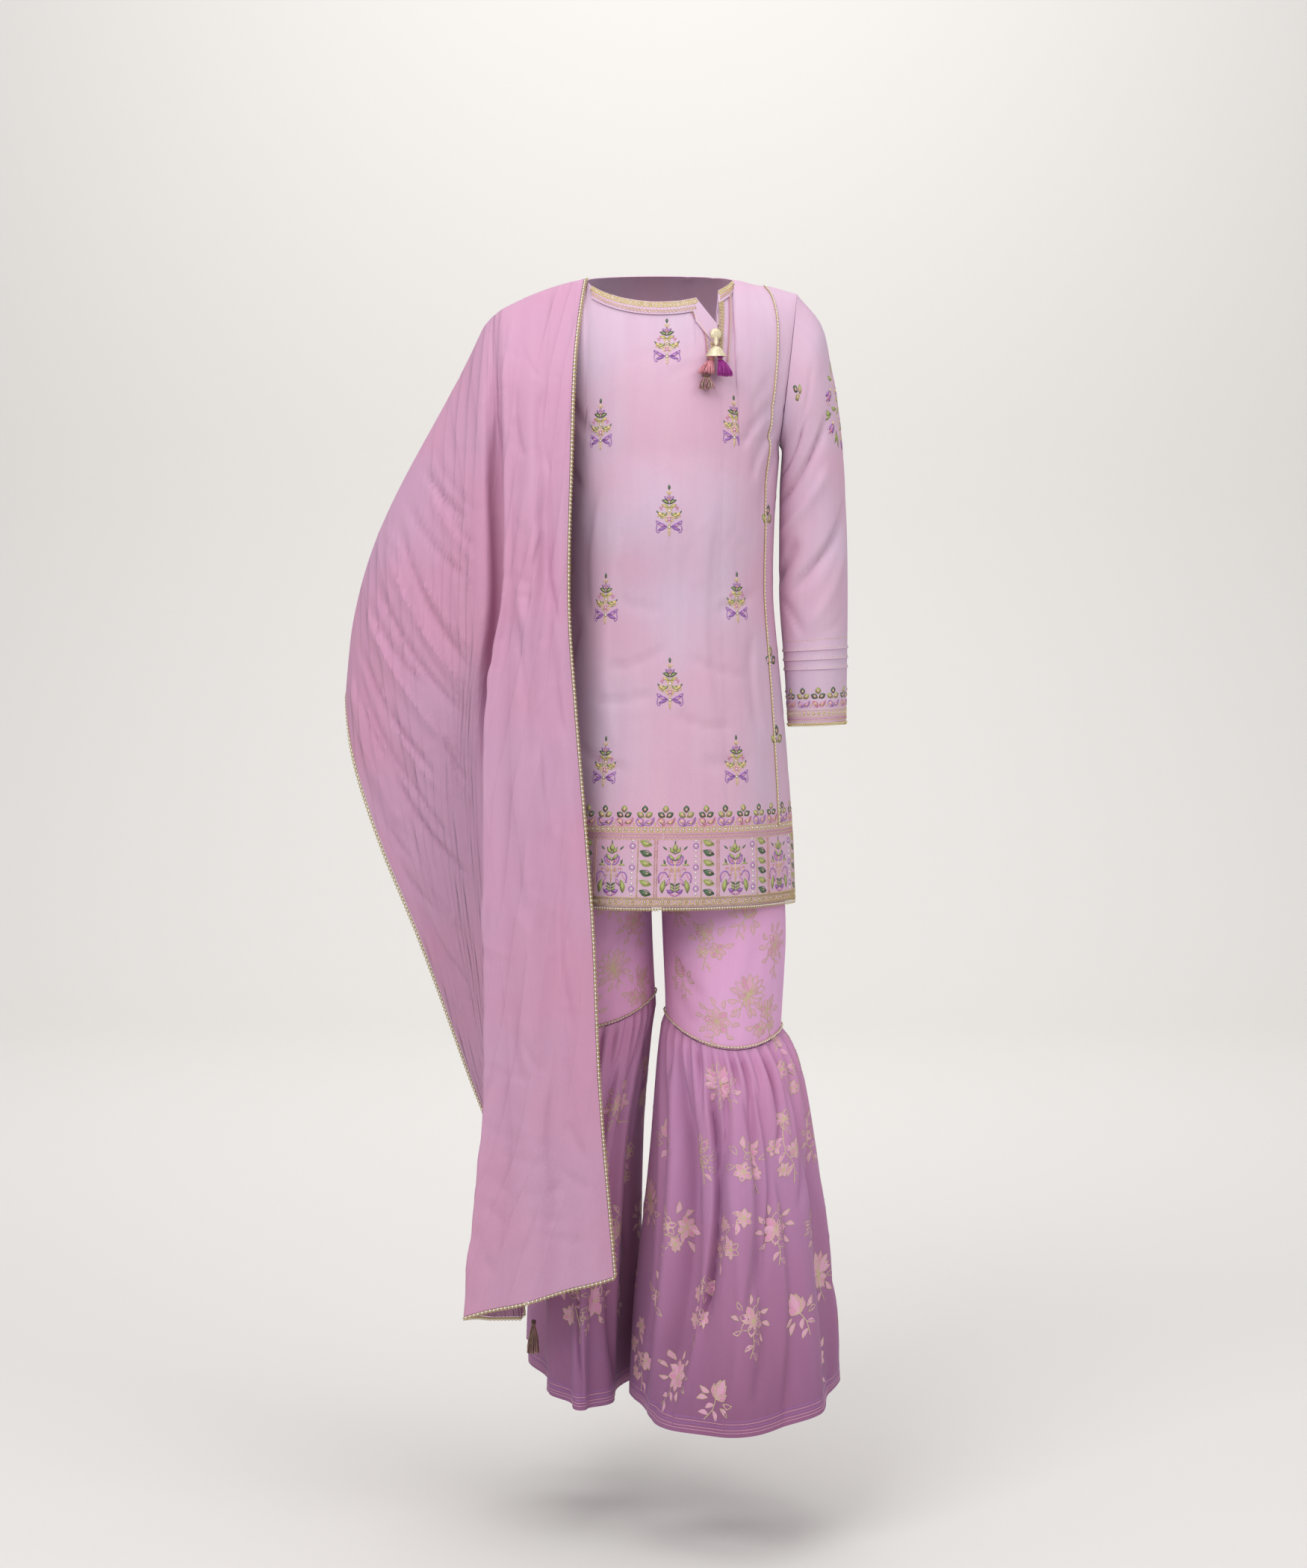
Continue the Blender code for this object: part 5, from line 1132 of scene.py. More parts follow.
SCARF_TOP, ARM_BULGE, SHOULDER_CROWN, PANEL_FOLD, BACK_FOLD, SCARF_WALL = 7, 0.031, 0.0042, 0.0055, 0.011, 0.001
WING_CREASING, BEHIND_CREASING, PANEL_CREASING = 2.0, 1.7, 1.5

# Each row: x and z at both ends, width, depth. They are seen from the front; the wing's are repeated behind.
WING_CREASES = in_mm(
    (-288, -192, -222, -286, 4, -1), (-297, -219, -234, -295, 5, -2), (-297, -221, -218, -358, 4, 1.2),
    (-321, -255, -220, -376, 4, -1.4), (-328, -277, -227, -479, 6, -2.2), (-343, -295, -299, -349, 4, 1),
    (-343, -313, -225, -510, 5, 1.8), (-361, -340, -230, -537, 5, -2), (-366, -376, -279, -501, 4, -1.5),
    (-370, -385, -236, -586, 6, 2.2), (-379, -420, -267, -609, 5, -2.2), (-352, -474, -263, -631, 4, 1.3),
    (-382, -438, -281, -645, 5, -1.8), (-382, -456, -321, -604, 4, -1.6), (-383, -474, -334, -631, 5, 1.8),
    (-379, -501, -343, -609, 4, -1.2), (-321, -564, -254, -681, 4, -1.3), (-334, -582, -227, -730, 5, -2.4),
    (-375, -551, -299, -681, 4, 1.2), (-370, -582, -299, -712, 5, -1.6), (-312, -385, -227, -528, 4, -0.9),
    (-299, -349, -222, -456, 4, 0.9), (-272, -259, -220, -331, 3, -0.9), (-263, -313, -220, -385, 3, 0.8),
    (-352, -645, -272, -770, 6, -1.6), (-316, -672, -234, -797, 5, 1.4), (-356, -681, -299, -779, 5, -1.2),
    (-299, -743, -234, -860, 7, -1.8), (-316, -761, -245, -896, 6, 1.2), (-281, -519, -227, -618, 4, -1.2),
    (-263, -564, -231, -636, 4, 1),
)
PANEL_CREASES = in_mm(
    (-177, -73, -145, -132, 3, -0.8), (-145, -132, -139, -244, 9, -2.2), (-179, -126, -168, -227, 8, -1.6),
    (-166, -244, -160, -455, 14, 2.6), (-139, -244, -124, -429, 8, -2), (-174, -385, -144, -556, 5, -1.6),
    (-144, -288, -170, -438, 9, 1.6), (-128, -438, -116, -561, 9, -1.6), (-195, -174, -202, -367, 9, -2.6),
    (-198, -367, -210, -477, 10, -2.4), (-210, -477, -221, -631, 9, -2.2), (-151, -556, -131, -675, 12, 2),
    (-170, -631, -160, -780, 12, -1.6), (-210, -719, -216, -930, 14, 1.8), (-179, -851, -168, -965, 10, -1.6),
    (-117, -666, -107, -912, 9, -2), (-223, -780, -205, -824, 5, -1), (-223, -789, -179, -807, 4, 0.8),
    (-170, -903, -144, -947, 5, -1.2), (-139, -939, -133, -1123, 12, 1.8), (-198, -939, -223, -1053, 9, -1.4),
    (-223, -1000, -170, -1031, 4, -1), (-205, -1035, -139, -1053, 4, -1.2), (-214, -1062, -170, -1097, 4, -1.1),
    (-223, -1088, -179, -1132, 5, -1.3), (-179, -1088, -117, -1079, 5, -1.2), (-170, -1110, -109, -1123, 5, -1),
    (-157, -1132, -91, -1148, 4, -1.2), (-223, -1123, -205, -1193, 9, -2), (-188, -1158, -170, -1123, 6, 1.2),
    (-131, -1053, -82, -1088, 6, -1), (-117, -1000, -91, -1053, 7, -1.2), (-236, -1132, -223, -1229, 8, 1.6),
    (-179, -1176, -153, -1088, 6, -0.8), (-231, -930, -153, -952, 5, -0.8), (-170, -719, -117, -763, 5, 0.8),
)

# %% Scarf shell


def scarf_row(u, across):
    """One row of the scarf at places across it, from 0 on the inner edge to 3 on the outer one."""
    keys = list(range(len(SCARF_GUIDES)))
    line = np.array([[curve_value(keys, SCARF_GUIDES[:, guide, k], u) for k in range(3)] for guide in range(5)])
    row = np.stack([np.interp(across, [0, 1, 1.5, 2, 3], line[:, k]) for k in range(3)], 1)
    on_panel, on_wing = across <= 1, across > 2
    front_share = float(ease((SCARF_TOP - 0.6 - u) / 2.0))
    over = 1 - float(ease(abs(u - SCARF_TOP) / 1.3))
    bell = np.sin(np.pi * np.clip(across, 0, 1))
    row[:, 2] += SHOULDER_CROWN * bell * over
    row[:, 1] -= np.where(on_panel, 0.01 * bell * front_share
                          + PANEL_FOLD * front_share * np.sin(np.radians(720 * across + 40)), 0)
    share = np.clip(across - 2, 0, 1)
    bulge = ARM_BULGE * np.sin(np.pi * share ** 1.45) * (1 - float(ease(abs(u - SCARF_TOP) / 3.6))) * on_wing
    row += bulge[:, None] * np.array([-0.93, 0, 0.37])
    row[:, 1] += BACK_FOLD * float(ease((u - SCARF_TOP - 1.2) / 3.0)) * np.sin(np.radians(360 * 1.5 * across))
    return row


scarf_across = np.concatenate([np.linspace(3, 2, 64)[:-1], np.linspace(2, 1, 21)[:-1], np.linspace(1, 0, 42)])
scarf_up = np.concatenate([np.linspace(0, 6, 240)[:-1], np.linspace(6, 8, 50)[:-1], np.linspace(8, 12, 80)])
net = np.array([scarf_row(u, scarf_across) for u in scarf_up])
corner = ease(1 - scarf_up / 0.4)[:, None] * ease(1 - (3 - scarf_across) / 0.35)[None, :]
net[..., 0] -= 0.013 * corner
net[..., 2] += 0.004 * corner
for _ in range(5):
    net[:, 1:-1] = net[:, 1:-1] * 0.5 + (net[:, :-2] + net[:, 2:]) * 0.25
scarf = Cloth(net)
wide, tall = np.meshgrid(scarf_across, scarf_up)
wing_side, panel_side = ease((wide - 1.9) / 0.2), 1 - ease((wide - 1.1) / 0.5)
edge_calm = ease((3 - wide) / 0.1) * ease(wide / 0.1) * ease(tall / 0.12) * ease((12 - tall) / 0.12)
p = scarf.points
shifted = [(x0 + 0.012, z0 - 0.035, x1 + 0.014, z1 - 0.03, width * 1.1, depth * 1.1)
           for x0, z0, x1, z1, width, depth in WING_CREASES]
push = np.zeros(tall.shape)
for strength, table, share in (
        (WING_CREASING, WING_CREASES, wing_side * ease(SCARF_TOP + 0.6 - tall)),
        (BEHIND_CREASING, shifted, wing_side * ease(tall - SCARF_TOP - 0.2)),
        (PANEL_CREASING, PANEL_CREASES, panel_side * ease(SCARF_TOP - 0.2 - tall))):
    push += strength * flat_creases(p[..., 0], p[..., 2], table) * share
behind = ease((tall - SCARF_TOP - 0.5) / 1.5)
for across, wave, tone in ((0.35, 0.09, 0.003), (0.62, 0.06, -0.0034), (0.9, 0.07, 0.0026), (1.4, 0.1, -0.003)):
    swing = across + 0.1 * np.sin(tall * 0.9 + across * 5)
    push += tone * np.exp(-((wide - swing) / wave) ** 2) * behind
push -= 0.011 * np.exp(-((wide - 1.62) / 0.2) ** 2) * ease((tall - 1.2) / 0.8) * ease((5.6 - tall) / 0.9)
push += crumple(scarf, 420, 0.024, 0.0009, 41)
low_front = ease((1.6 - tall) / 1.2)
push += crumple(scarf, 900, 0.018, 0.0015, 42) * low_front * panel_side
scarf.push(push * edge_calm)
cloth_piece("scarf_cloth_sheet", scarf, scarf_cloth, SCARF_WALL, ("scarf",))
print("scarf grid", scarf.points.shape)

# %% [markdown]
# ## Thread work
# Embroidery stands up from the cloth by about half a millimetre. A motif is a list of leaves, lines and dots in
# millimetres, x to the right and y up. It is mapped to the cloth by lengths along the grid's rows and columns,
# so that it bends with the folds. All the shapes on one cloth are joined into one mesh with a slot per thread.

# %% Motifs

Shape = namedtuple("Shape", "kind colour points width")


class Motif(list):
    """Shapes in millimetres. With both=True a shape is repeated on the other side of the y axis."""

    def keep(self, kind, colour, points, width, both):
        points = np.asarray(points, float)
        self.append(Shape(kind, colour, points, width))
        if both:
            self.append(Shape(kind, colour, points * [-1, 1], width))

    def leaf(self, x0, y0, x1, y1, width, colour, bend=0.0, both=False, sides=5, rise=0.5):
        t = np.linspace(0, 1, sides + 1)[:, None]
        run = np.array([x1 - x0, y1 - y0])
        side = np.array([-run[1], run[0]])
        middle = np.array([x0, y0]) + run * t + side * bend * np.sin(np.pi * t)
        half = side / np.linalg.norm(run) * width / 2 * np.sin(np.pi * t) ** 0.85
        self.keep("lens", colour, np.concatenate([middle - half, (middle + half)[-2:0:-1]]), rise, both)

    def dot(self, x, y, radius, colour, both=False, sides=8, rise=0.6):
        turn = np.linspace(0, 2 * np.pi, sides, endpoint=False)
        self.keep("lens", colour, np.stack([x + radius * np.cos(turn), y + radius * np.sin(turn)], 1), rise, both)

    def line(self, points, width, colour, both=False, smooth=2):
        points = np.asarray(points, float)
        if smooth and len(points) > 2:
            points = finer(points, smooth, 0)
        self.keep("line", colour, points, width, both)

    def arc(self, x, y, radius, start, end, width, colour, both=False, tall=1.0):
        turn = np.radians(np.linspace(start, end, max(4, int(abs(end - start) / 32) + 1)))
        path = np.stack([x + radius * np.cos(turn), y + tall * radius * np.sin(turn)], 1)
        self.keep("line", colour, path, width, both)


def sprig():
    """The tall flower sprig that is scattered on the tunic."""
    made = Motif()
    made.leaf(0, 27.5, 0, 34, 3.2, "dark_green")
    for x in (-3.4, 0, 3.4):
        made.line([(0, 22.5), (x * 0.7, 25), (x, 27.5 - abs(x) * 0.4)], 1.3, "gold", smooth=0)
    for x in (-1, 0, 1):
        made.leaf(0, 15.5, x * 5.4, 23.4 - abs(x) * 2.6, 3.6, "purple")
        made.leaf(0, 15.5, x * 3.2, 20.2 - abs(x) * 1.4, 1.7, "peach", rise=1.2)
    made.line([(0, 22), (1.6, 19.8), (0, 17.4), (-1.6, 19.8), (0, 22)], 0.7, "gold", smooth=0)
    made.leaf(0, 11.5, 8.6, 16.4, 4.4, "dark_green", 0.12, True)
    made.leaf(0.4, 12.2, 7.4, 15.8, 2.0, "lime", 0.12, True, rise=1.1)
    made.leaf(0, 6.8, 9.0, 11.2, 3.8, "gold", 0.1, True)
    made.leaf(0, 7.5, 5.8, 11.0, 2.2, "lime", 0.1, True, rise=1.2)
    for x, y in ((7.6, 8.6), (10.0, 8.0), (8.8, 6.2)):
        made.line([(x - 0.9, y - 0.9), (x + 0.9, y + 0.9)], 0.8, "pink", True, 0)
        made.line([(x - 0.9, y + 0.9), (x + 0.9, y - 0.9)], 0.8, "pink", True, 0)
    made.arc(0, 4.4, 2.9, 0, 360, 1.3, "gold")
    made.dot(0, 4.4, 1.7, "sequin")
    made.leaf(1.5, 0.2, 8.0, 3.0, 3.2, "lime", -0.22, True)
    made.line([(2.2, 3.0), (4.2, 0.6), (8.0, 1.6)], 1.1, "dark_green", True)
    made.leaf(6.5, -0.6, 13.0, 3.4, 4.2, "gold", -0.14, True)
    made.leaf(11.2, 1.8, 14.2, 5.0, 1.8, "dark_green", -0.1, True)
    for x, y in ((9.0, -3.0), (12.0, -1.6), (6.6, -1.4)):
        made.dot(x, y, 1.2, "lime" if x < 10 else "gold", True, 6)
    for x0, y0, x1, y1, width in ((3.4, -0.8, 10.6, -1.6, 2.6), (2.8, -2.6, 8.6, -4.6, 2.2),
                                  (2.4, -8.4, 5.2, -5.4, 1.6), (1.6, 17.4, 4.8, 20.0, 1.4),
                                  (0.8, 5.8, 4.6, 7.6, 1.6)):
        made.leaf(x0, y0, x1, y1, width, "gold", 0.1, True)
    made.line([(0, 0.4), (4.0, -4.8), (0, -10.5), (-4.0, -4.8), (0, 0.4)], 1.3, "gold", smooth=0)
    for turn in (45, 135, 225, 315):
        c, s = polar(turn)
        made.leaf(0, -4.8, 3.4 * c, -4.8 + 3.8 * s, 2.2, "pink")
    made.dot(0, -4.8, 1.3, "sequin")
    wing = [(1.0, -13.6), (6.0, -11.0), (14.6, -6.4), (13.4, -10.6), (14.6, -16.8), (12.0, -20.4), (9.4, -15.6),
            (5.0, -14.6), (1.0, -13.6)]
    made.line(wing, 1.3, "purple", True, 2)
    made.leaf(2.6, -13.4, 13.4, -9.4, 4.0, "purple", 0.0, True)
    made.leaf(2.6, -13.6, 13.2, -17.4, 3.6, "purple", 0.0, True)
    made.leaf(5.0, -13.2, 12.2, -10.6, 1.8, "print_pink", 0.0, True, rise=1.2)
    made.dot(0, -13.6, 1.9, "sequin")
    made.arc(0, -13.6, 2.3, 0, 360, 0.8, "gold")
    made.line([(0, -15.6), (0, -24)], 1.2, "gold", smooth=0)
    for y in (-18, -21):
        made.line([(0, y - 1.2), (2.0, y + 0.6)], 0.9, "gold", True, 0)
    return made


def crown(top, pair):
    """Three small leaves over a pair of curls."""
    made = Motif()
    for colour, x0, y0, x1, y1, width in ((top, 0, 5.2, 0, 14.5, 7.6), (pair, 0.6, 0.6, 9.4, 5.4, 7.2),
                                          (pair, -0.6, 0.6, -9.4, 5.4, 7.2)):
        made.leaf(x0, y0, x1, y1, width, colour)
        mid = np.array([x0 * 0.62 + x1 * 0.38, y0 * 0.62 + y1 * 0.38])
        run = np.array([x1 - x0, y1 - y0]) * 0.25
        made.leaf(*(mid - run * 0.9), *(mid + run * 1.4), width * 0.56, "peach", rise=1.1)
        made.leaf(*(mid - run * 0.3), *(mid + run * 0.7), width * 0.22, "gold", rise=1.5)
    made.dot(0, 0.4, 1.0, "gold", sides=6)
    return made


def curls(edge, fill):
    """Two paisley curls with gold seeds."""
    made = Motif()
    made.leaf(-2.0, -4.4, -8.6, 4.4, 6.6, fill, -0.16)
    made.line([(-2.0, -4.8), (-7.4, -4.0), (-9.8, 0.6), (-7.6, 4.8), (-3.6, 3.8), (-2.4, 0.2), (-2.0, -4.8)], 1.3, edge)
    made.leaf(0.2, -1.2, 10.8, 4.8, 5.6, fill, -0.16)
    made.line([(-1.2, -4.4), (2.0, 1.0), (7.0, 2.0), (11.4, 5.6), (10.6, 0.0), (6.4, -4.2), (1.4, -3.4), (-1.2, -4.4)],
              1.3, edge)
    for x, y in ((-6.2, 0.6), (5.6, -0.8)):
        made.dot(x, y, 1.7, "gold", sides=7, rise=0.9)
    for x, y in ((-12.0, -1.2), (12.6, -3.6)):
        made.dot(x, y, 1.2, "gold", sides=6, rise=0.9)
    return made


def vase():
    """The flower spray in each panel of the hem border."""
    made = Motif()
    made.leaf(0, 27.5, 0, 33, 1.8, "dark_green")
    made.leaf(0, 19.0, 0, 29, 6.4, "lime")
    made.leaf(0.2, 17.2, 6.4, 25.0, 4.0, "lime", -0.1, True)
    made.line([(0, 16.8), (3.4, 19.0), (6.6, 24.6)], 1.2, "dark_green", True, 0)
    for y in (21.0, 23.5, 26.0):
        made.dot(0, y, 0.7, "peach", sides=6, rise=0.9)
    made.leaf(0.2, 9.0, 7.6, 16.6, 4.4, "lime", -0.06, True)
    made.line([(0, 8.6), (4.0, 10.8), (7.8, 16.0)], 1.2, "dark_green", True, 0)
    made.leaf(9.8, 21.4, 15.0, 26.0, 2.3, "dark_green", 0, True)
    made.line([(5.0, 19.0), (9.8, 21.4)], 0.6, "gold", True, 0)
    made.line([(0.8, 4.4), (5.0, 4.0), (8.8, 8.6), (9.2, 14.0), (6.8, 12.4), (3.0, 8.6)], 1.9, "purple", True)
    made.leaf(2.2, 5.6, 7.0, 10.6, 3.0, "pink", 0, True)
    made.leaf(9.0, 3.4, 17.4, 3.0, 2.6, "lime", 0.1, True)
    made.leaf(12.4, 3.6, 13.8, 10.6, 2.6, "dark_green", 0.08, True)
    made.line([(2, -2.0), (7.0, 2.6), (9.6, 2.8)], 0.8, "gold", True)
    made.line([(0, 8.0), (0, -18.6)], 1.4, "gold", smooth=0)
    for y in (-3, -8, -12):
        made.line([(-1.6, y - 1.0), (1.6, y + 1.0)], 0.8, "gold", smooth=0)
        made.line([(-1.6, y + 1.0), (1.6, y - 1.0)], 0.8, "peach", smooth=0)
    for x, y, size in ((4.6, -2.6, 2.2), (11.0, -1.6, 1.9), (6.6, -8.6, 1.8)):
        for turn in range(0, 360, 72):
            c, s = polar(turn + 20)
            colour = "peach" if x < 8 else "pink"
            made.leaf(x, y, x + size * 1.5 * c, y + size * 1.5 * s, size * 0.8, colour, 0, True, 3)
        made.dot(x, y, 0.9, "gold", True, 6, 0.9)
    made.dot(10.6, -3.4, 1.3, "sequin", True, 7, 0.9)
    made.line([(7.4, -11.0), (11.4, -5.4), (17.0, -5.6), (19.6, -11.0), (18.6, -17.6)], 1.8, "purple", True)
    made.line([(13.8, -6.6), (15.8, -11.6), (19.0, -15.0)], 0.9, "pink", True)
    made.leaf(6.4, -12.8, 9.8, -20.8, 3.6, "print_pink", 0, True)
    made.line([(5.6, -12.4), (9.2, -15.4), (10.6, -21.4)], 1.2, "purple", True)
    made.leaf(12.0, -13.4, 15.2, -30.2, 6.6, "lime", 0.06, True)
    made.line([(12.4, -15.0), (13.6, -22.0), (15.2, -29.6)], 0.8, "dark_green", True)
    for y in (-19.6, -22.8, -26.0):
        made.leaf(0, y - 1.0, 6.0, y + 2.2, 2.4, "lime" if y < -20 else "dark_green", 0, True, 4)
        made.line([(0, y - 2.2), (5.8, y + 0.9)], 0.8, "dark_green", True, 0)
    made.leaf(0.6, -28.0, 10.0, -25.4, 4.6, "purple", -0.14, True)
    made.leaf(2.4, -27.6, 7.8, -26.2, 1.9, "pink", -0.1, True)
    made.leaf(0.4, -33.0, 6.4, -29.6, 2.0, "pink", 0, True)
    made.line([(0.4, -33.4), (4.6, -31.8), (8.6, -28.6)], 1.0, "purple", True)
    return made


def spray():
    """The big spray on the sleeve's outer side, with two purple blooms and leaves."""
    made = Motif()
    made.line([(6, 68), (2, 52), (8, 34), (0, 18), (4, 0), (12, -20)], 1.2, "gold")
    for x, y, turn in ((-8, 48, 200), (10, 40, -20), (-12, 8, 215), (13, 2, -15), (8, -18, -60)):
        for reach, swing, colour in ((14, -0.5, "purple"), (16, 0, "pink"), (14, 0.5, "purple"), (9, 0.25, "peach")):
            c, s = polar(turn + math.degrees(swing))
            made.leaf(x, y, x + reach * c, y + reach * s, 6.0, colour, 0.12)
            tip = reach * 0.95
            made.line([(x + 2 * c, y + 2 * s), (x + tip * c, y + tip * s)], 0.9, "purple", smooth=0)
        made.dot(x, y, 2.4, "gold", sides=8, rise=0.9)
        made.dot(x, y, 1.4, "sequin", sides=7, rise=1.1)
    for x0, y0, x1, y1 in ((4, 60, 14, 74), (2, 56, -8, 66), (6, 30, 18, 26), (1, 20, -12, 28),
                           (2, 14, 16, 18), (-8, -6, -4, -26), (-6, -4, -13, -18), (8, -8, 20, -4),
                           (-16, 20, -24, 32), (-14, 22, -26, 20)):
        made.leaf(x0, y0, x1, y1, 5.4, "lime", 0.08)
        made.line([(x0, y0), ((x0 + x1) / 2, (y0 + y1) / 2), (x1, y1)], 1.0, "dark_green", smooth=0)
    for x, y in ((-16, 34), (-20, 38), (-12, 38), (18, 50), (16, 12), (-18, -4)):
        made.dot(x, y, 1.6, "peach", sides=6)
    return made


SPRIG, VASE, SLEEVE_SPRAY = sprig(), vase(), spray()
CROWNS = (crown("dark_green", "lime"), crown("lime", "dark_green"))
CURLS = (curls("purple", "print_pink"), curls("pink", "peach"))
print("sprig shapes:", len(SPRIG), "vase shapes:", len(VASE))

# %% Sewing shapes on a cloth


class Stitches:
    """Raised shapes that are gathered for one object and made into one mesh at the end."""

    def __init__(self, cloth=None):
        self.cloth, self.verts, self.faces, self.colours, self.count = cloth, [], [], [], 0

    def put(self, points, faces, colour):
        self.verts.append(points)
        self.faces += [tuple(i + self.count for i in face) for face in faces]
        self.colours += [colour] * len(faces)
        self.count += len(points)

    def lens(self, points, normals, colour, rise=0.5):
        """A domed patch: an outline of points with their outward directions."""
        n = len(points)
        middle, out = points.mean(0), unit(normals.mean(0))
        if np.cross(points - middle, np.roll(points, -1, 0) - middle).sum(0) @ out < 0:
            points, normals = points[::-1], normals[::-1]
        rim = points + normals * 0.08 * MM
        verts = np.concatenate([rim, [middle + out * rise * MM, middle - out * 0.2 * MM]])
        faces = [(i, (i + 1) % n, n) for i in range(n)] + [((i + 1) % n, i, n + 1) for i in range(n)]
        self.put(verts, faces, colour)

    def ribbon(self, points, normals, width, colour, rise=0.4, lift=0.0, closed=False):
        """A cord of three sides along a path. The width is in millimetres, and so are rise and lift."""
        along = np.roll(points, -1, 0) - np.roll(points, 1, 0) if closed else np.gradient(points, axis=0)
        side = unit(np.cross(normals, along)) * width * MM / 2
        base = points + normals * (lift - 0.03) * MM
        n = len(points)
        verts = np.concatenate([base - side, base + side, base + normals * (rise + 0.03) * MM])
        faces = []
        for i in range(n if closed else n - 1):
            j = (i + 1) % n
            faces += [(i, j, 2 * n + j, 2 * n + i), (2 * n + i, 2 * n + j, n + j, n + i), (n + i, n + j, j, i)]
        if not closed:
            faces += [(n, 0, 2 * n), (n - 1, 2 * n - 1, 3 * n - 1)]
        self.put(verts, faces, colour)

    def sew(self, motif, column, row, scale=1.0, turn=0.0, flip=1, recolour=None):
        """A motif round a place on the cloth's grid."""
        c, s = polar(turn)
        to_grid = self.cloth.around(column, row)
        for shape in motif:
            x, y = shape.points[:, 0] * flip * scale * MM, shape.points[:, 1] * scale * MM
            points, normals = self.cloth.frame_at(*to_grid(x * c - y * s, x * s + y * c))
            colour = (recolour or {}).get(shape.colour, shape.colour)
            if shape.kind == "lens":
                self.lens(points, normals, colour, shape.width)
            else:
                self.ribbon(points, normals, shape.width * scale, colour)

    def finish(self, name, rides_on_slot=None, replaces=()):
        mesh = bpy.data.meshes.new(name)
        mesh.from_pydata(np.concatenate(self.verts).tolist(), [], self.faces)
        used = [colour for colour in THREAD_ORDER if colour in set(self.colours)]
        for colour in used:
            mesh.materials.append(THREADS[colour])
        mesh.polygons.foreach_set("material_index", [used.index(colour) for colour in self.colours])
        mesh.polygons.foreach_set("use_smooth", [True] * len(mesh.polygons))
        mesh.update()
        obj = bpy.data.objects.new(name, mesh)
        bpy.context.collection.objects.link(obj)
        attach(obj, "root")
        if replaces:
            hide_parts(*replaces)
        mesh.calc_loop_triangles()
        print(name, "triangles", len(mesh.loop_triangles))
        return obj


def frame_at(cloth, column, row):
    """Points of the cloth and its outward directions at grid places."""
    low = cloth.at(column, row)
    return low, unit(cloth.at(column, row, 0.001) - low)


def around(cloth, column, row):
    """A function that turns metres to the right and up of a grid place into grid places."""
    p = cloth.points
    height, width = p.shape[:2]
    near_row, near_column = int(np.clip(round(row), 0, height - 1)), int(round(column)) % width
    if cloth.closed:
        steps = np.arange(-(width // 2) + 1, width // 2)
        places = near_column + steps
        ring = p[near_row][np.mod(places, width)]
    else:
        places = np.arange(width)
        ring = p[near_row]
    across = lengths_along(ring)
    across = across - np.interp(near_column + column - round(column), places, across)
    line = p[:, near_column]
    up = lengths_along(line)
    up = up - np.interp(row, np.arange(height), up)
    return lambda x, y: (np.interp(x, across, places), np.interp(y, up, np.arange(height)))


def row_path(cloth, row, step=1.0):
    """A path along one row of the grid, with its outward directions."""
    columns = np.arange(0, cloth.points.shape[1], step)
    return frame_at(cloth, columns, np.full(len(columns), float(row)))


Cloth.frame_at, Cloth.around, Cloth.row_path = frame_at, around, row_path


def even_path(points, normals, step, closed=False):
    """The same path with points at even distances, its outward directions, and its side directions."""
    if closed:
        points, normals = np.concatenate([points, points[:1]]), np.concatenate([normals, normals[:1]])
    run = lengths_along(points)
    count = max(2, int(round(run[-1] / step)))
    at = np.linspace(0, run[-1], count + 1)[:-1 if closed else None]
    even = np.stack([np.interp(at, run, points[:, k]) for k in range(3)], 1)
    out = unit(np.stack([np.interp(at, run, normals[:, k]) for k in range(3)], 1))
    along = unit(np.roll(even, -1, 0) - np.roll(even, 1, 0)) if closed else unit(np.gradient(even, axis=0))
    return even, out, unit(np.cross(out, along))


def zigzag(stitches, points, normals, pitch, reach, width, colour, closed=False, lift=0.0, rise=0.5):
    even, out, side = even_path(points, normals, pitch / 2, closed)
    swing = np.where(np.arange(len(even)) % 2, 1, -1)[:, None] * reach
    stitches.ribbon(even + side * swing, out, width, colour, rise, lift, closed and len(even) % 2 == 0)


def circles(path, sides, radius, lift, start=0, jump=1):
    """Small circles on a path of even points, each with its outward directions."""
    turn = np.linspace(0, 2 * np.pi, sides, endpoint=False)[:, None]
    for point, normal, across in list(zip(*path))[start::jump]:
        reach = np.cos(turn) * across + np.sin(turn) * np.cross(across, normal)
        yield point + normal * lift + reach * radius, np.repeat(normal[None], sides, 0)


def studs(stitches, points, normals, pitch, radius, colour, closed=False, lift=0.0, rise=0.9, start=0, jump=1):
    """Round beads or sequins in a row."""
    for ring, out in circles(even_path(points, normals, pitch, closed), 7, radius, lift, start, jump):
        stitches.lens(ring, out, colour, rise)


def rings(stitches, points, normals, pitch, radius, width, colour, closed=False, lift=0.0, start=0, jump=1):
    """Loops of cord in a row."""
    for ring, out in circles(even_path(points, normals, pitch, closed), 8, radius, lift, start, jump):
        stitches.ribbon(ring, out, width, colour, closed=True)


# %% [markdown]
# ## The worked hem
# Twelve flower panels stand between columns of leaves and sequins. Gold rings and double zigzags frame them, and
# crowns over paisley curls sit above.

# %% Hem embroidery
SKIRT_TOP_Z, SKIRT_ROWS = -0.6, 44
skirt = skirt_cloth(np.linspace(HEM_Z, SKIRT_TOP_Z, SKIRT_ROWS))
hem_work = Stitches(skirt)
COLUMN_MM = HEM_LENGTH * 1000 / HEM_COLUMNS


def skirt_row(z):
    return (z - HEM_Z) / (SKIRT_TOP_Z - HEM_Z) * (SKIRT_ROWS - 1)


def skirt_path(z):
    """A level line all round the skirt."""
    return skirt.row_path(skirt_row(z))


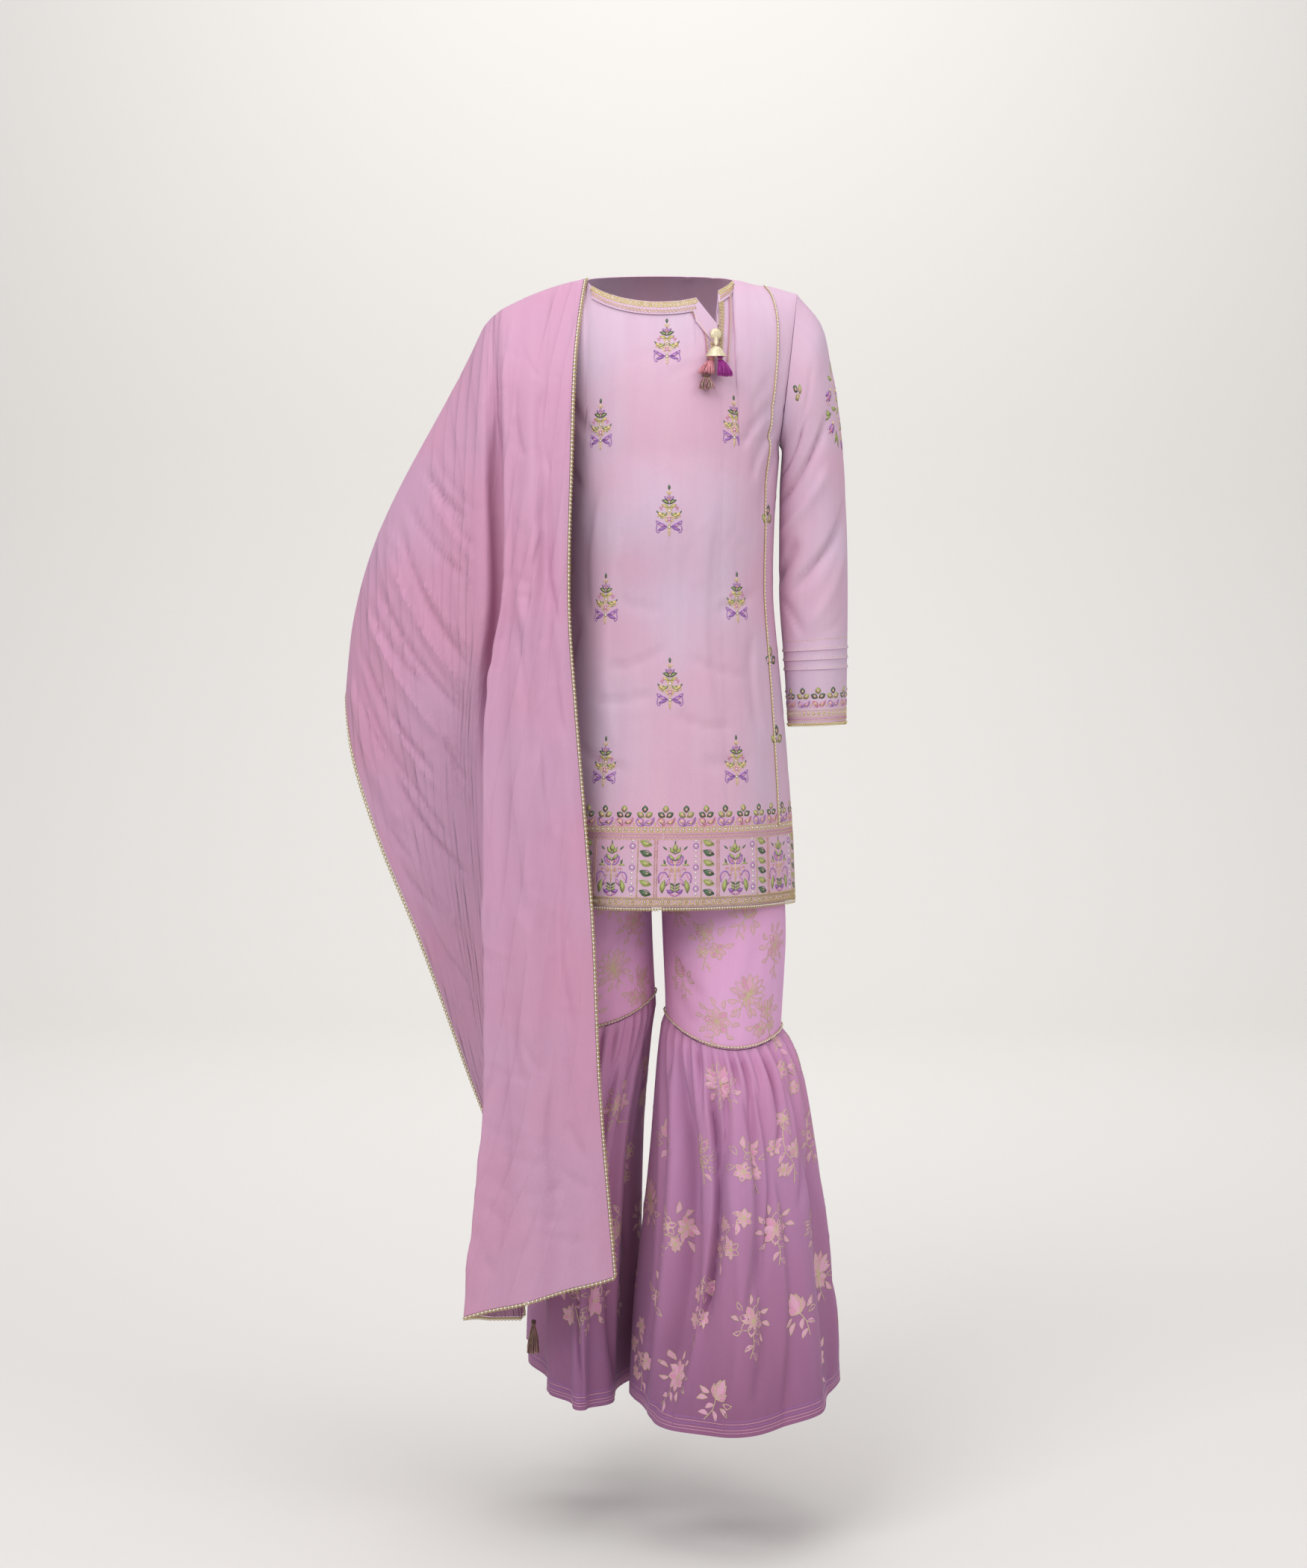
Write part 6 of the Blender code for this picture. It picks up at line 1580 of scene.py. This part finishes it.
def skirt_upright(mm, z0, z1, count=24):
    """An upright line at a distance from the centre front."""
    columns = np.full(count, mm / COLUMN_MM)
    return skirt.frame_at(columns, skirt_row(np.linspace(z0, z1, count)))


PANELS, UNITS = 12, 36
PANEL_MM = HEM_LENGTH * 1000 / PANELS
VASE_MM = 14.0
LEAF = Motif()
LEAF.leaf(6.0, -1.6, -7.4, 3.0, 6.6, "lime", 0.1)
LEAF.leaf(4.0, -1.2, -2.4, 1.4, 3.2, "peach", 0.08)
LEAF.line([(6.4, -1.8), (2.0, 3.4), (-3.6, 3.8), (-7.6, 3.2)], 1.2, "lime")
LEAF.line([(6.4, -1.8), (0.6, -3.6), (-4.6, -1.0), (-7.6, 3.2)], 1.2, "lime")
LEAF.dot(1.0, 0.0, 1.0, "gold", sides=6, rise=0.9)
for panel in range(PANELS):
    middle = VASE_MM + panel * PANEL_MM
    hem_work.sew(VASE, middle / COLUMN_MM, skirt_row(-0.7055))
    upright = skirt_upright(middle + 25.0, -0.7365, -0.673)
    studs(hem_work, *upright, 6.3 * MM, 1.7 * MM, "sequin", rise=0.8)
    rings(hem_work, *upright, 6.3 * MM, 3.2 * MM, 1.2, "purple", start=1, jump=4)
    for side_mm, colours in ((31.6, ("gold", "foil")), (51.4, ("gold", "pink")), (54.2, ("pink", "gold"))):
        upright = skirt_upright(middle + side_mm, -0.7395, -0.672, 40)
        zigzag(hem_work, *upright, 4.0 * MM, 0.8 * MM, 0.9, colours[0])
        zigzag(hem_work, *upright, 5.2 * MM, -0.6 * MM, 0.6, colours[1], rise=0.7)
    for k in range(6):
        tones = None if k % 2 else {"lime": "dark_green"}
        hem_work.sew(LEAF, (middle + 41.6) / COLUMN_MM, skirt_row(-0.735 + k * 0.0117), recolour=tones)
for k in range(UNITS):
    middle = VASE_MM + (k + 0.5) * HEM_LENGTH * 1000 / UNITS
    hem_work.sew(CURLS[k % 2], middle / COLUMN_MM, skirt_row(-0.651))
    hem_work.sew(CROWNS[k % 2], middle / COLUMN_MM, skirt_row(-0.6455))
TOP_RINGS_Z, FOOT_RINGS_Z = -0.66, -0.7455
rings(hem_work, *skirt_path(TOP_RINGS_Z), 7.58 * MM, 2.7 * MM, 1.3, "gold", True)
studs(hem_work, *skirt_path(TOP_RINGS_Z), 7.58 * MM, 1.6 * MM, "sequin", True, 0.0002)
for z, width in ((-0.657, 0.7), (-0.6633, 0.8)):
    hem_work.ribbon(*skirt_path(z), width, "gold", 0.6, 0.0, True)
for z, colour, pitch in ((-0.6655, "pink", 3.8), (-0.6672, "gold", 3.8), (-0.6694, "pink", 4.6),
                         (-0.6712, "gold", 5.4)):
    zigzag(hem_work, *skirt_path(z), pitch * MM, 0.8 * MM, 0.8, colour, True)
rings(hem_work, *skirt_path(FOOT_RINGS_Z), 7.0 * MM, 2.5 * MM, 1.3, "gold", True, 0.0004)
studs(hem_work, *skirt_path(FOOT_RINGS_Z), 7.0 * MM, 1.4 * MM, "sequin", True, 0.0004, jump=3)
studs(hem_work, *skirt_path(FOOT_RINGS_Z), 7.0 * MM, 1.2 * MM, "foil", True, 0.0004, start=1, jump=3)
for z, colour, pitch in ((-0.7404, "gold", 3.4), (-0.742, "foil", 3.0), (-0.7492, "gold", 3.0),
                         (-0.7508, "foil", 3.6)):
    zigzag(hem_work, *skirt_path(z), pitch * MM, 0.8 * MM, 1.1, colour, True, 0.0003, 0.8)
hem_work.finish("hem_embroidery")

# %% [markdown]
# ## Sprigs on the tunic
# The sprigs stand in a staggered lattice. Those in front are where the photograph shows them, and the pattern
# runs on round the back.

# %% Finding places on the front


def place_on(cloth, x, z, facing=-1):
    """The grid place whose x and z these are, on the side that faces the front (-1) or the back (1)."""
    p = cloth.points
    miss = (p[..., 0] - x) ** 2 + (p[..., 2] - z) ** 2 + (cloth.normals[..., 1] * facing < 0.05)
    row, column = (float(k) for k in np.unravel_index(np.argmin(miss), miss.shape))
    for _ in range(4):
        here, east, west, north, south = cloth.at(
            column + np.array([0, 0.5, -0.5, 0, 0]), row + np.array([0, 0, 0, 0.5, -0.5]))
        right, above = east - west, north - south
        slopes = np.array([[right[0], above[0]], [right[2], above[2]]])
        if abs(np.linalg.det(slopes)) < 1e-12:
            break
        step = np.clip(np.linalg.solve(slopes, [x - here[0], z - here[2]]), -1.5, 1.5)
        column, row = column + step[0], row + step[1]
    return column, row


# %% Tunic embroidery
FRONT_SPRIGS = [(-0.0005, -0.087), (-0.0795, -0.185), (0.0795, -0.181), (0.002, -0.288), (-0.0735, -0.392),
                (0.082, -0.39), (0.003, -0.492), (-0.074, -0.585), (0.082, -0.584)]
tunic_work = Stitches(front)
for x, z in FRONT_SPRIGS:
    tunic_work.sew(SPRIG, *place_on(front, x, z), 1.06)
back_work = Stitches(back)
for k, z in enumerate((-0.13, -0.232, -0.335, -0.437, -0.54)):
    for x in ((-0.078, 0.078) if k % 2 == 0 else (0.0,)):
        back_work.sew(SPRIG, *place_on(back, x, z, 1))
back_work.finish("back_embroidery")

# %% [markdown]
# ## Neck band
# A worked band follows the neckline and runs down both sides of the slit. It is a second layer of cloth under
# a gold chain with sequins and two rows of zigzag.

# %% Neck band and its work
top_row = front.points.shape[0] - 1
columns_at = {angle: column for column, angle in enumerate(FRONT_ANGLES)}
BAND_ROWS, BAND_RISE = 8, 0.002
first, last = (int(np.argmin(np.abs(np.array(FRONT_ANGLES) - angle))) for angle in (-42, 37))
band_place = (slice(top_row - BAND_ROWS, None), slice(first, last + 1))
band = Cloth(front.points[band_place] + front.normals[band_place] * BAND_RISE)
cloth_piece("neck_band", band, kurta_cloth, 0.0008, ("neck_border",))


def drop_path(start, end, drop):
    """A path on the front at a distance below its neckline."""
    columns, searched = np.arange(start, end + 0.01), np.linspace(top_row, top_row - 22, 30)
    rows = [np.interp(drop, lengths_along(front.at(np.full(30, column), searched)), searched) for column in columns]
    points, normals = front.frame_at(columns, np.array(rows))
    return points + normals * BAND_RISE, normals


def front_line(places, count=30):
    """A path on the front through x and z places."""
    line = finer(np.array(places, float), max(1, count // len(places)), 0)
    found = np.array([place_on(front, x, z) for x, z in line])
    points, normals = front.frame_at(found[:, 0], found[:, 1])
    return points + normals * 0.0012, normals


neck_work = Stitches(front)
slit_tip, slit_end = columns_at[SLIT_TIP_ANGLE], columns_at[SLIT_END_ANGLE]
for start, end in ((first, slit_tip - 1), (slit_end + 1, last)):
    for drop, colour, pitch, reach, width in ((1.2, "pale_gold", 3.0, 0.8, 1.2), (2.3, "gold", 3.4, 0.7, 1.1),
                                              (8.0, "gold", 3.2, 0.8, 1.2), (12.2, "peach", 4.2, 1.0, 1.0),
                                              (13.8, "gold", 4.2, 1.2, 1.2), (15.6, "peach", 4.8, 0.9, 0.9)):
        zigzag(neck_work, *drop_path(start, end, drop * MM), pitch * MM, reach * MM, width, colour)
    rings(neck_work, *drop_path(start, end, 5.1 * MM), 5.4 * MM, 2.2 * MM, 1.5, "gold")
    studs(neck_work, *drop_path(start, end, 5.1 * MM), 5.4 * MM, 1.3 * MM, "sequin")
SLIT_LINES = {
    "gold": [[(0.034, -0.036), (0.044, -0.05), (0.0545, -0.066), (0.0565, -0.1)],
             [(0.0625, -0.02), (0.0625, -0.05), (0.0615, -0.066), (0.06, -0.1)]],
    "foil": [[(0.031, -0.038), (0.042, -0.053), (0.0515, -0.069), (0.0535, -0.102)],
             [(0.0655, -0.018), (0.0655, -0.05), (0.0645, -0.068), (0.063, -0.102)]],
    "pink": [[(0.0255, -0.042), (0.035, -0.058), (0.044, -0.074), (0.0465, -0.106)],
             [(0.0735, -0.016), (0.0735, -0.05), (0.0725, -0.074), (0.0705, -0.106)]],
}
for colour, lines in SLIT_LINES.items():
    for line in lines:
        points, normals = front_line(line)
        zigzag(neck_work, points, normals, 3.4 * MM, 0.8 * MM, 1.1, colour, lift=0.3)
        if colour == "foil":
            rings(neck_work, points, normals, 5.0 * MM, 1.7 * MM, 1.3, "gold", lift=0.3 * MM)
        if colour == "pink":
            zigzag(neck_work, points + np.array([0.0016, 0, 0]), normals, 4.0 * MM, 0.7 * MM, 0.7, "gold", lift=0.3)
neck_work.finish("neck_embroidery")

# Small sprigs stand on the side panels, just beyond the laces.
for side in (1, -1):
    for z, kind in ((-0.295, 0), (-0.465, 1), (-0.56, 0)):
        row = place_on(front, 0.09, z)[1]
        tunic_work.sew(CROWNS[kind], columns_at[side * LACE_ANGLE] + side * 3.0, row, 1.5)
tunic_work.finish("tunic_embroidery")

# %% [markdown]
# ## Sleeve work
# The cuff repeats the crowns, curls and gold rings at a smaller size. A spray of blooms sits high on the outside.

# %% Sleeve embroidery
CROWN_WIDTH = 0.0225
for word, cloth in sleeves.items():
    side = 1 if word == "left" else -1
    work = Stitches(cloth)

    def row_at(along):
        return np.interp(-along, -cloth.stations, np.arange(len(cloth.stations)))

    def column_at(turn):
        return (-side * turn / 360 * SLEEVE_COLUMNS) % SLEEVE_COLUMNS

    def round_path(along):
        return cloth.row_path(row_at(along))

    # The girth at the cuff sets how many crowns fit round.
    cuff_points = round_path(0.5)[0]
    cuff_girth = np.linalg.norm(np.roll(cuff_points, -1, 0) - cuff_points, axis=1).sum()
    units = 2 * int(round(cuff_girth / CROWN_WIDTH / 2))
    for k in range(units):
        column = k * SLEEVE_COLUMNS / units
        work.sew(CURLS[k % 2], column, row_at(0.5095), 0.78)
        work.sew(CROWNS[k % 2], column, row_at(0.5025), 0.95)
    for along, colour, pitch in ((0.5168, "gold", 3.4), (0.5245, "gold", 3.4), (0.527, "pink", 3.6),
                                 (0.529, "gold", 4.0)):
        zigzag(work, *round_path(along), pitch * MM, 0.7 * MM, 0.8, colour, True)
    rings(work, *round_path(0.5208), 6.2 * MM, 1.9 * MM, 1.1, "gold", True)
    studs(work, *round_path(0.5208), 6.2 * MM, 1.2 * MM, "sequin", True)
    for above in (*TUCKS_ABOVE_CUFF, 0.1):
        points, normals = round_path(SLEEVE_LENGTH - above - 0.0022)
        even, out, across = even_path(points, normals, 2.6 * MM, True)
        for k in range(0, len(even) - 1, 2):
            stitch = np.array([even[k], (even[k] + even[k + 1]) / 2, even[k + 1]])
            work.ribbon(stitch, out[[k, k, k + 1]], 0.7, "gold", 0.35)
    work.sew(SLEEVE_SPRAY, column_at(30), row_at(0.17), 0.98, flip=side)
    work.sew(CROWNS[0], column_at(100), row_at(0.045), 1.0)
    work.finish(f"sleeve_{word}_embroidery")

# %% [markdown]
# ## Print on the trousers
# The trousers and flares are scattered with gold-outlined printed sprays in dusty pink. Five sprays of one's own
# design are laid in a staggered lattice with some jitter, each turned a little. A print has no height of its own,
# so its shapes lie almost flat on the cloth.

# %% Printed sprays


def petals(motif, x, y, reach, count, width, start=0, spread=360, outline=True):
    """A fan or ring of petals, each with a foil outline."""
    for k in range(count):
        c, s = polar(start + spread * k / (count if spread == 360 else count - 1))
        x1, y1, half = x + reach * c, y + reach * s, width / 2
        motif.leaf(x, y, x1, y1, width, "print_rose" if k % 3 == 1 else "print_pink")
        if outline:
            heart, middle_x, middle_y = (x + c, y + s), (x + x1) / 2, (y + y1) / 2
            motif.line([heart, (middle_x - s * half, middle_y + c * half), (x1, y1),
                        (middle_x + s * half, middle_y - c * half), heart], 0.75, "foil")


def stalk(motif, points, leaves, size=9.0):
    """A stem with outlined leaves on alternating sides."""
    motif.line(points, 0.9, "foil")
    path = finer(np.array(points, float), 4, 0)
    for k in range(leaves):
        i = int((k + 1) / (leaves + 1) * (len(path) - 1))
        run = unit((path[min(i + 1, len(path) - 1)] - path[i - 1])[None])[0]
        swing = 0.9 if k % 2 else -0.9
        c, s = math.cos(swing), math.sin(swing)
        tip = path[i] + size * np.array([run[0] * c - run[1] * s, run[0] * s + run[1] * c])
        motif.leaf(*path[i], *tip, size * 0.42, "print_pink", 0.12 if k % 2 else -0.12)
        bow = np.array([-run[1], run[0]]) * size * (0.12 if k % 2 else -0.12)
        motif.line([path[i], (path[i] + tip) / 2 + bow, tip], 0.7, "foil")


def outlined_leaf(motif, x0, y0, x1, y1, width, colour="print_pink", bend=0.12):
    motif.leaf(x0, y0, x1, y1, width, colour, bend)
    run = np.array([x1 - x0, y1 - y0])
    side = np.array([-run[1], run[0]]) / np.linalg.norm(run)
    for sign in (-1, 1):
        swell = run * 0.5 + side * (bend * np.linalg.norm(run) + sign * width * 0.5)
        motif.line([(x0, y0), (x0 + swell[0], y0 + swell[1]), (x1, y1)], 0.7, "foil")


def bloom(motif, x, y, size, count=7, start=0):
    """An open flower with two rings of petals and a foil heart."""
    petals(motif, x, y, size, count, size * 0.62, start)
    petals(motif, x, y, size * 0.55, count, size * 0.3, start + 180 / count, outline=False)
    motif.dot(x, y, size * 0.18, "foil", sides=8, rise=0.15)


def wreath(motif, x, y, reach, length, turns, colour="print_pink"):
    """Leaves that stand out from a ring."""
    for k, turn in enumerate(turns):
        c, s = polar(turn)
        tip = reach + length
        outlined_leaf(motif, x + reach * c, y + reach * s, x + tip * c - 3 * s, y + tip * s + 3 * c,
                      length * 0.46, colour, 0.12 if k % 2 else -0.12)


def printed_sprays():
    fan, twin, daisy, branch, bud = (Motif() for _ in range(5))
    petals(fan, 0, 0, 21, 7, 7.6, 12, 156)
    petals(fan, 0, 0, 12, 5, 4.4, 30, 120, False)
    petals(fan, 0, -2, 12, 5, 6.0, 208, 124)
    fan.dot(0, 0, 3.0, "foil", sides=8, rise=0.15)
    wreath(fan, 0, -4, 11, 11, (188, 222, 318, 352))
    stalk(fan, [(0, -2), (2, -14), (-1, -27)], 2, 10)
    bloom(twin, -8, 11, 11, 7)
    bloom(twin, 10, 1, 9.5, 6, 15)
    bloom(twin, -4, -9, 7, 6, 30)
    wreath(twin, 0, 4, 15, 11, (20, 62, 100, 148, 196))
    stalk(twin, [(-6, 8), (0, -8), (3, -27)], 4, 11)
    bloom(daisy, 0, 4, 15, 8, 10)
    daisy.arc(0, 4, 4.4, 0, 360, 0.8, "print_rose")
    wreath(daisy, 0, 4, 15.5, 9, range(-40, 221, 37))
    stalk(daisy, [(0, -9), (-2, -18), (1, -30)], 3, 11)
    stalk(branch, [(13, 30), (4, 16), (-3, 0), (0, -16), (-7, -32)], 8, 12)
    for x, y, size in ((12, 26, 9.0), (-11, 11, 8.5), (10, -6, 9.5), (-11, -14, 7.0)):
        bloom(branch, x, y, size, 6, 12 * size)
    bud.leaf(0, -4, 0, 18, 11.0, "print_pink")
    bud.line([(0, -4), (-5.6, 6), (0, 18), (5.6, 6), (0, -4)], 0.9, "foil")
    for x, top in ((4.5, 15), (9.0, 8)):
        outlined_leaf(bud, x * 0.2, -3, x, top, 5.0, "print_rose", -0.1)
        outlined_leaf(bud, -x * 0.2, -3, -x, top, 5.0, "print_rose", 0.1)
    wreath(bud, 0, -4, 9, 11, (10, 170, 205, 335))
    stalk(bud, [(0, -4), (2, -14), (-1, -27)], 3, 11)
    return fan, twin, daisy, branch, bud


SPRAYS = printed_sprays()


class Print(Stitches):
    """Flat patches and strips that lie a fraction of a millimetre above the cloth."""

    def lens(self, points, normals, colour, rise=0.0):
        n = len(points)
        middle, out = points.mean(0), unit(normals.mean(0))
        if np.cross(points - middle, np.roll(points, -1, 0) - middle).sum(0) @ out < 0:
            points, normals = points[::-1], normals[::-1]
        verts = np.concatenate([points + normals * 0.14 * MM, [middle + out * 0.3 * MM]])
        self.put(verts, [(i, (i + 1) % n, n) for i in range(n)], colour)

    def ribbon(self, points, normals, width, colour, rise=0.0, lift=0.3, closed=False):
        side = unit(np.cross(normals, np.gradient(points, axis=0))) * width * MM / 2
        base, n = points + normals * lift * MM, len(points)
        faces = [(i, i + 1, n + i + 1, n + i) for i in range(n - 1)]
        self.put(np.concatenate([base - side, base + side]), faces, colour)


def scatter(work, columns_mm, rows_mm, order, scale, keep):
    """Sprays in a staggered lattice over a cloth's grid."""
    cloth = work.cloth
    height, width = cloth.points.shape[:2]
    long = arc_lengths(cloth.points, 0)[-1] * 1000
    ring = cloth.points[height // 3]
    ring = np.concatenate([ring, ring[:1]]) if cloth.closed else ring
    round_mm = np.linalg.norm(np.diff(ring, axis=0), axis=1).sum() * 1000
    rows, across = max(1, int(round(long / rows_mm))), max(1, int(round(round_mm / columns_mm)))
    for r in range(rows):
        for a in range(across):
            column = (a + 0.5 * (r % 2) + 0.25 + rng.uniform(-0.1, 0.1)) / across * width
            row = (r + 0.5 + rng.uniform(-0.1, 0.1)) / rows * height
            turn, kind = rng.uniform(-35, 35), order[(a * 2 + r * 3) % len(order)]
            if keep(column, row):
                work.sew(SPRAYS[kind], column, row, scale, turn, 1 if (a + r) % 2 else -1)


# %% Print on legs and flares
for word, cloth in flares.items():
    work = Print(cloth)
    scatter(work, columns_mm=90, rows_mm=84, order=[3, 0, 2, 1, 4], scale=1.28, keep=lambda column, row: 7 < row < 61)
    work.finish(f"flare_{word}_print")
for word, cloth in leg_cloths.items():
    work = Print(cloth)
    scatter(work, columns_mm=86, rows_mm=84, order=[1, 0, 2, 4], scale=1.15,
            keep=lambda column, row: 3 < column < 29 and 3 < row < 39)
    work.finish(f"leg_{word}_print")

# %% Stitched rows round the flares' hems
for word, cloth in flares.items():
    work = Stitches(cloth)
    up = arc_lengths(cloth.points, 0)
    for height_mm, colour in ((5.0, "print_pink"), (8.5, "print_pink"), (12.0, "purple"), (15.5, "print_pink"),
                              (19.0, "purple")):
        row = np.interp(height_mm * MM, up, np.arange(len(up)))
        work.ribbon(*cloth.row_path(row, 2), 0.8, colour, 0.3, 0.0, True)
    work.finish(f"flare_{word}_hem_rows")

# %% [markdown]
# ## Laces
# Every lace is a narrow braid with sequins or beads along it. Hem, cuffs and scarf also have gold picot loops on
# the free edge. They follow the edges of the finer cloths, so they replace the plain laces of the solids.

# %% Lace maker


def lace(name, points, normals, replaces, width, pitch, closed=False, away=1, picots=True, start=0.6, bead="sequin",
         bead_radius=1.35):
    """A braid beside an edge. away is 1 where the free side is to the left of the path and -1 to the right."""
    work = Stitches()
    even, out, side = even_path(points, normals, pitch * MM / 2, closed)
    side = side * away
    middle = even + side * (start + width * 0.42) * MM
    work.ribbon(middle, out, width * 0.84, "gold", 0.75, -0.1, closed)
    back = middle - out * 0.12 * MM
    work.ribbon(back, -out, width * 0.84, "gold", 0.6, 0.0, closed)
    swing = np.where(np.arange(len(even)) % 2, 1, -1)[:, None] * width * 0.3 * MM
    work.ribbon(middle + side * swing + out * 0.35 * MM, out, 0.9, "pale_gold", 0.7, 0.0)
    if picots:
        edge = even + side * (start + width * 0.86) * MM
        loops, loop_out = [], []
        for i in range(0, len(edge) - 2, 2):
            peak = edge[i + 1] + side[i + 1] * 1.7 * MM
            near, far = (peak * 0.72 + (edge[k] + edge[k + 1]) * 0.14 for k in (i, i + 1))
            loops += [edge[i], near, peak, far]
            loop_out += [out[i], out[i + 1], out[i + 1], out[i + 1]]
        work.ribbon(np.array(loops), np.array(loop_out), 0.75, "gold", 0.5)
    for ring, facing in circles((middle[:-1], out[:-1], side[:-1]), 6, bead_radius * MM, 0.85 * MM, 1, 2):
        work.lens(ring, facing, bead, 0.8)
    work.finish(name, "gold_lace", replaces)


# %% Hem, cuff, knee and panel laces
lace("hem_picot_lace", *hem.row_path(0), ("hem_lace_front", "hem_lace_back"), closed=True, away=-1, width=2.6,
     pitch=3.4)
for word, cloth in sleeves.items():
    lace(f"cuff_{word}_picot_lace", *cloth.row_path(0), (f"cuff_lace_{word}",), closed=True, away=-1, width=2.4,
         pitch=3.2, bead="gold")
for word in LEGS:
    # Both panels hold the columns of the two seams, so the first column of each is left out.
    paths = [leg_cloths[f"{part}_{word}"].row_path(0.35) for part in ("front", "back")]
    seam, out = (np.concatenate([path[k][1:] for path in paths]) for k in (0, 1))
    lace(f"knee_{word}_lace", seam + out * 1.3 * MM, out, (f"knee_lace_{word}",), closed=True, away=-1, width=2.8,
         pitch=4.0, picots=False, start=-1.6)
for side, word in ((1, "left"), (-1, "right")):
    column = columns_at[side * LACE_ANGLE]
    points, normals = front.frame_at(np.full(220, float(column)), np.linspace(0.5, top_row - 0.6, 220))
    lace(f"panel_{word}_lace", points + normals * 1.2 * MM, normals, (f"panel_lace_{word}",), width=2.6, pitch=4.2,
         picots=False, start=-1.1, bead_radius=1.3)

# %% Scarf lace
rows, columns = scarf.points.shape[:2]
border_rows = np.concatenate([
    np.zeros(columns), np.arange(1, rows), np.full(columns - 1, rows - 1.0), np.arange(rows - 2, 0, -1)])
border_columns = np.concatenate([
    np.arange(columns), np.full(rows - 1, columns - 1.0), np.arange(columns - 2, -1, -1), np.zeros(rows - 2)])
edge, out = scarf.frame_at(border_columns, border_rows)
lace("scarf_sequin_lace", edge - out * 0.4 * MM, out, ("scarf_lace",), closed=True, away=-1, width=3.0, pitch=5.0,
     bead_radius=1.7)

# %% [markdown]
# ## Tassels
# Each tassel is a bundle of fine threads that hang from a bound head and spread a little. The chest has a pink
# and a purple one with a tier of brown and pale threads below, under a gold bell. One more hangs at the scarf's corner.

# %% Tassel maker
TasselPlan = namedtuple("TasselPlan", "node threads length slot colours")
TASSELS = [
    TasselPlan("tassel_pink", 150, 0.024, "pink_thread", ("pink_silk",)),
    TasselPlan("tassel_purple", 150, 0.027, "purple_thread", ("purple_silk",)),
    TasselPlan("tassel_brown", 110, 0.018, "brown_thread", ("brown", "foil", "pink")),
    TasselPlan("tassel_corner", 120, 0.042, "brown_thread", ("brown", "foil", "pink")),
]


def tassel(plan):
    """Strands inside the box of the solid tassel, with its head bound by a few turns of thread."""
    solid = bpy.data.objects[plan.node]
    corners = np.array([list(solid.matrix_world @ Vector(c)) for c in solid.bound_box])
    verts = np.array([list(solid.matrix_world @ v.co) for v in solid.data.vertices])
    low, high = corners.min(0), corners.max(0)
    head = verts[verts[:, 2] > high[2] - 0.002].mean(0)
    foot = verts[verts[:, 2] < low[2] + (high[2] - low[2]) * 0.15].mean(0)
    half = (high - low) / 2
    dice = np.random.default_rng(len(plan.node) * 7)
    neck_z = high[2] - 0.0065 if plan.length > 0.02 else high[2] - 0.002
    work = Stitches()
    for k in range(plan.threads):
        turn, out = dice.uniform(0, 2 * np.pi), math.sqrt(dice.uniform(0.02, 1))
        reach = np.array([math.cos(turn) * half[0] * 0.92 * out, math.sin(turn) * half[1] * 0.92 * out, 0])
        end = np.array([foot[0], foot[1], low[2] + dice.uniform(0, 0.0025)]) + reach
        end[:2] = np.clip(end[:2], low[:2] + 0.0004, high[:2] - 0.0004)
        top = np.array([head[0], head[1], neck_z]) + reach * 0.22
        t = np.linspace(0, 1, 6)[:, None]
        swing = np.array([math.sin(turn * 3), math.cos(turn * 5), 0]) * 0.0006
        path = top * (1 - t) + end * t
        path[:, :2] = top[:2] + (end[:2] - top[:2]) * np.sin(t * np.pi / 2) ** 0.9
        path += swing * np.sin(t * 9 + k)
        facing = unit(np.array([[math.cos(turn), math.sin(turn), 0.05]]))
        work.ribbon(path, np.repeat(facing, 6, 0), 0.62, plan.colours[k % len(plan.colours)], 0.45, 0.1)
    radius = half[0] * 0.34 if plan.length > 0.02 else half[0] * 0.5
    flat = min(1.0, half[1] / half[0] + 0.1)
    for k in range(9):
        z = high[2] - 0.0004 - (high[2] - neck_z) * k / 8
        swell = radius * (0.55 + 0.45 * math.sin(math.pi * min(1, (k + 1.5) / 8)))
        ring = np.radians(np.arange(0, 360, 20))
        loop = np.stack([head[0] + swell * np.cos(ring), head[1] + swell * flat * np.sin(ring), np.full(18, z)], 1)
        out = np.stack([np.cos(ring), np.sin(ring), np.zeros(18)], 1)
        work.ribbon(loop, out, 1.1, plan.colours[0] if k < 7 else "gold", 0.5, closed=True)
    cap = np.radians(np.arange(0, 360, 30))
    for z, facing in ((high[2] - 0.0003, 1), (neck_z + 0.0006, -1)):
        reach = radius * 0.8
        rim = np.stack([head[0] + reach * np.cos(cap), head[1] + reach * flat * np.sin(cap), np.full(12, z)], 1)
        work.lens(rim, np.repeat([[0, 0, float(facing)]], 12, 0), plan.colours[0], 0.2)
    work.finish(f"{plan.node}_threads", plan.slot, (plan.node,))


for plan in TASSELS:
    tassel(plan)

# %% The pendant's solids get a metal finish
for node in ("pendant_button", "pendant_bell", "pendant_bead"):
    obj = bpy.data.objects[node]
    obj.data.materials.clear()
    obj.data.materials.append(THREADS["bead"])

# %% [markdown]
# ## Cloth sizes
# A sheet row holds a panel with the size that its visible cloth was cut to, before it was gathered, folded or hung.

# %% Sheets
Sheet = namedtuple("Sheet", "piece width length area held rests_on")
